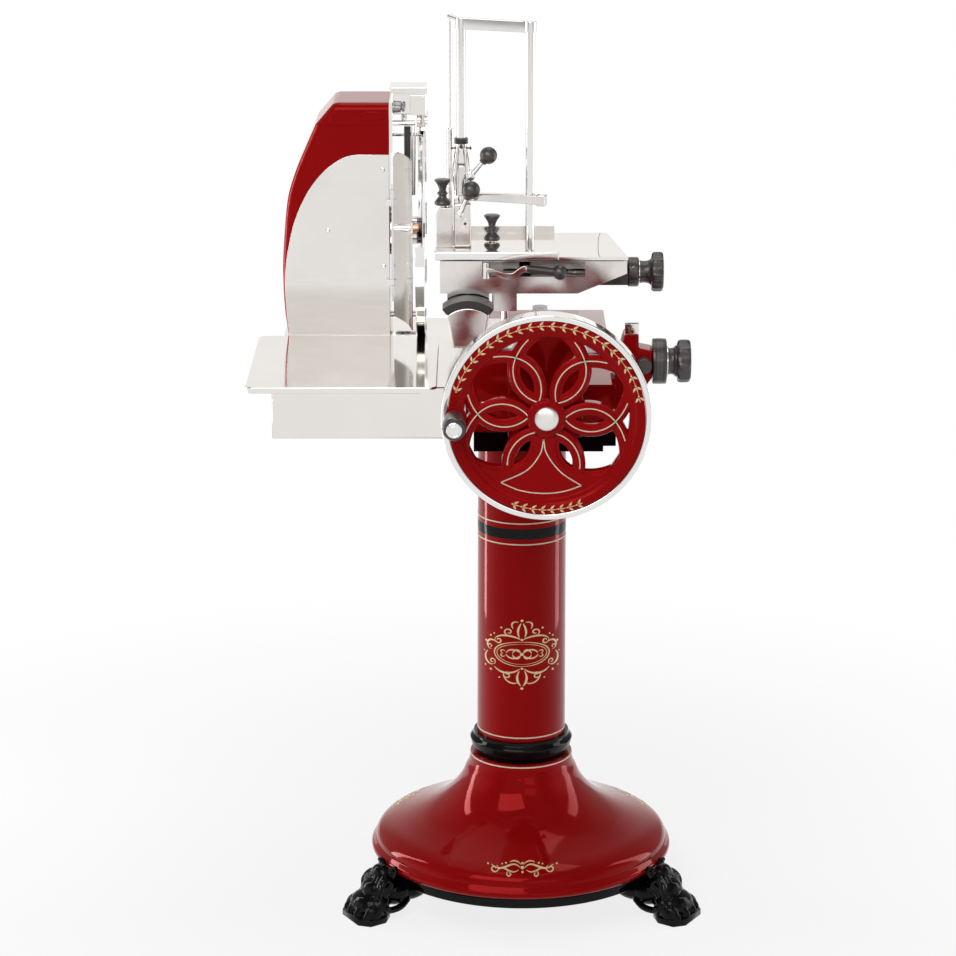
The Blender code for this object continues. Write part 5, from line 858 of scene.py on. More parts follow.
def blob(centre, radii, turn=0.0, steps=20):
    """Ellipsoid, tipped about the crossways axis by a number of degrees."""
    shape = bmesh.new()
    bmesh.ops.create_uvsphere(shape, u_segments=steps, v_segments=steps // 2, radius=1.0)
    shape.transform(Matrix.Translation(Vector(centre)) @ Matrix.Rotation(math.radians(turn), 4, "Y")
                    @ Matrix.Diagonal((*radii, 1.0)))
    return shape


def paw_shape(heel, toe, ceiling, top, wall):
    """Lion's paw in cast metal, pointing along X: leg under the skirt, ruffled ankle, four clawed toes."""
    lumps = [blob((heel + 0.036, 0, 0.040), (0.040, 0.029, 0.021)),
             blob((heel + 0.066, 0, 0.041), (0.034, 0.031, 0.026)),
             blob((wall + 0.014, 0, 0.064), (0.021, 0.029, 0.035), 14),
             blob((wall + 0.030, 0, 0.049), (0.026, 0.032, 0.026), 30),
             blob((wall + 0.044, 0, 0.029), (0.033, 0.041, 0.024), 12),
             blob((wall + 0.040, 0, 0.012), (0.036, 0.043, 0.013))]
    for side in (-1, 1):
        for v, u, high in ((0.0122, toe - 0.0245, 0.0205), (0.0355, toe - 0.031, 0.0185)):
            v *= side
            lumps += [blob((u, v, high), (0.0200, 0.0118, 0.0172), 24),
                      blob((u - 0.015, v * 0.96, high + 0.0125), (0.0165, 0.0104, 0.0128), 34),
                      blob((u + 0.0135, v * 1.02, high - 0.0090), (0.0095, 0.0088, 0.0082)),
                      tube(smooth_line([(u + 0.008, v, high + 0.002), (u + 0.018, v * 1.02, high - 0.003),
                                        (min(u + 0.0235, toe - 0.002), v * 1.03, high - 0.0135)], 5),
                           [0.0048] * 6 + [0.0040, 0.0032, 0.0024, 0.0016, 0.0010], 10)]
        curl = spiral((wall + 0.021, 0.066), 0.0165, 200, 1.35, inner=0.18, steps=30)
        lumps.append(tube([(x, side * (0.0265 + 0.004 * k / 30), z) for k, (x, z) in enumerate(curl)],
                          [0.0060 - 0.0022 * k / 30 for k in range(31)], 10))
        for k in range(4):
            start = Vector((wall + 0.010 + 0.004 * k, side * (0.006 + 0.007 * k), top - 0.008 - 0.005 * k))
            end = Vector((wall + 0.046 - 0.002 * k, side * (0.004 + 0.0105 * k), 0.046 - 0.003 * k))
            mid = (start + end) / 2 + Vector((0.004, side * 0.003, 0.007))
            lumps.append(tube(smooth_line([start, mid, end], 6),
                              [0.0050] * 4 + [0.0044] * 5 + [0.0034] * 4, 8))
        ear = [(wall + 0.005, side * 0.016, 0.080), (wall + 0.003, side * 0.024, 0.092),
               (wall + 0.008, side * 0.031, top - 0.006)]
        lumps.append(tube(smooth_line(ear, 6), [0.0095, 0.0093, 0.009, 0.0088, 0.0085, 0.008, 0.0076, 0.007,
                                               0.0062, 0.0052, 0.0044, 0.0036, 0.0030], 10))
        wing = [(heel + 0.050, side * 0.024, 0.030), (heel + 0.070, side * 0.034, 0.022),
                (wall + 0.018, side * 0.037, 0.020), (wall + 0.034, side * 0.041, 0.028)]
        lumps.append(tube(smooth_line(wing, 6), 0.0066, 10))
    whole = bmesh.new()
    for lump in lumps:
        part = bpy.data.meshes.new("lump")
        lump.to_mesh(part)
        lump.free()
        whole.from_mesh(part)
        bpy.data.meshes.remove(part)
    thing = loose(whole, "paw")
    skin = thing.modifiers.new("skin", "REMESH")
    skin.mode = "VOXEL"
    skin.voxel_size = 0.0019
    ease = thing.modifiers.new("ease", "SMOOTH")
    ease.factor = 0.5
    ease.iterations = 2
    shape = evaluated(thing)
    half = 0.0495
    for vert in shape.verts:
        x, y, z = vert.co
        y = max(-half, min(half, y))
        reach = math.hypot(x, y)
        if z > ceiling and reach < wall:
            if z - ceiling < wall - reach:
                z = ceiling
            else:
                x *= wall / reach
        vert.co = (min(x, toe - 0.0006), y, max(0.0004, min(z, top - 0.0006)))
    bmesh.ops.recalc_face_normals(shape, faces=shape.faces)
    return shape


def make_feet():
    """Three cast paws in black enamel, each on its faceted pad and carried round to its place."""
    low, high = span("paw_foot_rear")
    wall = span("pedestal_bell")[1].x + 0.0007
    ceiling = span("base_skirt")[0].z - 0.0004
    toe = high.y - 0.0008
    corners = ((0.070, 0.024), (0.050, 0.0455), (0.017, 0.0485), (0.0, 0.030))
    rim = [(toe - back, aside) for back, aside in corners]
    rim += [(toe - back, -aside) for back, aside in corners[::-1]]
    for side, angle in (("left", 210), ("right", 330), ("rear", 90)):
        pad = slab([rim], "Z", 0.0004, 0.0128, 0.0016, 3)
        paw = paw_shape(low.y, high.y, ceiling, high.z, wall)
        for shape in (pad, paw):
            shape.transform(Matrix.Rotation(math.radians(angle), 4, "Z"))
        piece(f"paw_{side}", "machine", [(paw, look("black_enamel")), (pad, look("black_enamel"))],
              [f"paw_foot_{side}"], sharp=70.0, weighted=False)


# Flywheel

def wheel_frame():
    """Hub centre, rim radius and the front face of the flywheel."""
    low, high = span("flywheel_tyre")
    return (low.x + high.x) / 2, (low.z + high.z) / 2, (high.x - low.x) / 2, low.y, high.y


def turned_about(points, centre, angle):
    """Points given from a centre, turned by degrees and moved there."""
    t = math.radians(angle)
    c, s = math.cos(t), math.sin(t)
    return [(centre[0] + x * c - y * s, centre[1] + x * s + y * c) for x, y in points]


def bow_places():
    """Centre of the petals' bows along a petal's axis, its distance from the axis, and the bow's radius."""
    tip, cross, half = sizes().petal_tip, sizes().petal_cross, sizes().petal_half
    run = (cross - tip) / 2
    radius = (run * run + half * half) / (2 * half)
    return (tip + cross) / 2, radius - half, radius


def bow_points(offset, side, start, end, steps):
    """Bow along one side of a petal on X: round up to the crossing, then straighter to the rim."""
    along, off, radius = bow_places()
    wide = sizes().fork_bend
    swing = math.degrees(math.acos(off / radius))
    turn = math.radians(swing)
    shift = wide - radius
    points = []
    for k in range(steps + 1):
        t = start + (end - start) * k / steps
        if t <= swing:
            a = math.radians(t)
            points.append((along + (radius + offset) * math.sin(a), (radius + offset) * math.cos(a) - off))
        else:
            a = turn + math.radians(t - swing) * radius / wide
            points.append((along - shift * math.sin(turn) + (wide + offset) * math.sin(a),
                           (wide + offset) * math.cos(a) - off - shift * math.cos(turn)))
    return [(x, side * y) for x, y in points]


def bow_band(side, centre, turn, section, start=-58, end=140, steps=60):
    """Cast band that follows a bow: its section holds distance from the stripe and depth."""
    shape = bmesh.new()
    rows = []
    for across, depth in section:
        points = turned_about(bow_points(across, side, start, end, steps), centre, turn)
        rows.append([shape.verts.new((x, depth, z)) for x, z in points])
    for row, after in zip(rows, rows[1:] + rows[:1]):
        for k in range(steps):
            shape.faces.new((row[k], row[k + 1], after[k + 1], after[k]))
    for k in (0, -1):
        shape.faces.new([row[k] for row in rows])
    bmesh.ops.recalc_face_normals(shape, faces=shape.faces)
    return shape


def front_bead(outline, face, radius, closed=True, flat=1.0):
    """Rounded ridge that follows an outline on a front face."""
    path = [Vector((x, 0, z)) for x, z in outline]
    shape = tube(path, radius, 10, closed=closed)
    shape.transform(Matrix.Translation((0, face, 0)) @ Matrix.Diagonal((1, flat, 1, 1)))
    return shape


def front_stripe(points, face, width=None, closed=False):
    """Painted line on a face that looks to the front."""
    path = [Vector((x, face, z)) for x, z in points]
    return stripe(path, [Vector((0, -1, 0))] * len(path), width or sizes().line * 0.76, sizes().line_proud,
                  closed)


def wheel_lines(centre, lean, face):
    """Cream lines: two bows on each upper petal, one on each lower petal, and the weight's border."""
    off, radius = bow_places()[1:]
    swing = math.degrees(math.acos(off / radius))
    lines = []
    for number in range(6):
        turn = 60 * number + lean
        if number == 4:
            lines.append(turned_about(bow_points(0, -1, -swing + 1, 34, 30), centre, turn))
        elif number == 5:
            lines.append(turned_about(bow_points(0, 1, -swing + 1, 34, 30), centre, turn))
        else:
            for side in (-1, 1):
                lines.append(turned_about(bow_points(0, side, -swing, 88, 52), centre, turn))
    sides = (((-0.0049, -0.0377), (-0.0110, -0.0640), (-0.0340, -0.0930), (-0.0780, -0.1143)),
             ((-0.0780, -0.1143), (-0.0440, -0.1285), (-0.0049, -0.1335), (0.0300, -0.1300),
              (0.0602, -0.1198)),
             ((0.0602, -0.1198), (0.0250, -0.0960), (0.0010, -0.0640), (-0.0049, -0.0377)))
    for points in sides:
        lines.append([(centre[0] + p[0], centre[1] + p[1]) for p in smooth_line(points, 10)])
    return [front_stripe(points, face) for points in lines]


def leaf_outline(length, width, steps=7):
    upper = [(length * k / steps, width / 2 * math.sin(math.pi * (k / steps) ** 0.8)) for k in range(steps + 1)]
    return upper + [(x, -y) for x, y in reversed(upper[1:-1])]


def rim_garland(centre, radius, face, start, end, pairs):
    """Gold garland on the rim: a stem of buds with a pair of slanted leaves at each."""
    outlines = []
    leaf = sizes().leaf
    forward = math.copysign(1, end - start)
    for number in range(pairs):
        angle = start + (end - start) * number / (pairs - 1)
        outlines.append(turned_about(dot((radius, 0), 0.0015), centre, angle))
        for side in (-1, 1):
            lean = 90 * forward - side * forward * 42
            base = (radius + side * 0.0013, forward * 0.0022)
            outlines.append(turned_about(turned_about(leaf_outline(leaf * 0.72, 0.0036), base, lean),
                                         centre, angle))
        outlines.append(turned_about(turned_about(leaf_outline(leaf * 0.62, 0.0020),
                                                  (radius, forward * 0.0028),
                                                  90 * forward), centre, angle))

    def place(x, z):
        return Vector((x, face, z)), Vector((0, -1, 0))

    return wrapped(outlines, place, 0.0004)


def make_flywheel():
    """Flywheel casting with its petals, weight, pinstripes and garland."""
    red, cream, gold = (look(name) for name in ("red_enamel", "cream_paint", "gold_leaf"))
    cx, cz, outer, face, back = wheel_frame()
    centre = (cx, cz)
    rim, rim_in, hub = outer - 0.011, 0.1417, 0.031
    lean = -3.2
    web_front, web_back = face + 0.0095, back - 0.0095
    band_front = web_front - 0.0030
    section = [(-0.0124, web_front + 0.0014), (-0.0118, web_front + 0.0003), (-0.0106, web_front - 0.0001),
               (-0.0076, web_front - 0.0003), (-0.0068, web_front - 0.0009), (-0.0062, band_front + 0.0009),
               (-0.0054, band_front + 0.0002), (-0.0042, band_front), (0.0042, band_front),
               (0.0054, band_front + 0.0002), (0.0062, band_front + 0.0009), (0.0066, web_front - 0.0009),
               (0.0072, web_front - 0.0003), (0.0082, web_front - 0.0001), (0.0092, web_front + 0.0003),
               (0.0098, web_front + 0.0014), (0.0098, web_back - 0.0010), (0.0090, web_back),
               (-0.0116, web_back),
               (-0.0124, web_back - 0.0010)]
    parts = [(bow_band(side, centre, 60 * number + lean, section), red)
             for number in range(6) for side in (-1, 1)]

    # Weight between the two lower petals, and the webs that carry those petals to the rim
    inside = 0.139
    sides = [[p for p in turned_about(bow_points(-0.002, side, -46, 84, 40), centre, turn + lean)
              if math.hypot(p[0] - cx, p[1] - cz) < inside and p[1] < cz]
             for side, turn in ((1, 240), (-1, 300))]
    low_arc = arc(centre, 0.1445, 227 + lean, 313 + lean, 30)
    parts.append((slab([sides[0] + low_arc + sides[1][::-1]], "Y", band_front + 0.00002, web_back, 0.0),
                  red))
    web = ((0.1085, 0.0), (0.1180, -0.0120), (0.1330, -0.0330), (0.1440, -0.0330), (0.1480, 0.0),
           (0.1440, 0.0330), (0.1330, 0.0330),
           (0.1180, 0.0120))
    knot = arc((sizes().petal_cross, 0.0), 0.0105, 0, 345, 23)
    for turn in (240, 300):
        for outline, front, rear in ((web, 0.00004, 0.0002), (knot, -0.00025, 0.0004)):
            plate = slab([turned_about(outline, centre, turn + lean)], "Y", band_front + front,
                         web_back - rear, 0.0)
            parts.append((plate, red))

    ring = [(rim_in - 0.0005, web_back - 0.002), (rim_in - 0.0005, web_front + 0.001)]
    ring += [(rim_in + out, face + deep) for out, deep in
             ((0.0002, 0.0066), (0.0012, 0.0054), (0.0028, 0.0050), (0.0070, 0.0044), (0.0098, 0.0034),
              (0.0110, 0.0022), (0.0120, 0.0011), (0.0134, 0.0006))]
    ring += [(rim - 0.0026, face + 0.0006), (rim - 0.0012, face + 0.0010), (rim - 0.0003, face + 0.0018),
             (rim - 0.0003, back - 0.0002), (rim_in + 0.0040, back - 0.0002)]
    hub_line = [(0.0125, web_back), (0.0125, face + 0.0002), (hub - 0.0035, face + 0.0002)]
    hub_line += arc((hub - 0.0035, face + 0.0037), 0.0035, -90, 0, 5)
    hub_line += [(hub + 0.0010, band_front - 0.0008), (hub + 0.0030, band_front + 0.0003),
                 (hub + 0.0030, web_back - 0.0003), (hub, back - 0.0030), (hub - 0.003, back - 0.0002),
                 (0.0125, back - 0.0002)]
    seat = fillet([(0.0142, web_front - 0.0002), (0.0215, web_front - 0.0002), (0.0205, face + 0.0002),
                   (0.0142, face + 0.0002)], 0.001, 3, closed=True)
    for line, x, steps in ((ring, cx, sizes().round_steps + 48), (hub_line, cx, 96),
                           (seat, middle("crank_grip").x, 48)):
        parts.append((lathe(line, "Y", (x, 0, cz), steps), red))
    parts += [(line, cream) for line in wheel_lines(centre, lean, band_front)]
    stem_r = rim_in + 0.0195
    for start, end, pairs in ((163, 14, sizes().leaves_above), (249, 289, sizes().leaves_below)):
        parts.append((rim_garland(centre, stem_r, face + 0.0006, start, end, pairs), gold))
        parts.append((front_stripe(arc(centre, stem_r, start, end, 90), face + 0.0006, 0.0009), gold))
    piece("flywheel_casting", "flywheel", parts, ["flywheel"], sharp=44.0)


def make_tyre():
    """Chrome tyre of the flywheel and the round cap on its hub."""
    cx, cz, outer, face, back = wheel_frame()
    bed = outer - 0.0107
    tyre = fillet([(bed, face + 0.0001), (outer - 0.0002, face + 0.0001), (outer - 0.0002, back - 0.0001),
                   (bed, back - 0.0001)], 0.0032, 6, closed=True)
    piece("wheel_tyre", "flywheel", [(lathe(tyre, "Y", (cx, 0, cz), sizes().round_steps + 96),
                                      look("chrome"))],
          ["flywheel_tyre"])

    low, high = span("flywheel_hub_cap")
    radius = (high.x - low.x) / 2
    edge = high.y - 0.0022
    cap = [(0, high.y), (radius - 0.0006, high.y), (radius, high.y - 0.0006), (radius, edge)]
    cap += [(radius * math.cos(math.radians(a)) * 0.985, edge - (edge - low.y) * math.sin(math.radians(a)))
            for a in range(6, 90, 7)]
    cap.append((0, low.y + 0.00002))
    piece("wheel_hub_cap", "flywheel", [(lathe(cap, "Y", (cx, 0, cz), 72), look("cap_silver"))],
          ["flywheel_hub_cap"])


def make_grip():
    """Spindle of the flywheel's handle, with its slotted cap, and the dark grip that turns on it."""
    low, high = span("handle_spindle")
    grip_low, grip_high = span("crank_grip")
    at = (middle("crank_grip").x, 0, wheel_frame()[1])
    face, front, shoulder = wheel_frame()[3] - 0.0003, low.y, (high.x - low.x) / 2 - 0.0001
    line = [(0, high.y), (0.0085, high.y), (0.0085, face), (shoulder, face)]
    line += fillet([(shoulder, face), (shoulder, grip_high.y + 0.0004), (0.0085, grip_high.y + 0.0004),
                    (0.0085, grip_low.y - 0.0003), (0.0130, grip_low.y - 0.0003), (0.0135, front + 0.0014),
                    (0.0118, front + 0.0003), (0.0102, front + 0.0003), (0.0098, front + 0.0009),
                    (0.0078, front + 0.0009), (0.0074, front + 0.0003), (0.0, front + 0.0003)], 0.0003,
                    2)[3:]
    slot = screw((at[0], front + 0.0006, at[2]), "Y", -1, 0.0050, 35)
    for vert in slot.verts:
        vert.co.y = max(vert.co.y, low.y)
    piece("grip_spindle", "flywheel", [(lathe(line, "Y", at, 56), look("chrome")),
                                       (slot, look("blade_steel"))],
          ["handle_spindle"])

    length = grip_high.y - grip_low.y
    radius = (grip_high.x - grip_low.x) / 2
    shares = [(0.80, 0.00), (0.835, 0.015), (0.84, 0.06), (0.845, 0.20), (0.862, 0.33), (0.905, 0.44),
              (0.960, 0.52), (0.960, 0.545), (0.945, 0.56), (0.962, 0.575), (0.985, 0.62), (0.998, 0.70),
              (1.00, 0.80), (0.992, 0.89), (0.965, 0.945), (0.925, 0.98), (0.86, 1.00), (0.74, 1.00),
              (0.70, 0.992)]
    line = [(0.0088, grip_high.y)] + [(radius * a, grip_high.y - length * b) for a, b in shares]
    line += [(0.0138, grip_low.y + 0.0006), (0.0088, grip_low.y + 0.0006)]
    piece("crank_grip_dark", "grip", [(lathe(line, "Y", at, 72), look("bakelite"))], ["crank_grip"])


# Machine base and the drive side

def simple(name, node, body, surface, edge, extras=(), steps=2, angle=28.0):
    """Piece that follows its frame solid, with finer edges and added details."""
    parts = [(refined(node, edge, steps, angle), look(surface))] + list(extras)
    return piece(name, body, parts, [node])


def screws_on(points, axis, out, surface="chrome", radius=None):
    return [(screw(at, axis, out, radius, 25 + 37 * number), look(surface))
            for number, at in enumerate(points)]


def make_base():
    """Foot frame, gear housing with its polished bed, and the arched pillar behind the flywheel."""
    s = sizes()
    simple("foot_frame", "machine_foot_frame", "machine", "black_enamel", s.cast_edge)
    top = span("base_housing")[1].z - 0.02
    shell, bed = parted(refined("base_housing", s.cast_edge, 2),
                        lambda face: face.normal.z > 0.9 and face.calc_center_median().z > top)
    piece("gear_housing", "machine", [(shell, look("red_enamel")), (bed, look("cast_aluminium"))],
          ["base_housing"])
    simple("pillar", "shaft_pillar", "machine", "red_enamel", s.cast_edge, steps=3)


def make_drive():
    """Shafts, gears, chain, crank and connecting rod: they keep their frame solids, in machined steel."""
    for node in ("flywheel_shaft", "lay_shaft", "cross_shaft", "drive_chain", "drive_crank", "blade_shaft"):
        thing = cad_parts[node]
        thing.data.materials.clear()
        thing.data.materials.append(look("gear_steel"))
    simple("rod", "connecting_rod", "rod", "gear_steel", sizes().small_edge)


def trimmed_box(outline, low, high, planes):
    """Plate with widely rounded edges whose border is cut square by planes, given as place and normal."""
    shell = slab([outline], "Y", low, high, 0.0140, 6)
    for point, normal in planes:
        shell = sliced(shell, point, normal)
    return shell


def make_cover():
    """Side box and the drive cover, hollow and open towards the blade."""
    simple("box", "side_box", "machine", "brushed_sheet", sizes().sheet_edge, angle=50)
    low, high = span("drive_cover")
    lid = span("drive_cover_lid")[0]
    width, height, seam, reach, wall = high.x - low.x, 0.4652, high.z, 0.030, 0.0035
    body_line = [(0.0447, 0.0), (0.0120, 0.110), (0.0, 0.226), (0.0030, 0.335), (0.0466, 0.547),
                 (0.1185, 0.664),
                 (0.2307, 0.781)]
    curve = [(low.x + a * width, low.z + b * height) for a, b in body_line] + [(lid.x, seam)]
    left = [tuple(p) for p in smooth_line(curve, 6)]
    wide = left[:-1] + [(left[-1][0] + 0.012, seam + reach), (high.x + reach, seam + reach),
                        (high.x + reach, low.z - reach), (left[0][0] + 0.006, low.z - reach)]
    shell = trimmed_box(wide, low.y, high.y, (((high.x, 0, 0), (1, 0, 0)), ((0, 0, seam), (0, 0, 1)),
                                              ((0, 0, low.z), (0, 0, -1))))
    room = [(x + 3 * wall, z) for x, z in left if z < seam - wall]
    room[0] = (room[0][0], low.z - 0.004)
    room += [(high.x - 1.2 * wall, seam - wall), (high.x - 1.2 * wall, low.z - 0.004)]
    inner = slab([room], "Y", low.y + 1.6 * wall, high.y - 1.6 * wall, 0.0005, 1)
    shaft = middle("blade_shaft")
    hole = lathe([(0, high.x - 0.02), (0.0125, high.x - 0.02), (0.0125, high.x + 0.02), (0, high.x + 0.02)],
                 "X", (0, shaft.y, shaft.z),
                 32)
    piece("cover", "machine", [(cut(shell, inner, hole), look("red_enamel"))], ["drive_cover"],
          sharp=50)


def make_lid():
    """Lid of the drive cover with its ledge and the plain oval boss."""
    low, high = span("drive_cover_lid")
    base, rise, reach, wall = low.z, 0.0405, 0.030, 0.0035
    crown, front, rear = base + rise, *(corner.y for corner in span("drive_cover"))
    right = span("drive_cover")[1].x
    curve = [(0, 0), (0.0125, 0.36), (0.0262, 0.76), (0.0330, 0.93), (0.0415, 1.0)]
    slope = [tuple(p) for p in smooth_line([(low.x + a, base + rise * b) for a, b in curve], 6)]
    wide = [(slope[0][0] - 0.008, base - reach)] + slope + [(right + reach, crown),
                                                            (right + reach, base - reach)]
    lid = trimmed_box(wide, front, rear, (((right, 0, 0), (1, 0, 0)), ((0, 0, base), (0, 0, -1))))
    room = [(x + 3 * wall, min(z, crown - 2 * wall)) for x, z in slope]
    room += [(high.x - 1.5 * wall, crown - 2 * wall), (high.x - 1.5 * wall, base - 0.004)]
    room[0] = (room[0][0], base - 0.004)
    lid = cut(lid, slab([room], "Y", front + 2 * wall, rear - 2 * wall, 0.0005, 1))
    ledge = [(low.x + 0.0230, base + 0.0010)] + [(low.x + a, base + rise * b) for a, b in
                                                 ((0.0310, 0.36), (0.0400, 0.66), (0.0520, 0.70))]
    ledge.append((high.x - 0.0060, base + rise * 0.70))
    boss_x, boss_z = high.x - 0.0325, base + rise * 0.40

    def lens(half_x, half_z):
        return [(boss_x + half_x * x, boss_z + half_z * z) for x, z in dot((0, 0), 1.0, 56)]

    parts = [lid, front_bead([tuple(p) for p in smooth_line(ledge, 8)], front + 0.0002, 0.0011,
                             closed=False),
             slab([lens(0.0250, 0.0100)], "Y", front - 0.0016, front + 0.004, 0.0016, 4),
             front_bead(lens(0.0205, 0.0070), front - 0.0015, 0.0008)]
    piece("cover_lid", "machine", [(part, look("red_enamel")) for part in parts], ["drive_cover_lid"],
          sharp=50)


def make_wall():
    """Slice wall with its three screws."""
    low, high = span("slice_wall")
    width, height = high.x - low.x, high.z - low.z
    shares = [(0.035, 0.000), (0.012, 0.130), (0.000, 0.270), (0.006, 0.380), (0.034, 0.490),
              (0.090, 0.625), (0.175, 0.745), (0.275, 0.840), (0.400, 0.920), (0.540, 0.975),
              (0.665, 0.998), (0.80, 1.0)]
    curve = [tuple(p) for p in smooth_line([(low.x + a * width, low.z + b * height) for a, b in shares], 6)]
    plate = slab([curve + [(high.x, high.z), (high.x, low.z)]], "Y", low.y, high.y, 0.0005, 2)
    spots = [(low.x + a * width, low.y, low.z + b * height) for a, b in
             ((0.939, 0.921), (0.415, 0.593), (0.943, 0.396))]
    piece("wall", "machine", [(plate, look("brushed_wall"))] + screws_on(spots, "Y", -1, "blade_steel",
        0.0046),
          ["slice_wall"])


def make_tray():
    """Receiving tray: a thin plate with turned-down lips at the front and the right."""
    low, high = span("slice_tray")
    thick, radius, inset = 0.0042, 0.014, 0.003
    corners = ((high.x, low.y, 270), (high.x, high.y, 0), (low.x, high.y, 90), (low.x, low.y, 180))
    outline = []
    for x, y, start in corners:
        centre = (x - math.copysign(radius, x - middle("slice_tray").x),
                  y - math.copysign(radius, y - middle("slice_tray").y))
        outline += arc(centre, radius, start, start + 90, 10)
    tray = slab([outline], "Z", low.z + 0.0065, high.z, 0.0022, 4)
    top = high.z - thick
    rooms = (((low.x + inset, low.y + inset, low.z - 0.010), (high.x + 0.010, high.y + 0.010, top)),
             ((low.x - 0.010, high.y - 0.030, low.z - 0.012), (high.x + 0.010, high.y + 0.012, top)),
             ((high.x - 0.030, low.y - 0.012, low.z - 0.014), (high.x + 0.012, high.y + 0.010, top)))
    tray = cut(tray, *(chamfered(a, b, 0.0004) for a, b in rooms))
    piece("tray", "tray", [(tray, look("brushed_sheet"))], ["slice_tray"], sharp=35)


# Blade side

def make_blade():
    """Blade with its ground edge and screws, the guard ring, and the bearing arm."""
    low, high = span("blade")
    centre = middle("blade")
    radius = (high.z - low.z) / 2
    left, right = high.x - 0.003, high.x
    profile = [(0.0163, low.x), (0.030, low.x), (0.0345, low.x + 0.0012), (0.060, low.x + 0.0062),
               (0.075, left - 0.0006), (radius * 0.66, left), (radius - 0.022, left),
               (radius - 0.0212, left + 0.0005), (radius - 0.0008, right - 0.0006),
               (radius, right - 0.0003), (radius - 0.0003, right - 0.0001), (radius * 0.70, right - 0.0001),
               (radius * 0.62, right - 0.0006), (0.080, right - 0.0008), (0.060, right - 0.0036),
               (0.034, right - 0.0088), (0.030, right - 0.0092),
               (0.0163, right - 0.0092)]
    parts = [(lathe(profile, "X", centre, sizes().round_steps + 48), look("blade_steel"))]
    for number in range(3):
        angle = math.tau * number / 3 + 0.5
        spot = (right - 0.0091, centre.y + 0.024 * math.cos(angle), centre.z + 0.024 * math.sin(angle))
        parts.append((screw(spot, "X", 1, 0.0036, 20 + 50 * number), look("chrome")))
    piece("blade_disc", "blade", parts, ["blade"], sharp=25)
    simple("guard", "blade_guard", "machine", "chrome", 0.0011, steps=3, angle=35)
    simple("blade_arm", "blade_bearing_arm", "machine", "cast_aluminium", 0.0012,
           angle=35)


def make_sharpener():
    """Sharpener: bracket with its rods, the head with its flat lid and box, and the small knob."""
    s = sizes()
    chrome, dark = look("chrome"), look("dark_pad")
    strip = [(chamfered((-0.2180, 0.3290, 1.2600), (-0.2060, 0.3330, 1.3790), 0.0008), dark)]
    guide = [tube([(-0.2030, 0.3250, 1.2500), (-0.2030, 0.3250, 1.3795)], 0.0022, 20),
             tube([(-0.1990, 0.3270, 1.2500), (-0.1975, 0.3270, 1.3795)], 0.0014, 16)]
    simple("sharpener_frame", "sharpener_bracket", "machine", "chrome", s.small_edge,
           strip)
    low, high = span("sharpener_head")
    head = refined("sharpener_head", 0.0012, 3)
    plate = slab([fillet([(low.x + 0.0005, high.z - 0.0125), (high.x - 0.0008, high.z - 0.0125),
                          (high.x - 0.0008, high.z - 0.0008), (low.x + 0.0005, high.z - 0.0008)], 0.0015, 3,
                          closed=True)],
                 "Y", low.y - 0.0012, low.y + 0.004, 0.0006, 2)
    door = slab([fillet([(high.x - 0.0330, high.z - 0.0520), (high.x - 0.0040, high.z - 0.0520),
                         (high.x - 0.0040, high.z - 0.0150), (high.x - 0.0330, high.z - 0.0150)], 0.0020, 4,
                        closed=True)], "Y", low.y - 0.0016, low.y + 0.003, 0.0007, 2)
    pin = screw((high.x - 0.0080, low.y - 0.0016, high.z - 0.0200), "Y", -1, 0.0020, 20)
    piece("sharpener_box", "sharpener", [(head, chrome), (plate, look("brushed_sheet")),
                                         (door, look("brushed_sheet")),
                                         (pin, look("blade_steel"))] + [(g, chrome) for g in guide],
          ["sharpener_head"])
    low, high = span("sharpener_knob")
    centre = middle("sharpener_knob")
    radius, length = (high.z - low.z) / 2, high.x - low.x
    shares = [(0.0, 0.0), (0.90, 0.0), (0.98, 0.03), (1.0, 0.08), (1.0, 0.14), (0.94, 0.17), (0.94, 0.20),
              (0.99, 0.23), (0.87, 0.64), (0.84, 0.665), (0.52, 0.68), (0.48, 0.70), (0.50, 0.74),
              (0.74, 0.77), (0.79, 0.80), (0.78, 0.86), (0.70, 0.93), (0.50, 0.985),
              (0.0, 1.0)]
    line = [(radius * a, low.x + length * b) for a, b in shares]
    piece("sharpener_button", "sharpener_knob", [(lathe(line, "X", centre, 48), look("gear_steel"))],
          ["sharpener_knob"])


def make_deflector():
    """Curved slice deflector on its hinge pin, with the tapered knob and copper nut."""
    simple("deflector", "slice_deflector", "deflector", "brushed_wall", 0.0008, steps=2,
           angle=30)
    simple("deflector_pin", "deflector_hinge_pin", "machine", "chrome", 0.0005)
    low, high = span("deflector_knob")
    centre = middle("deflector_knob")
    radius, start = (high.z - low.z) / 2, low.x
    lug = start + 0.0300
    line = [(0, start), (radius * 0.50, start), (radius * 0.60, start + 0.0006),
            (radius * 0.64, start + 0.0016), (radius * 0.94, start + 0.0215),
            (radius * 0.99, start + 0.0226), (radius, start + 0.0240), (radius * 0.99, start + 0.0252),
            (radius * 0.90, start + 0.0258), (radius * 0.84, start + 0.0264), (radius * 0.84, lug - 0.0008),
            (0.0032, lug - 0.0006), (0.0032, lug + 0.0046),
            (0, lug + 0.0046)]
    nut = [(0.0031, high.x - 0.0118), (radius * 0.86, high.x - 0.0118),
           (radius * 0.95, high.x - 0.0106, 0.10), (radius * 0.95, high.x - 0.0030, 0.10),
           (radius * 0.86, high.x - 0.0018), (radius * 0.55, high.x - 0.0016),
           (radius * 0.50, high.x - 0.0002),
           (0.0031, high.x - 0.0002)]
    piece("deflector_handle", "deflector_knob", [(lathe(line, "X", centre, 48), look("chrome")),
                                                 (lathe(nut, "X", centre, 48, 6), look("copper_nut"))],
          ["deflector_knob"])


# Carriage, table and clamp

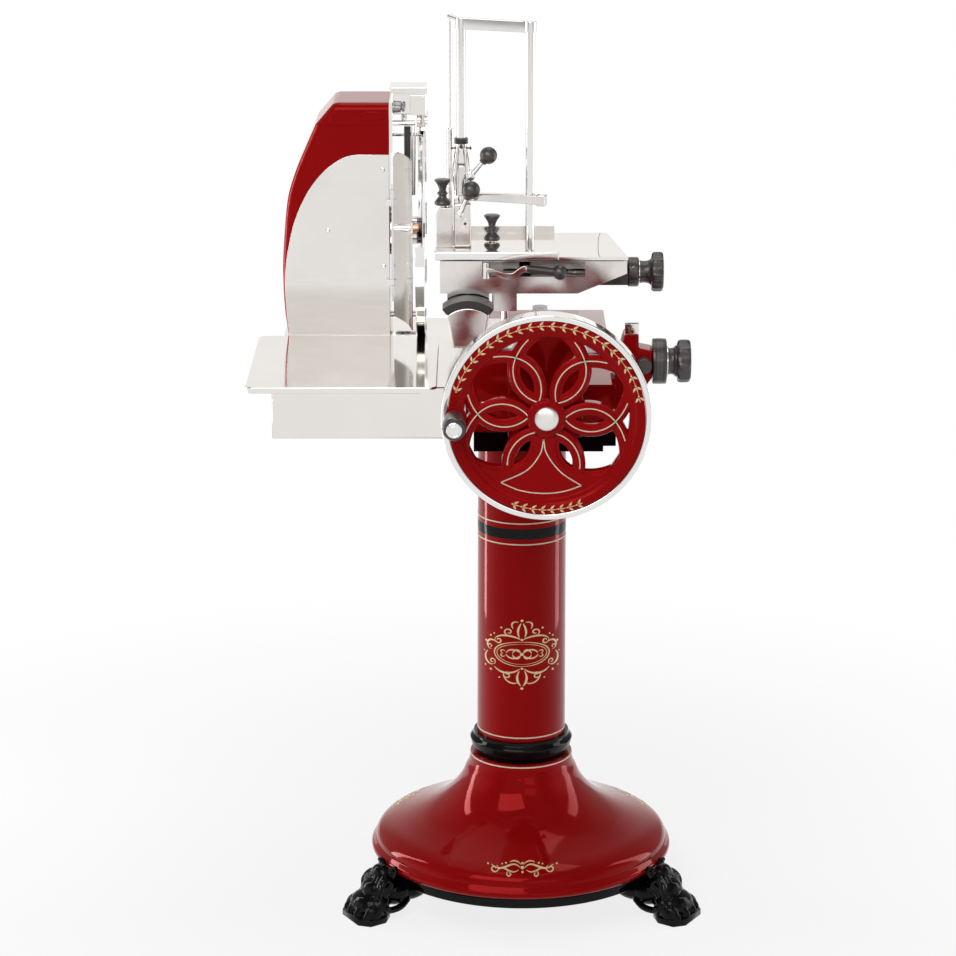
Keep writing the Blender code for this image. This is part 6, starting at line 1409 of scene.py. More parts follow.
def bar_along(node, radius_edge, surface, body, name):
    """Straight round rod of a frame solid, turned finely."""
    low, high = span(node)
    spread = high - low
    axis = "XYZ"[max(range(3), key=lambda k: spread[k])]
    index = "XYZ".index(axis)
    others = [k for k in range(3) if k != index]
    radius = spread[others[0]] / 2
    line = pin_line(radius, low[index], high[index], radius_edge)
    return piece(name, body, [(lathe(line, axis, middle(node), 56), look(surface))], [node])


def make_rails():
    """Guide rods with their front support, dark pad and rear support."""
    bar_along("rail_left", 0.0012, "bright_rod", "machine", "guide_rod_left")
    bar_along("rail_right", 0.0012, "bright_rod", "machine", "guide_rod_right")
    simple("rail_support", "front_rail_support", "machine", "cast_aluminium", 0.0016,
           steps=3)
    simple("rail_pad", "rail_slide_pad", "machine", "dark_pad", 0.0008)
    simple("rear_support", "rear_rail_support", "machine", "cast_aluminium", 0.0015)


def make_carriage():
    """Sliding carriage, the feed screw with its lobed knob, and the release lever."""
    shape = refined("carriage", 0.0016)
    for vert in shape.verts:
        x, y, z = vert.co
        if x > 0.150 and not (0.024 < y < 0.076 and z < 1.184):
            vert.co.x = x - max(0.0, y + 0.045) / 0.205 * 0.029
    body, bearing = parted(shape, lambda face: face.calc_center_median().x > 0.132
                           and 0.027 < face.calc_center_median().y < 0.073
                           and face.calc_center_median().z < 1.1825)
    # The recess faces take black enamel as painted shade: the dark inside the recess is painted on the casting,
    # not cast by the lamps
    body, recess = parted(body, lambda face: -0.0492 < face.calc_center_median().y < -0.004
                          and -0.080 < face.calc_center_median().x < 0.100
                          and 1.1600 < face.calc_center_median().z < 1.2012)
    piece("carriage_casting", "carriage", [(body, look("cast_aluminium")), (bearing, look("bakelite")),
                                           (recess, look("black_enamel"))],
          ["carriage"])

    centre = middle("feed_screw_knob")
    shape = refined("feed_screw_knob", 0.0003, 1, 40)
    bmesh.ops.bisect_plane(shape, geom=shape.verts[:] + shape.edges[:] + shape.faces[:],
                           plane_co=(0.1900, 0, 0), plane_no=(1, 0, 0), clear_outer=True)
    line = [(0.006, 0.1899), (0.0245, 0.1899), (0.0262, 0.1906), (0.0268, 0.1922), (0.0268, 0.2060),
            (0.0262, 0.2082), (0.0245, 0.2094), (0.0206, 0.2098), (0.0200, 0.2112), (0.0206, 0.2126),
            (0.0200, 0.2150), (0.0197, 0.2205), (0.0206, 0.2262), (0.0218, 0.2290), (0.0238, 0.2312),
            (0.0290, 0.2322, 0.04), (0.0335, 0.2331, 0.09), (0.0358, 0.2353, 0.13), (0.0365, 0.2390, 0.14),
            (0.0365, 0.2475, 0.14), (0.0358, 0.2510, 0.12), (0.0330, 0.2532, 0.08), (0.0260, 0.2539, 0.02),
            (0.0180, 0.2539), (0.0170, 0.2530), (0.0070, 0.2530), (0.0062, 0.2537),
            (0, 0.2537)]
    knob = lathe(line, "X", centre, 128, 8)
    ring = lathe([(0.0190, 0.2097), (0.0215, 0.2097), (0.0215, 0.2109), (0.0190, 0.2109)], "X", centre, 64)
    marker = blob((0.1990, centre.y - 0.0268 * math.cos(0.52), centre.z + 0.0268 * math.sin(0.52)),
                  (0.0024, 0.0010, 0.0022))
    piece("feed_knob", "feed_knob", [(shape, look("gear_steel")), (knob, look("bakelite")),
                                     (ring, look("chrome")),
                                     (marker, look("white_dot"))], ["feed_screw_knob"])

    low, high = span("release_lever")
    y = -0.0600
    hub = lathe(pin_line(0.0060, low.z + 0.0002, high.z - 0.0002, 0.0012), "Z", (-0.0655, -0.0529, 0), 36)
    bends = smooth_line([(-0.0660, 1.1870), (-0.0560, 1.1868), (-0.0440, 1.1815), (-0.0300, 1.1772),
                         (-0.0170, 1.1778), (-0.0080, 1.1840), (0.0000, 1.1890),
                         (0.0075, 1.1898)], 5)
    widths = [0.0036, 0.0040, 0.0046, 0.0052, 0.0054, 0.0052, 0.0056, 0.0058]
    upper, lower = [], []
    for number, point in enumerate(bends):
        share = number / (len(bends) - 1) * (len(widths) - 1)
        k = min(int(share), len(widths) - 2)
        half = widths[k] + (widths[k + 1] - widths[k]) * (share - k)
        before, after = bends[max(number - 1, 0)], bends[min(number + 1, len(bends) - 1)]
        along = (after - before).normalized()
        across = Vector((-along.y, along.x)) * half
        upper.append(tuple(point + across))
        lower.append(tuple(point - across))
    arm = slab([upper + lower[::-1]], "Y", y - 0.0030, y + 0.0030, 0.0010, 3)
    start, ball_at = Vector((0.0055, y, 1.1898)), Vector((0.0648, y, 1.1833))
    along = (ball_at - start).normalized()
    reach = (ball_at - start).length
    stops = ((0.00, 0.0052), (0.012, 0.0064), (0.04, 0.0068), (0.35, 0.0070), (0.62, 0.0072),
             (0.76, 0.0070), (0.80, 0.0078),
             (1.0, 0.0060))
    grip = tube([start + along * reach * share for share, _ in stops], [r for _, r in stops], 40)
    collar = tube([start - along * 0.0016, start + along * 0.0012], 0.0060, 32)
    dark = look("bakelite")
    piece("table_lever", "release_lever", [(hub, look("chrome")), (arm, look("cast_aluminium")),
                                           (collar, look("chrome")), (grip, dark),
                                           (ball(ball_at, 0.01345, 48), dark)],
          ["release_lever"])


def make_table():
    """Meat table with the dark joint of its end plate, and its turned-up front lip."""
    top = 1.2090
    joint = [Vector((x, y, top)) for x, y in smooth_line([(0.1360, -0.0480), (0.1342, -0.0200),
                                                          (0.1362, 0.0600),
                                                         (0.1400, 0.1300), (0.1440, 0.1680)], 6)]
    seam = stripe(joint, [Vector((0, 0, 1))] * len(joint), 0.0013, 0.00015)
    simple("table", "meat_table", "table", "brushed_sheet", 0.0010, [(seam, look("dark_pad"))],
           steps=3,
           angle=35)
    simple("table_lip", "table_front_lip", "table", "chrome", 0.0008, steps=3)


def waisted(node, body, name):
    """Small black knob with a waist and a bright collar."""
    low, high = span(node)
    centre = middle(node)
    radius, length = (high.x - low.x) / 2, high.z - low.z
    collar = [(0.0, 0.00), (0.52, 0.00), (0.55, 0.01), (0.55, 0.035), (0.50, 0.045), (0.0, 0.045)]
    shares = [(0.0, 0.045), (0.60, 0.045), (0.90, 0.055), (0.985, 0.085), (1.0, 0.125), (0.97, 0.165),
              (0.80, 0.235), (0.58, 0.31), (0.47, 0.375), (0.45, 0.405), (0.58, 0.425), (0.635, 0.445),
              (0.64, 0.48), (0.60, 0.515), (0.46, 0.545), (0.43, 0.585), (0.46, 0.65), (0.58, 0.745),
              (0.78, 0.84), (0.95, 0.90), (1.0, 0.935), (0.99, 0.965), (0.90, 0.985), (0.60, 0.998),
              (0.0, 1.0)]
    black = lathe([(radius * a, low.z + length * b) for a, b in shares], "Z", centre, 48)
    ring = lathe([(radius * a, low.z + length * b) for a, b in collar], "Z", centre, 40)
    piece(name, body, [(black, look("bakelite")), (ring, look("chrome"))], [node])


def ball_handle(node, body, name, pivot_at, ball_at, radius):
    """Clamping lever: a turned hub, a tapered steel bar with a ferrule and a round ball."""
    pivot, end = Vector(pivot_at), Vector(ball_at)
    half = 0.0047
    line = pin_line(0.0075, pivot.y - half, pivot.y + half, 0.0011)
    along = (end - pivot).normalized()
    reach = (end - pivot).length
    stops = [(0.004, 0.0042), (0.30, 0.0041), (0.55, 0.0036), (1.0, 0.0036)]
    bar = tube([pivot + along * reach * share for share, _ in stops], [r for _, r in stops], 24)
    collar = [end - along * (radius + 0.0022), end - along * (radius + 0.0018),
              end - along * (radius - 0.0003),
              end - along * (radius - 0.0040)]
    ferrule = tube(collar, [0.0056, 0.0063, 0.0070, 0.0078], 28)
    head = screw((pivot.x, pivot.y - half + 0.0004, pivot.z), "Y", -1, 0.0044, 40)
    for vert in head.verts:
        vert.co.y = max(vert.co.y, span(node)[0].y)
    parts = [(lathe(line, "Y", pivot, 40), look("chrome")), (bar, look("chrome")),
             (head, look("blade_steel")), (ferrule, look("bakelite")),
             (ball(end, radius * 0.9995, 48), look("bakelite"))]
    piece(name, body, parts, [node], sharp=50)


def make_crossbar():
    """Bar over the two posts with its ear and thin rod, and the guide tube that the rod ends in."""
    posts = [Vector(((a.x + b.x) / 2, (a.y + b.y) / 2)) for a, b in
             (span("clamp_post_left"), span("clamp_post_right"))]
    low, high = span("clamp_crossbar")
    run = posts[1] - posts[0]
    lean = math.degrees(math.atan2(run.y, run.x))
    under = high.z - 0.0200
    side = Vector((-run.y, run.x)).normalized() * 0.0066
    neck = run.normalized() * 0.014
    end_radius, opening = 0.0098, 138
    outline = arc(posts[1], end_radius, lean - opening, lean + opening, 24)
    outline += [tuple(posts[1] - neck + side), tuple(posts[0] + neck + side)]
    outline += arc(posts[0], end_radius, lean + 180 - opening, lean + 180 + opening, 24)
    outline += [tuple(posts[0] + neck - side), tuple(posts[1] - neck - side)]
    parts = [slab([outline], "Z", under, high.z - 0.0002, 0.0010, 3)]
    tube_at = middle("guide_tube")
    ear = [(tube_at.x, tube_at.y + 0.0056), (tube_at.x - 0.0056, tube_at.y),
           (posts[0].x - 0.0050, posts[0].y), (posts[0].x + 0.0050, posts[0].y),
           (tube_at.x + 0.0056, tube_at.y + 0.002)]
    parts.append(slab([fillet(ear, 0.003, 4, closed=True)], "Z", high.z - 0.0072, high.z - 0.0015, 0.0008,
                      2))
    parts.append(lathe(pin_line(0.0034, low.z + 0.0002, high.z - 0.0010, 0.0006, 3), "Z", tube_at, 32))
    for post in posts:
        dome = [(0, high.z - 0.0010), (0.0056, high.z - 0.0010), (0.0052, high.z - 0.0002),
                (0, high.z - 0.0001)]
        parts.append(lathe(dome, "Z", (post.x, post.y, 0), 32))
    piece("crossbar", "table", [(shape, look("chrome")) for shape in parts], ["clamp_crossbar"])

    low, high = span("guide_tube")
    radius, shoulder = (high.x - low.x) / 2, 1.4120
    line = fillet([(0, low.z), (radius, low.z), (radius, shoulder), (0.0040, shoulder),
                   (0.0034, shoulder + 0.0008), (0.0034, high.z),
                   (0, high.z)], 0.0008, 3)
    piece("press_tube", "table", [(lathe(line, "Z", tube_at, 48), look("bright_rod"))], ["guide_tube"])


def make_press():
    """Press clamp: ribbed collar, cross pin and forked body on one post, and the arm past the other."""
    metal, chrome, dark = look("cast_aluminium"), look("chrome"), look("bakelite")
    post, far_post = middle("clamp_post_left"), middle("clamp_post_right")
    at = (post.x, post.y, 0)
    bore = 0.0080
    line = [(bore, 1.3006), (0.0122, 1.3006), (0.0132, 1.3016), (0.0134, 1.3090), (0.0146, 1.3180),
            (0.0154, 1.3300), (0.0155, 1.3430), (0.0150, 1.3540), (0.0138, 1.3650), (0.0122, 1.3745),
            (0.0112, 1.3800), (0.0108, 1.3870), (0.0102, 1.3885),
            (bore, 1.3885)]
    parts = [(lathe(line, "Z", at, 56), metal)]
    neck = [(bore, 1.3880), (0.0094, 1.3880), (0.0094, 1.3935), (bore, 1.3935)]
    parts.append((lathe(neck, "Z", at, 48), chrome))
    ribs = [(bore, 1.3930), (0.0112, 1.3930)]
    for k in range(3):
        z = 1.3932 + 0.0034 * k
        ribs += [(0.0118, z), (0.0124, z + 0.0006), (0.0124, z + 0.0022), (0.0118, z + 0.0028),
                 (0.0110, z + 0.0031)]
    ribs += [(0.0108, 1.4040), (bore, 1.4040)]
    parts.append((lathe(ribs, "Z", at, 56), dark))
    for side in (-1, 1):
        rib = smooth_line([(post.x + side * 0.0060, post.y - 0.0098, 1.3860),
                           (post.x + side * 0.0082, post.y - 0.0112, 1.3700),
                           (post.x + side * 0.0104, post.y - 0.0122, 1.3500),
                           (post.x + side * 0.0110, post.y - 0.0122, 1.3300),
                           (post.x + side * 0.0096, post.y - 0.0110, 1.3120)], 5)
        parts.append((tube(rib, 0.0030, 14), chrome))
        pin = [(0, post.x + side * 0.0080), (0.0014, post.x + side * 0.0080),
               (0.0014, post.x + side * 0.0150), (0.0026, post.x + side * 0.0152),
               (0.0030, post.x + side * 0.0166), (0.0026, post.x + side * 0.0182),
               (0, post.x + side * 0.0186)]
        parts.append((lathe(pin, "X", (0, post.y - 0.0040, 1.3855), 24), dark))
    tongue = slab([[(post.x - 0.0052, 1.3600), (post.x + 0.0052, 1.3600), (post.x + 0.0046, 1.3740),
                    (post.x + 0.0030, 1.3860), (post.x - 0.0030, 1.3860),
                    (post.x - 0.0046, 1.3740)]], "Y", post.y - 0.0148,
                    post.y - 0.0090, 0.0010, 3)
    lower = slab([fillet([(post.x - 0.0062, 1.3060), (post.x + 0.0062, 1.3060), (post.x + 0.0068, 1.3555),
                          (post.x - 0.0050, 1.3555)], 0.003, 5, closed=True)], "Y", post.y - 0.0172,
                          post.y - 0.0100,
                 0.0018, 4)
    gap = tube([(post.x - 0.0058, post.y - 0.0158, 1.3578), (post.x, post.y - 0.0168, 1.3584),
                (post.x + 0.0062, post.y - 0.0158, 1.3578)], 0.0011, 12)
    socket = lathe([(0, post.y - 0.0150), (0.0030, post.y - 0.0150), (0.0034, post.y - 0.0142),
                    (0.0034, post.y - 0.0100),
                    (0, post.y - 0.0100)], "Y", (post.x, 0, 1.3890), 28)
    parts += [(tongue, chrome), (lower, metal), (gap, dark), (socket, dark)]
    pivot = Vector((-0.0935, 0.0400, 1.3370))
    boss = pin_line(0.0085, pivot.y + 0.0050, post.y, 0.0010)
    parts.append((lathe(boss, "Y", pivot, 40), metal))
    parts.append((chamfered((post.x + 0.006, post.y - 0.0090, 1.3270),
                            (pivot.x + 0.004, post.y + 0.0040, 1.3460), 0.0022, 3),
                  metal))
    run = Vector((far_post.x - post.x, far_post.y - post.y, 0))
    along = run.normalized()
    across = Vector((-along.y, along.x, 0))
    near, far = Vector(at) + along * 0.0090, Vector((far_post.x, far_post.y, 0)) + along * 0.0298
    shape = bmesh.new()
    rows = []
    for spot, half, low, high in ((near, 0.0068, 1.2915, 1.3045),
                                  (near + run * 0.30, 0.0074, 1.2925, 1.3062),
                                  (near + run * 0.62, 0.0082, 1.2930, 1.3078),
                                  (far - along * 0.0150, 0.0084, 1.2930, 1.3096),
                                  (far - along * 0.0146, 0.0084, 1.2907, 1.3100),
                                  (far, 0.0084, 1.2907, 1.3103)):
        rows.append([shape.verts.new(spot + across * a * half + Vector((0, 0, b)))
                     for a, b in ((-1, low), (1, low), (1, high), (-1, high))])
    for first, second in zip(rows, rows[1:]):
        bridge(shape, first, second)
    shape.faces.new(rows[0])
    shape.faces.new(rows[-1])
    bmesh.ops.recalc_face_normals(shape, faces=shape.faces)
    long_edges = [edge for edge in shape.edges if edge.calc_face_angle(0.0) > 0.5]
    bmesh.ops.bevel(shape, geom=long_edges, offset=0.0016, segments=3, profile=0.5, affect="EDGES")
    hole = lathe([(0, 1.28), (bore, 1.28), (bore, 1.32), (0, 1.32)], "Z", (far_post.x, far_post.y, 0), 40)
    parts.append((cut(shape, hole), metal))
    piece("press", "clamp", parts, ["press_clamp"])


def make_clamp():
    """Posts, crossbar, guide tube, post block, press clamp, levers and small knobs."""
    for side in ("left", "right"):
        node = f"clamp_post_{side}"
        low, high = span(node)
        radius = (high.x - low.x) / 2
        line = fillet([(0, low.z), (radius, low.z), (radius, high.z - 0.0060), (0.0050, high.z - 0.0058),
                       (0.0048, high.z), (0, high.z)], 0.0010, 3)
        piece(f"post_{side}", "table", [(lathe(line, "Z", middle(node), 56), look("bright_rod"))], [node])
    make_crossbar()
    face = span("clamp_post_block")[0].y
    boss = lathe(pin_line(0.0095, face + 0.002, face - 0.0014, 0.0008, 3), "Y", (-0.1030, 0, 1.2530), 6)
    # Dark disc on the boss's face: painted shade that stands in for the inside of a hole
    hole = lathe([(0, face - 0.0013), (0.0026, face - 0.0013), (0.0024, face - 0.0018), (0, face - 0.0018)],
                 "Y", (-0.1030, 0, 1.2530),
                 24)
    extras = [(boss, look("cast_aluminium")), (hole, look("dark_pad"))]
    simple("post_block", "clamp_post_block", "table", "cast_aluminium", 0.0028, extras,
           steps=3)
    make_press()
    waisted("block_knob", "block_knob", "block_clamp_knob")
    waisted("table_knob", "table_knob", "table_clamp_knob")
    ball_handle("clamp_lever", "clamp_lever", "press_lever", (-0.0935, 0.040, 1.337),
                (-0.0612, 0.040, 1.375), 0.0155)
    ball_handle("block_lever", "block_lever", "post_lever", (-0.113, 0.027, 1.270), (-0.0927, 0.015, 1.317),
                0.0165)


def make_thickness():
    """Thickness dial with its lobed knob, the red bracket, silver tab and dark stop."""
    simple("dial_bracket", "thickness_bracket", "machine", "red_enamel", 0.0024, steps=3)
    low = span("thickness_tab")[0]
    dot_at = [(lathe([(0, low.y + 0.0002), (0.0024, low.y + 0.0002), (0.0022, low.y - 0.0006),
                      (0, low.y - 0.0007)], "Y",
                     (middle("thickness_tab").x, 0, low.z + 0.0095), 24), look("gear_steel"))]
    simple("dial_tab", "thickness_tab", "machine", "brushed_sheet", 0.0006, dot_at)
    simple("dial_stop", "thickness_stop", "machine", "bakelite", 0.0012, steps=3)
    low = span("thickness_knob")[0]
    centre = middle("thickness_knob")
    line = [(0, low.x + 0.0002), (0.0078, low.x + 0.0002), (0.0078, 0.2281), (0.0385, 0.2281),
            (0.0400, 0.2288), (0.0405, 0.2302), (0.0405, 0.2322), (0.0397, 0.2327), (0.0397, 0.2335),
            (0.0405, 0.2340), (0.0405, 0.2462), (0.0397, 0.2467), (0.0397, 0.2475), (0.0405, 0.2480),
            (0.0404, 0.2504), (0.0390, 0.2524), (0.0365, 0.2530), (0.0300, 0.2531), (0.0262, 0.2536),
            (0.0262, 0.2556), (0.0240, 0.2562), (0.0232, 0.2600), (0.0236, 0.2640), (0.0250, 0.2668),
            (0.0272, 0.2680), (0.0278, 0.2696), (0.0272, 0.2708), (0.0300, 0.2716, 0.03),
            (0.0350, 0.2724, 0.08), (0.0382, 0.2748, 0.12), (0.0390, 0.2790, 0.14), (0.0390, 0.2880, 0.14),
            (0.0382, 0.2925, 0.12), (0.0355, 0.2950, 0.08), (0.0300, 0.2958, 0.03), (0.0200, 0.2959),
            (0.0185, 0.2950), (0.0085, 0.2950), (0.0075, 0.2956),
            (0, 0.2956)]
    ring = lathe([(0.0235, 0.2537), (0.0270, 0.2537), (0.0270, 0.2552), (0.0235, 0.2552)], "X", centre, 72)
    piece("dial", "thickness_knob", [(lathe(line, "X", centre, 160, 8), look("bakelite")),
                                     (ring, look("chrome"))],
          ["thickness_knob"])


# Stage

CAMERA_LENS = 124.3
CAMERA_AT = (-0.0033, -5.8535, 2.393)
CAMERA_TILT = 74.5
FLOOR_HALF = 9.0
# Name, place, aim, width and height, power of each soft box
LAMPS = (("left_softbox", (-1.50, 0.42, 0.98), (0, 0.1, 0.98), (0.26, 1.90), 12.0),
         ("right_softbox", (1.60, 0.30, 0.98), (0, 0.1, 0.98), (0.42, 1.90), 8.0),
         ("front_softbox", (-0.70, -2.00, 2.65), (0, -0.2, 1.10), (2.0, 1.5), 36.0),
         ("low_softbox", (0.90, -2.60, 1.80), (0, 0, 0.40), (1.0, 0.8), 3.0),
         ("top_softbox", (0.2, 0.5, 3.4), (0, 0, 0.9), (1.6, 1.6), 12.0))


def fill_ramp(node, stops):
    """Sets a colour ramp to greys at given places."""
    band = node.color_ramp
    while len(band.elements) < len(stops):
        band.elements.new(0.5)
    for element, (spot, value) in zip(band.elements, stops):
        element.position = spot
        element.color = (value, value * 0.985, value * 0.965, 1)


def make_camera(scene):
    """Camera at the photograph's angle, with plain colours."""
    lens = bpy.data.cameras.new("view")
    lens.lens = CAMERA_LENS
    lens.clip_end = 50
    camera = bpy.data.objects.new("view", lens)
    camera.location = CAMERA_AT
    camera.rotation_euler = (math.radians(CAMERA_TILT), 0, 0)
    scene.collection.objects.link(camera)
    scene.camera = camera
    scene.view_settings.view_transform = "Standard"
    scene.view_settings.look = "None"


def ramp_of(tree, factor, stops):
    """Grey ramp driven by a socket."""
    ramp = add(tree, "ValToRGB", {"Fac": factor})
    fill_ramp(ramp, stops)
    return ramp.outputs["Color"]


def make_surround(scene):
    """White room: plain to the camera, shaded in the metal, soft on the rest."""
    world = bpy.data.worlds.new("surround")
    scene.world = world
    world.use_nodes = True
    tree = world.node_tree
    tree.nodes.clear()
    split = add(tree, "SeparateXYZ", {"Vector": add(tree, "TexCoord").outputs["Generated"]})
    height = ramp_of(tree, split.outputs["Z"], ((0.0, 0.86), (0.22, 0.90), (0.45, 0.42), (0.75, 0.20),
                                                (1.0, 0.34)))
    soft = add(tree, "Background", {"Color": height, "Strength": 0.22})
    behind = add(tree, "MapRange", {"Value": split.outputs["Y"], "From Min": -0.25, "From Max": 0.05},
                 interpolation_type="SMOOTHSTEP")
    aside = add(tree, "Math", {0: split.outputs["X"]}, operation="ABSOLUTE").outputs["Value"]
    room = ramp_of(tree, aside, ((0.0, 0.95), (0.45, 0.92), (0.62, 0.40), (0.78, 0.40), (0.92, 1.0)))
    rear = ramp_of(tree, aside, ((0.0, 1.0), (0.22, 1.0), (0.42, 0.35), (0.84, 0.35), (0.96, 1.0)))
    front = add(tree, "Mix", {"Factor": behind.outputs["Result"], "A": room, "B": rear}, data_type="RGBA")
    above = add(tree, "MapRange", {"Value": split.outputs["Z"], "From Min": 0.45, "From Max": 0.95,
                                   "To Min": 1.0, "To Max": 0.40})
    both = add(tree, "VectorMath", {0: front.outputs["Result"], 1: above.outputs["Result"]},
               operation="MULTIPLY")
    shiny = add(tree, "Background", {"Color": both.outputs["Vector"]})
    white = add(tree, "Background", {"Color": (1, 1, 1, 1), "Strength": 1.0})
    ray = add(tree, "LightPath").outputs
    seen = add(tree, "Math", {0: ray["Is Glossy Ray"], 1: ray["Is Transmission Ray"]}, operation="MAXIMUM")
    inner = add(tree, "MixShader", {"Fac": seen.outputs["Value"], 1: soft.outputs["Background"],
                                    2: shiny.outputs["Background"]})
    blend = add(tree, "MixShader", {"Fac": ray["Is Camera Ray"], 1: inner.outputs["Shader"],
                                    2: white.outputs["Background"]})
    add(tree, "OutputWorld", {"Surface": blend.outputs["Shader"]})


def make_lamps(scene):
    """Soft boxes that light the piece evenly."""
    for name, at, aim, extent, power in LAMPS:
        light = bpy.data.lights.new(name, "AREA")
        light.shape = "RECTANGLE"
        light.size, light.size_y = extent
        light.energy = power
        lamp = bpy.data.objects.new(name, light)
        lamp.location = at
        lamp.rotation_euler = (Vector(aim) - Vector(at)).to_track_quat("-Z", "Y").to_euler()
        scene.collection.objects.link(lamp)


def make_floor(scene):
    """Wide flat floor."""
    shape = bmesh.new()
    half = FLOOR_HALF
    corners = [shape.verts.new((x * half, y * half, 0)) for x, y in ((-1, -1), (1, -1), (1, 1), (-1, 1))]
    shape.faces.new(corners)
    mesh = bpy.data.meshes.new("floor")
    shape.to_mesh(mesh)
    shape.free()
    floor = bpy.data.objects.new("floor", mesh)
    scene.collection.objects.link(floor)
    mesh.materials.append(floor_finish())


def floor_finish():
    """Pale floor that looks white to the camera and in the metal but still takes a soft shadow."""
    surface = bpy.data.materials.new("pale_floor")
    surface.use_nodes = True
    tree = surface.node_tree
    shader = tree.nodes["Principled BSDF"]
    for label, value in (("Base Color", (*colours().floor, 1)), ("Roughness", 0.85),
                         ("Specular IOR Level", 0.0)):
        shader.inputs[label].default_value = value
    glow = add(tree, "Emission", {"Color": (1, 1, 1, 1), "Strength": 1.0})
    ray = add(tree, "LightPath").outputs
    seen = add(tree, "Math", {0: ray["Is Camera Ray"], 1: ray["Is Glossy Ray"]}, operation="MAXIMUM")
    far = add(tree, "VectorMath", {0: add(tree, "TexCoord").outputs["Object"]}, operation="LENGTH")
    fade = add(tree, "MapRange", {"Value": far.outputs["Value"], "From Min": 0.30, "From Max": 1.9,
                                  "To Min": 0.82},
               interpolation_type="SMOOTHSTEP")
    share = add(tree, "Math", {0: seen.outputs["Value"], 1: fade.outputs["Result"]}, operation="MULTIPLY")
    blend = add(tree, "MixShader", {"Fac": share.outputs["Value"], 1: shader.outputs["BSDF"],
                                    2: glow.outputs["Emission"]})
    tree.links.new(blend.outputs["Shader"], tree.nodes["Material Output"].inputs["Surface"])
    return surface


def make_stage():
    """Camera, soft lamps, white surround and a pale floor."""
    scene = bpy.context.scene
    make_camera(scene)
    make_surround(scene)
    make_lamps(scene)
    make_floor(scene)


# Operators, panel and start

class SlicerStep:
    """What every build step shares. A step without its settings can't start, and a failed one raises."""
    bl_options = {"REGISTER", "UNDO"}

    @classmethod
    def poll(cls, context):
        return hasattr(context.scene, "slicer_sizes")


class SLICER_OT_finishes(SlicerStep, bpy.types.Operator):
    """Makes the materials"""
    bl_idname = "slicer.finishes"
    bl_label = "Finishes"

    def execute(self, context):
        make_finishes()
        return {"FINISHED"}


class SLICER_OT_pedestal(SlicerStep, bpy.types.Operator):
    """Builds the bell, skirt, ring and column"""
    bl_idname = "slicer.pedestal"
    bl_label = "Pedestal"

    def execute(self, context):
        make_pedestal()
        return {"FINISHED"}


class SLICER_OT_feet(SlicerStep, bpy.types.Operator):
    """Builds the three cast paws"""
    bl_idname = "slicer.feet"
    bl_label = "Paw feet"

    def execute(self, context):
        make_feet()
        return {"FINISHED"}


class SLICER_OT_base(SlicerStep, bpy.types.Operator):
    """Builds the foot frame, housing and pillar"""
    bl_idname = "slicer.base"
    bl_label = "Machine base"

    def execute(self, context):
        make_base()
        return {"FINISHED"}


class SLICER_OT_flywheel(SlicerStep, bpy.types.Operator):
    """Builds the flywheel with its handle"""
    bl_idname = "slicer.flywheel"
    bl_label = "Flywheel"

    def execute(self, context):
        make_flywheel()
        make_tyre()
        make_grip()
        return {"FINISHED"}


class SLICER_OT_drive(SlicerStep, bpy.types.Operator):
    """Finishes the shafts, gears, chain and rod"""
    bl_idname = "slicer.drive"
    bl_label = "Drive"

    def execute(self, context):
        make_drive()
        return {"FINISHED"}


class SLICER_OT_cover(SlicerStep, bpy.types.Operator):
    """Builds the side box, cover, lid, wall and tray"""
    bl_idname = "slicer.cover"
    bl_label = "Cover and tray"

    def execute(self, context):
        make_cover()
        make_lid()
        make_wall()
        make_tray()
        return {"FINISHED"}


class SLICER_OT_blade(SlicerStep, bpy.types.Operator):
    """Builds the blade, guard and arm"""
    bl_idname = "slicer.blade"
    bl_label = "Blade"

    def execute(self, context):
        make_blade()
        return {"FINISHED"}


class SLICER_OT_sharpener(SlicerStep, bpy.types.Operator):
    """Builds the sharpener and its knob"""
    bl_idname = "slicer.sharpener"
    bl_label = "Sharpener"

    def execute(self, context):
        make_sharpener()
        return {"FINISHED"}


class SLICER_OT_deflector(SlicerStep, bpy.types.Operator):
    """Builds the slice deflector with its pin and knob"""
    bl_idname = "slicer.deflector"
    bl_label = "Deflector"

    def execute(self, context):
        make_deflector()
        return {"FINISHED"}


class SLICER_OT_rails(SlicerStep, bpy.types.Operator):
    """Builds the guide rods and their supports"""
    bl_idname = "slicer.rails"
    bl_label = "Rails"

    def execute(self, context):
        make_rails()
        return {"FINISHED"}


class SLICER_OT_carriage(SlicerStep, bpy.types.Operator):
    """Builds the carriage, feed knob and lever"""
    bl_idname = "slicer.carriage"
    bl_label = "Carriage"

    def execute(self, context):
        make_carriage()
        return {"FINISHED"}


class SLICER_OT_table(SlicerStep, bpy.types.Operator):
    """Builds the meat table and its lip"""
    bl_idname = "slicer.table"
    bl_label = "Meat table"

    def execute(self, context):
        make_table()
        return {"FINISHED"}


class SLICER_OT_clamp(SlicerStep, bpy.types.Operator):
    """Builds the posts, press, levers and small knobs"""
    bl_idname = "slicer.clamp"
    bl_label = "Clamp frame"

    def execute(self, context):
        make_clamp()
        return {"FINISHED"}


class SLICER_OT_thickness(SlicerStep, bpy.types.Operator):
    """Builds the dial, bracket, tab and stop"""
    bl_idname = "slicer.thickness"
    bl_label = "Thickness dial"

    def execute(self, context):
        make_thickness()
        return {"FINISHED"}


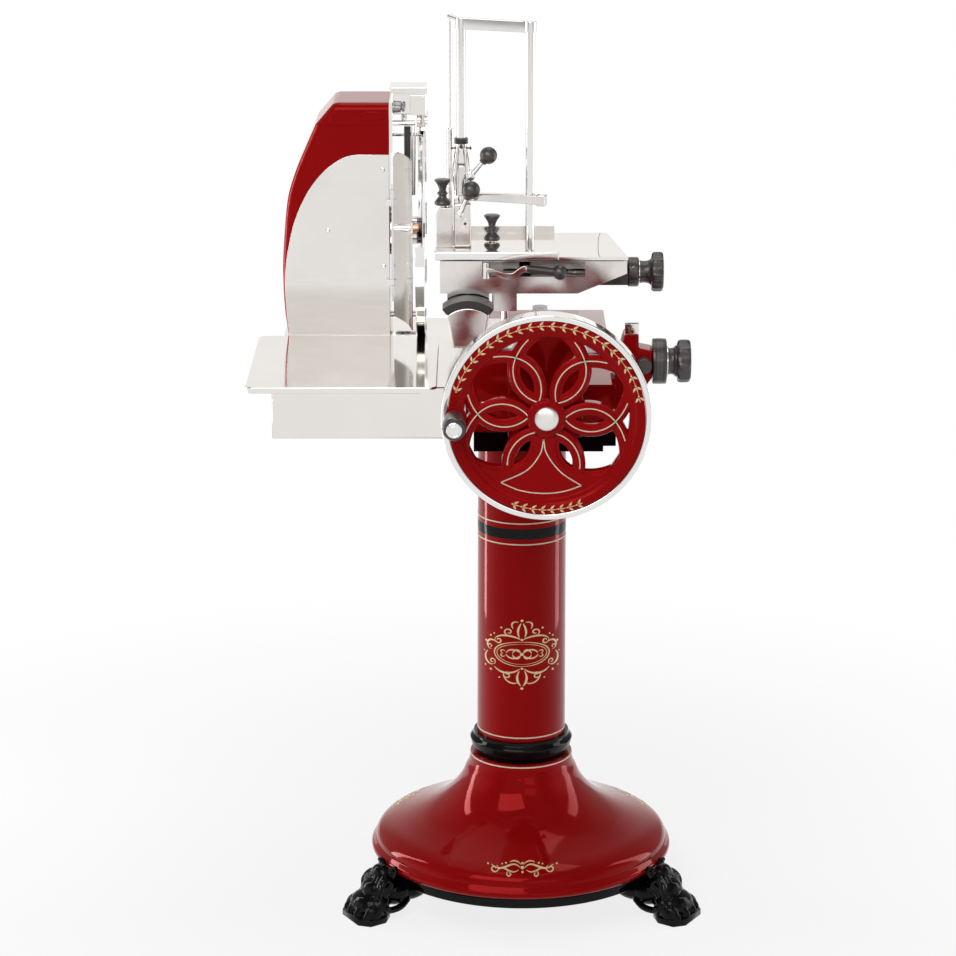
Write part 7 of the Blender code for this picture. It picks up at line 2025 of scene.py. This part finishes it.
class SLICER_OT_stage(SlicerStep, bpy.types.Operator):
    """Sets the camera, lamps, surround and floor"""
    bl_idname = "slicer.stage"
    bl_label = "Stage"

    def execute(self, context):
        make_stage()
        return {"FINISHED"}


STEPS = (SLICER_OT_finishes, SLICER_OT_pedestal, SLICER_OT_feet, SLICER_OT_base, SLICER_OT_flywheel,
         SLICER_OT_drive, SLICER_OT_cover, SLICER_OT_blade, SLICER_OT_sharpener, SLICER_OT_deflector,
         SLICER_OT_rails, SLICER_OT_carriage, SLICER_OT_table, SLICER_OT_clamp, SLICER_OT_thickness,
         SLICER_OT_stage)


class SLICER_PT_panel(bpy.types.Panel):
    """Lists the slicer's settings and build steps."""
    bl_label = "Meat slicer"
    bl_idname = "SLICER_PT_panel"
    bl_space_type = "VIEW_3D"
    bl_region_type = "UI"
    bl_category = "Slicer"

    def draw(self, context):
        for group in (context.scene.slicer_sizes, context.scene.slicer_colours):
            box = self.layout.box()
            for name in group.__annotations__:
                box.prop(group, name)
        for step in STEPS:
            self.layout.operator(step.bl_idname)


CLASSES = (SlicerSizes, SlicerColours, SLICER_PT_panel) + STEPS


def register():
    for entry in CLASSES:
        bpy.utils.register_class(entry)
    bpy.types.Scene.slicer_sizes = bpy.props.PointerProperty(type=SlicerSizes)
    bpy.types.Scene.slicer_colours = bpy.props.PointerProperty(type=SlicerColours)


def unregister():
    del bpy.types.Scene.slicer_colours
    del bpy.types.Scene.slicer_sizes
    for entry in reversed(CLASSES):
        bpy.utils.unregister_class(entry)


def main():
    """Registers the add-on and builds every piece in order."""
    register()
    bpy.ops.slicer.finishes()
    bpy.ops.slicer.pedestal()
    bpy.ops.slicer.feet()
    bpy.ops.slicer.base()
    bpy.ops.slicer.flywheel()
    bpy.ops.slicer.drive()
    bpy.ops.slicer.cover()
    bpy.ops.slicer.blade()
    bpy.ops.slicer.sharpener()
    bpy.ops.slicer.deflector()
    bpy.ops.slicer.rails()
    bpy.ops.slicer.carriage()
    bpy.ops.slicer.table()
    bpy.ops.slicer.clamp()
    bpy.ops.slicer.thickness()
    bpy.ops.slicer.stage()


if __name__ == "__main__":
    main()
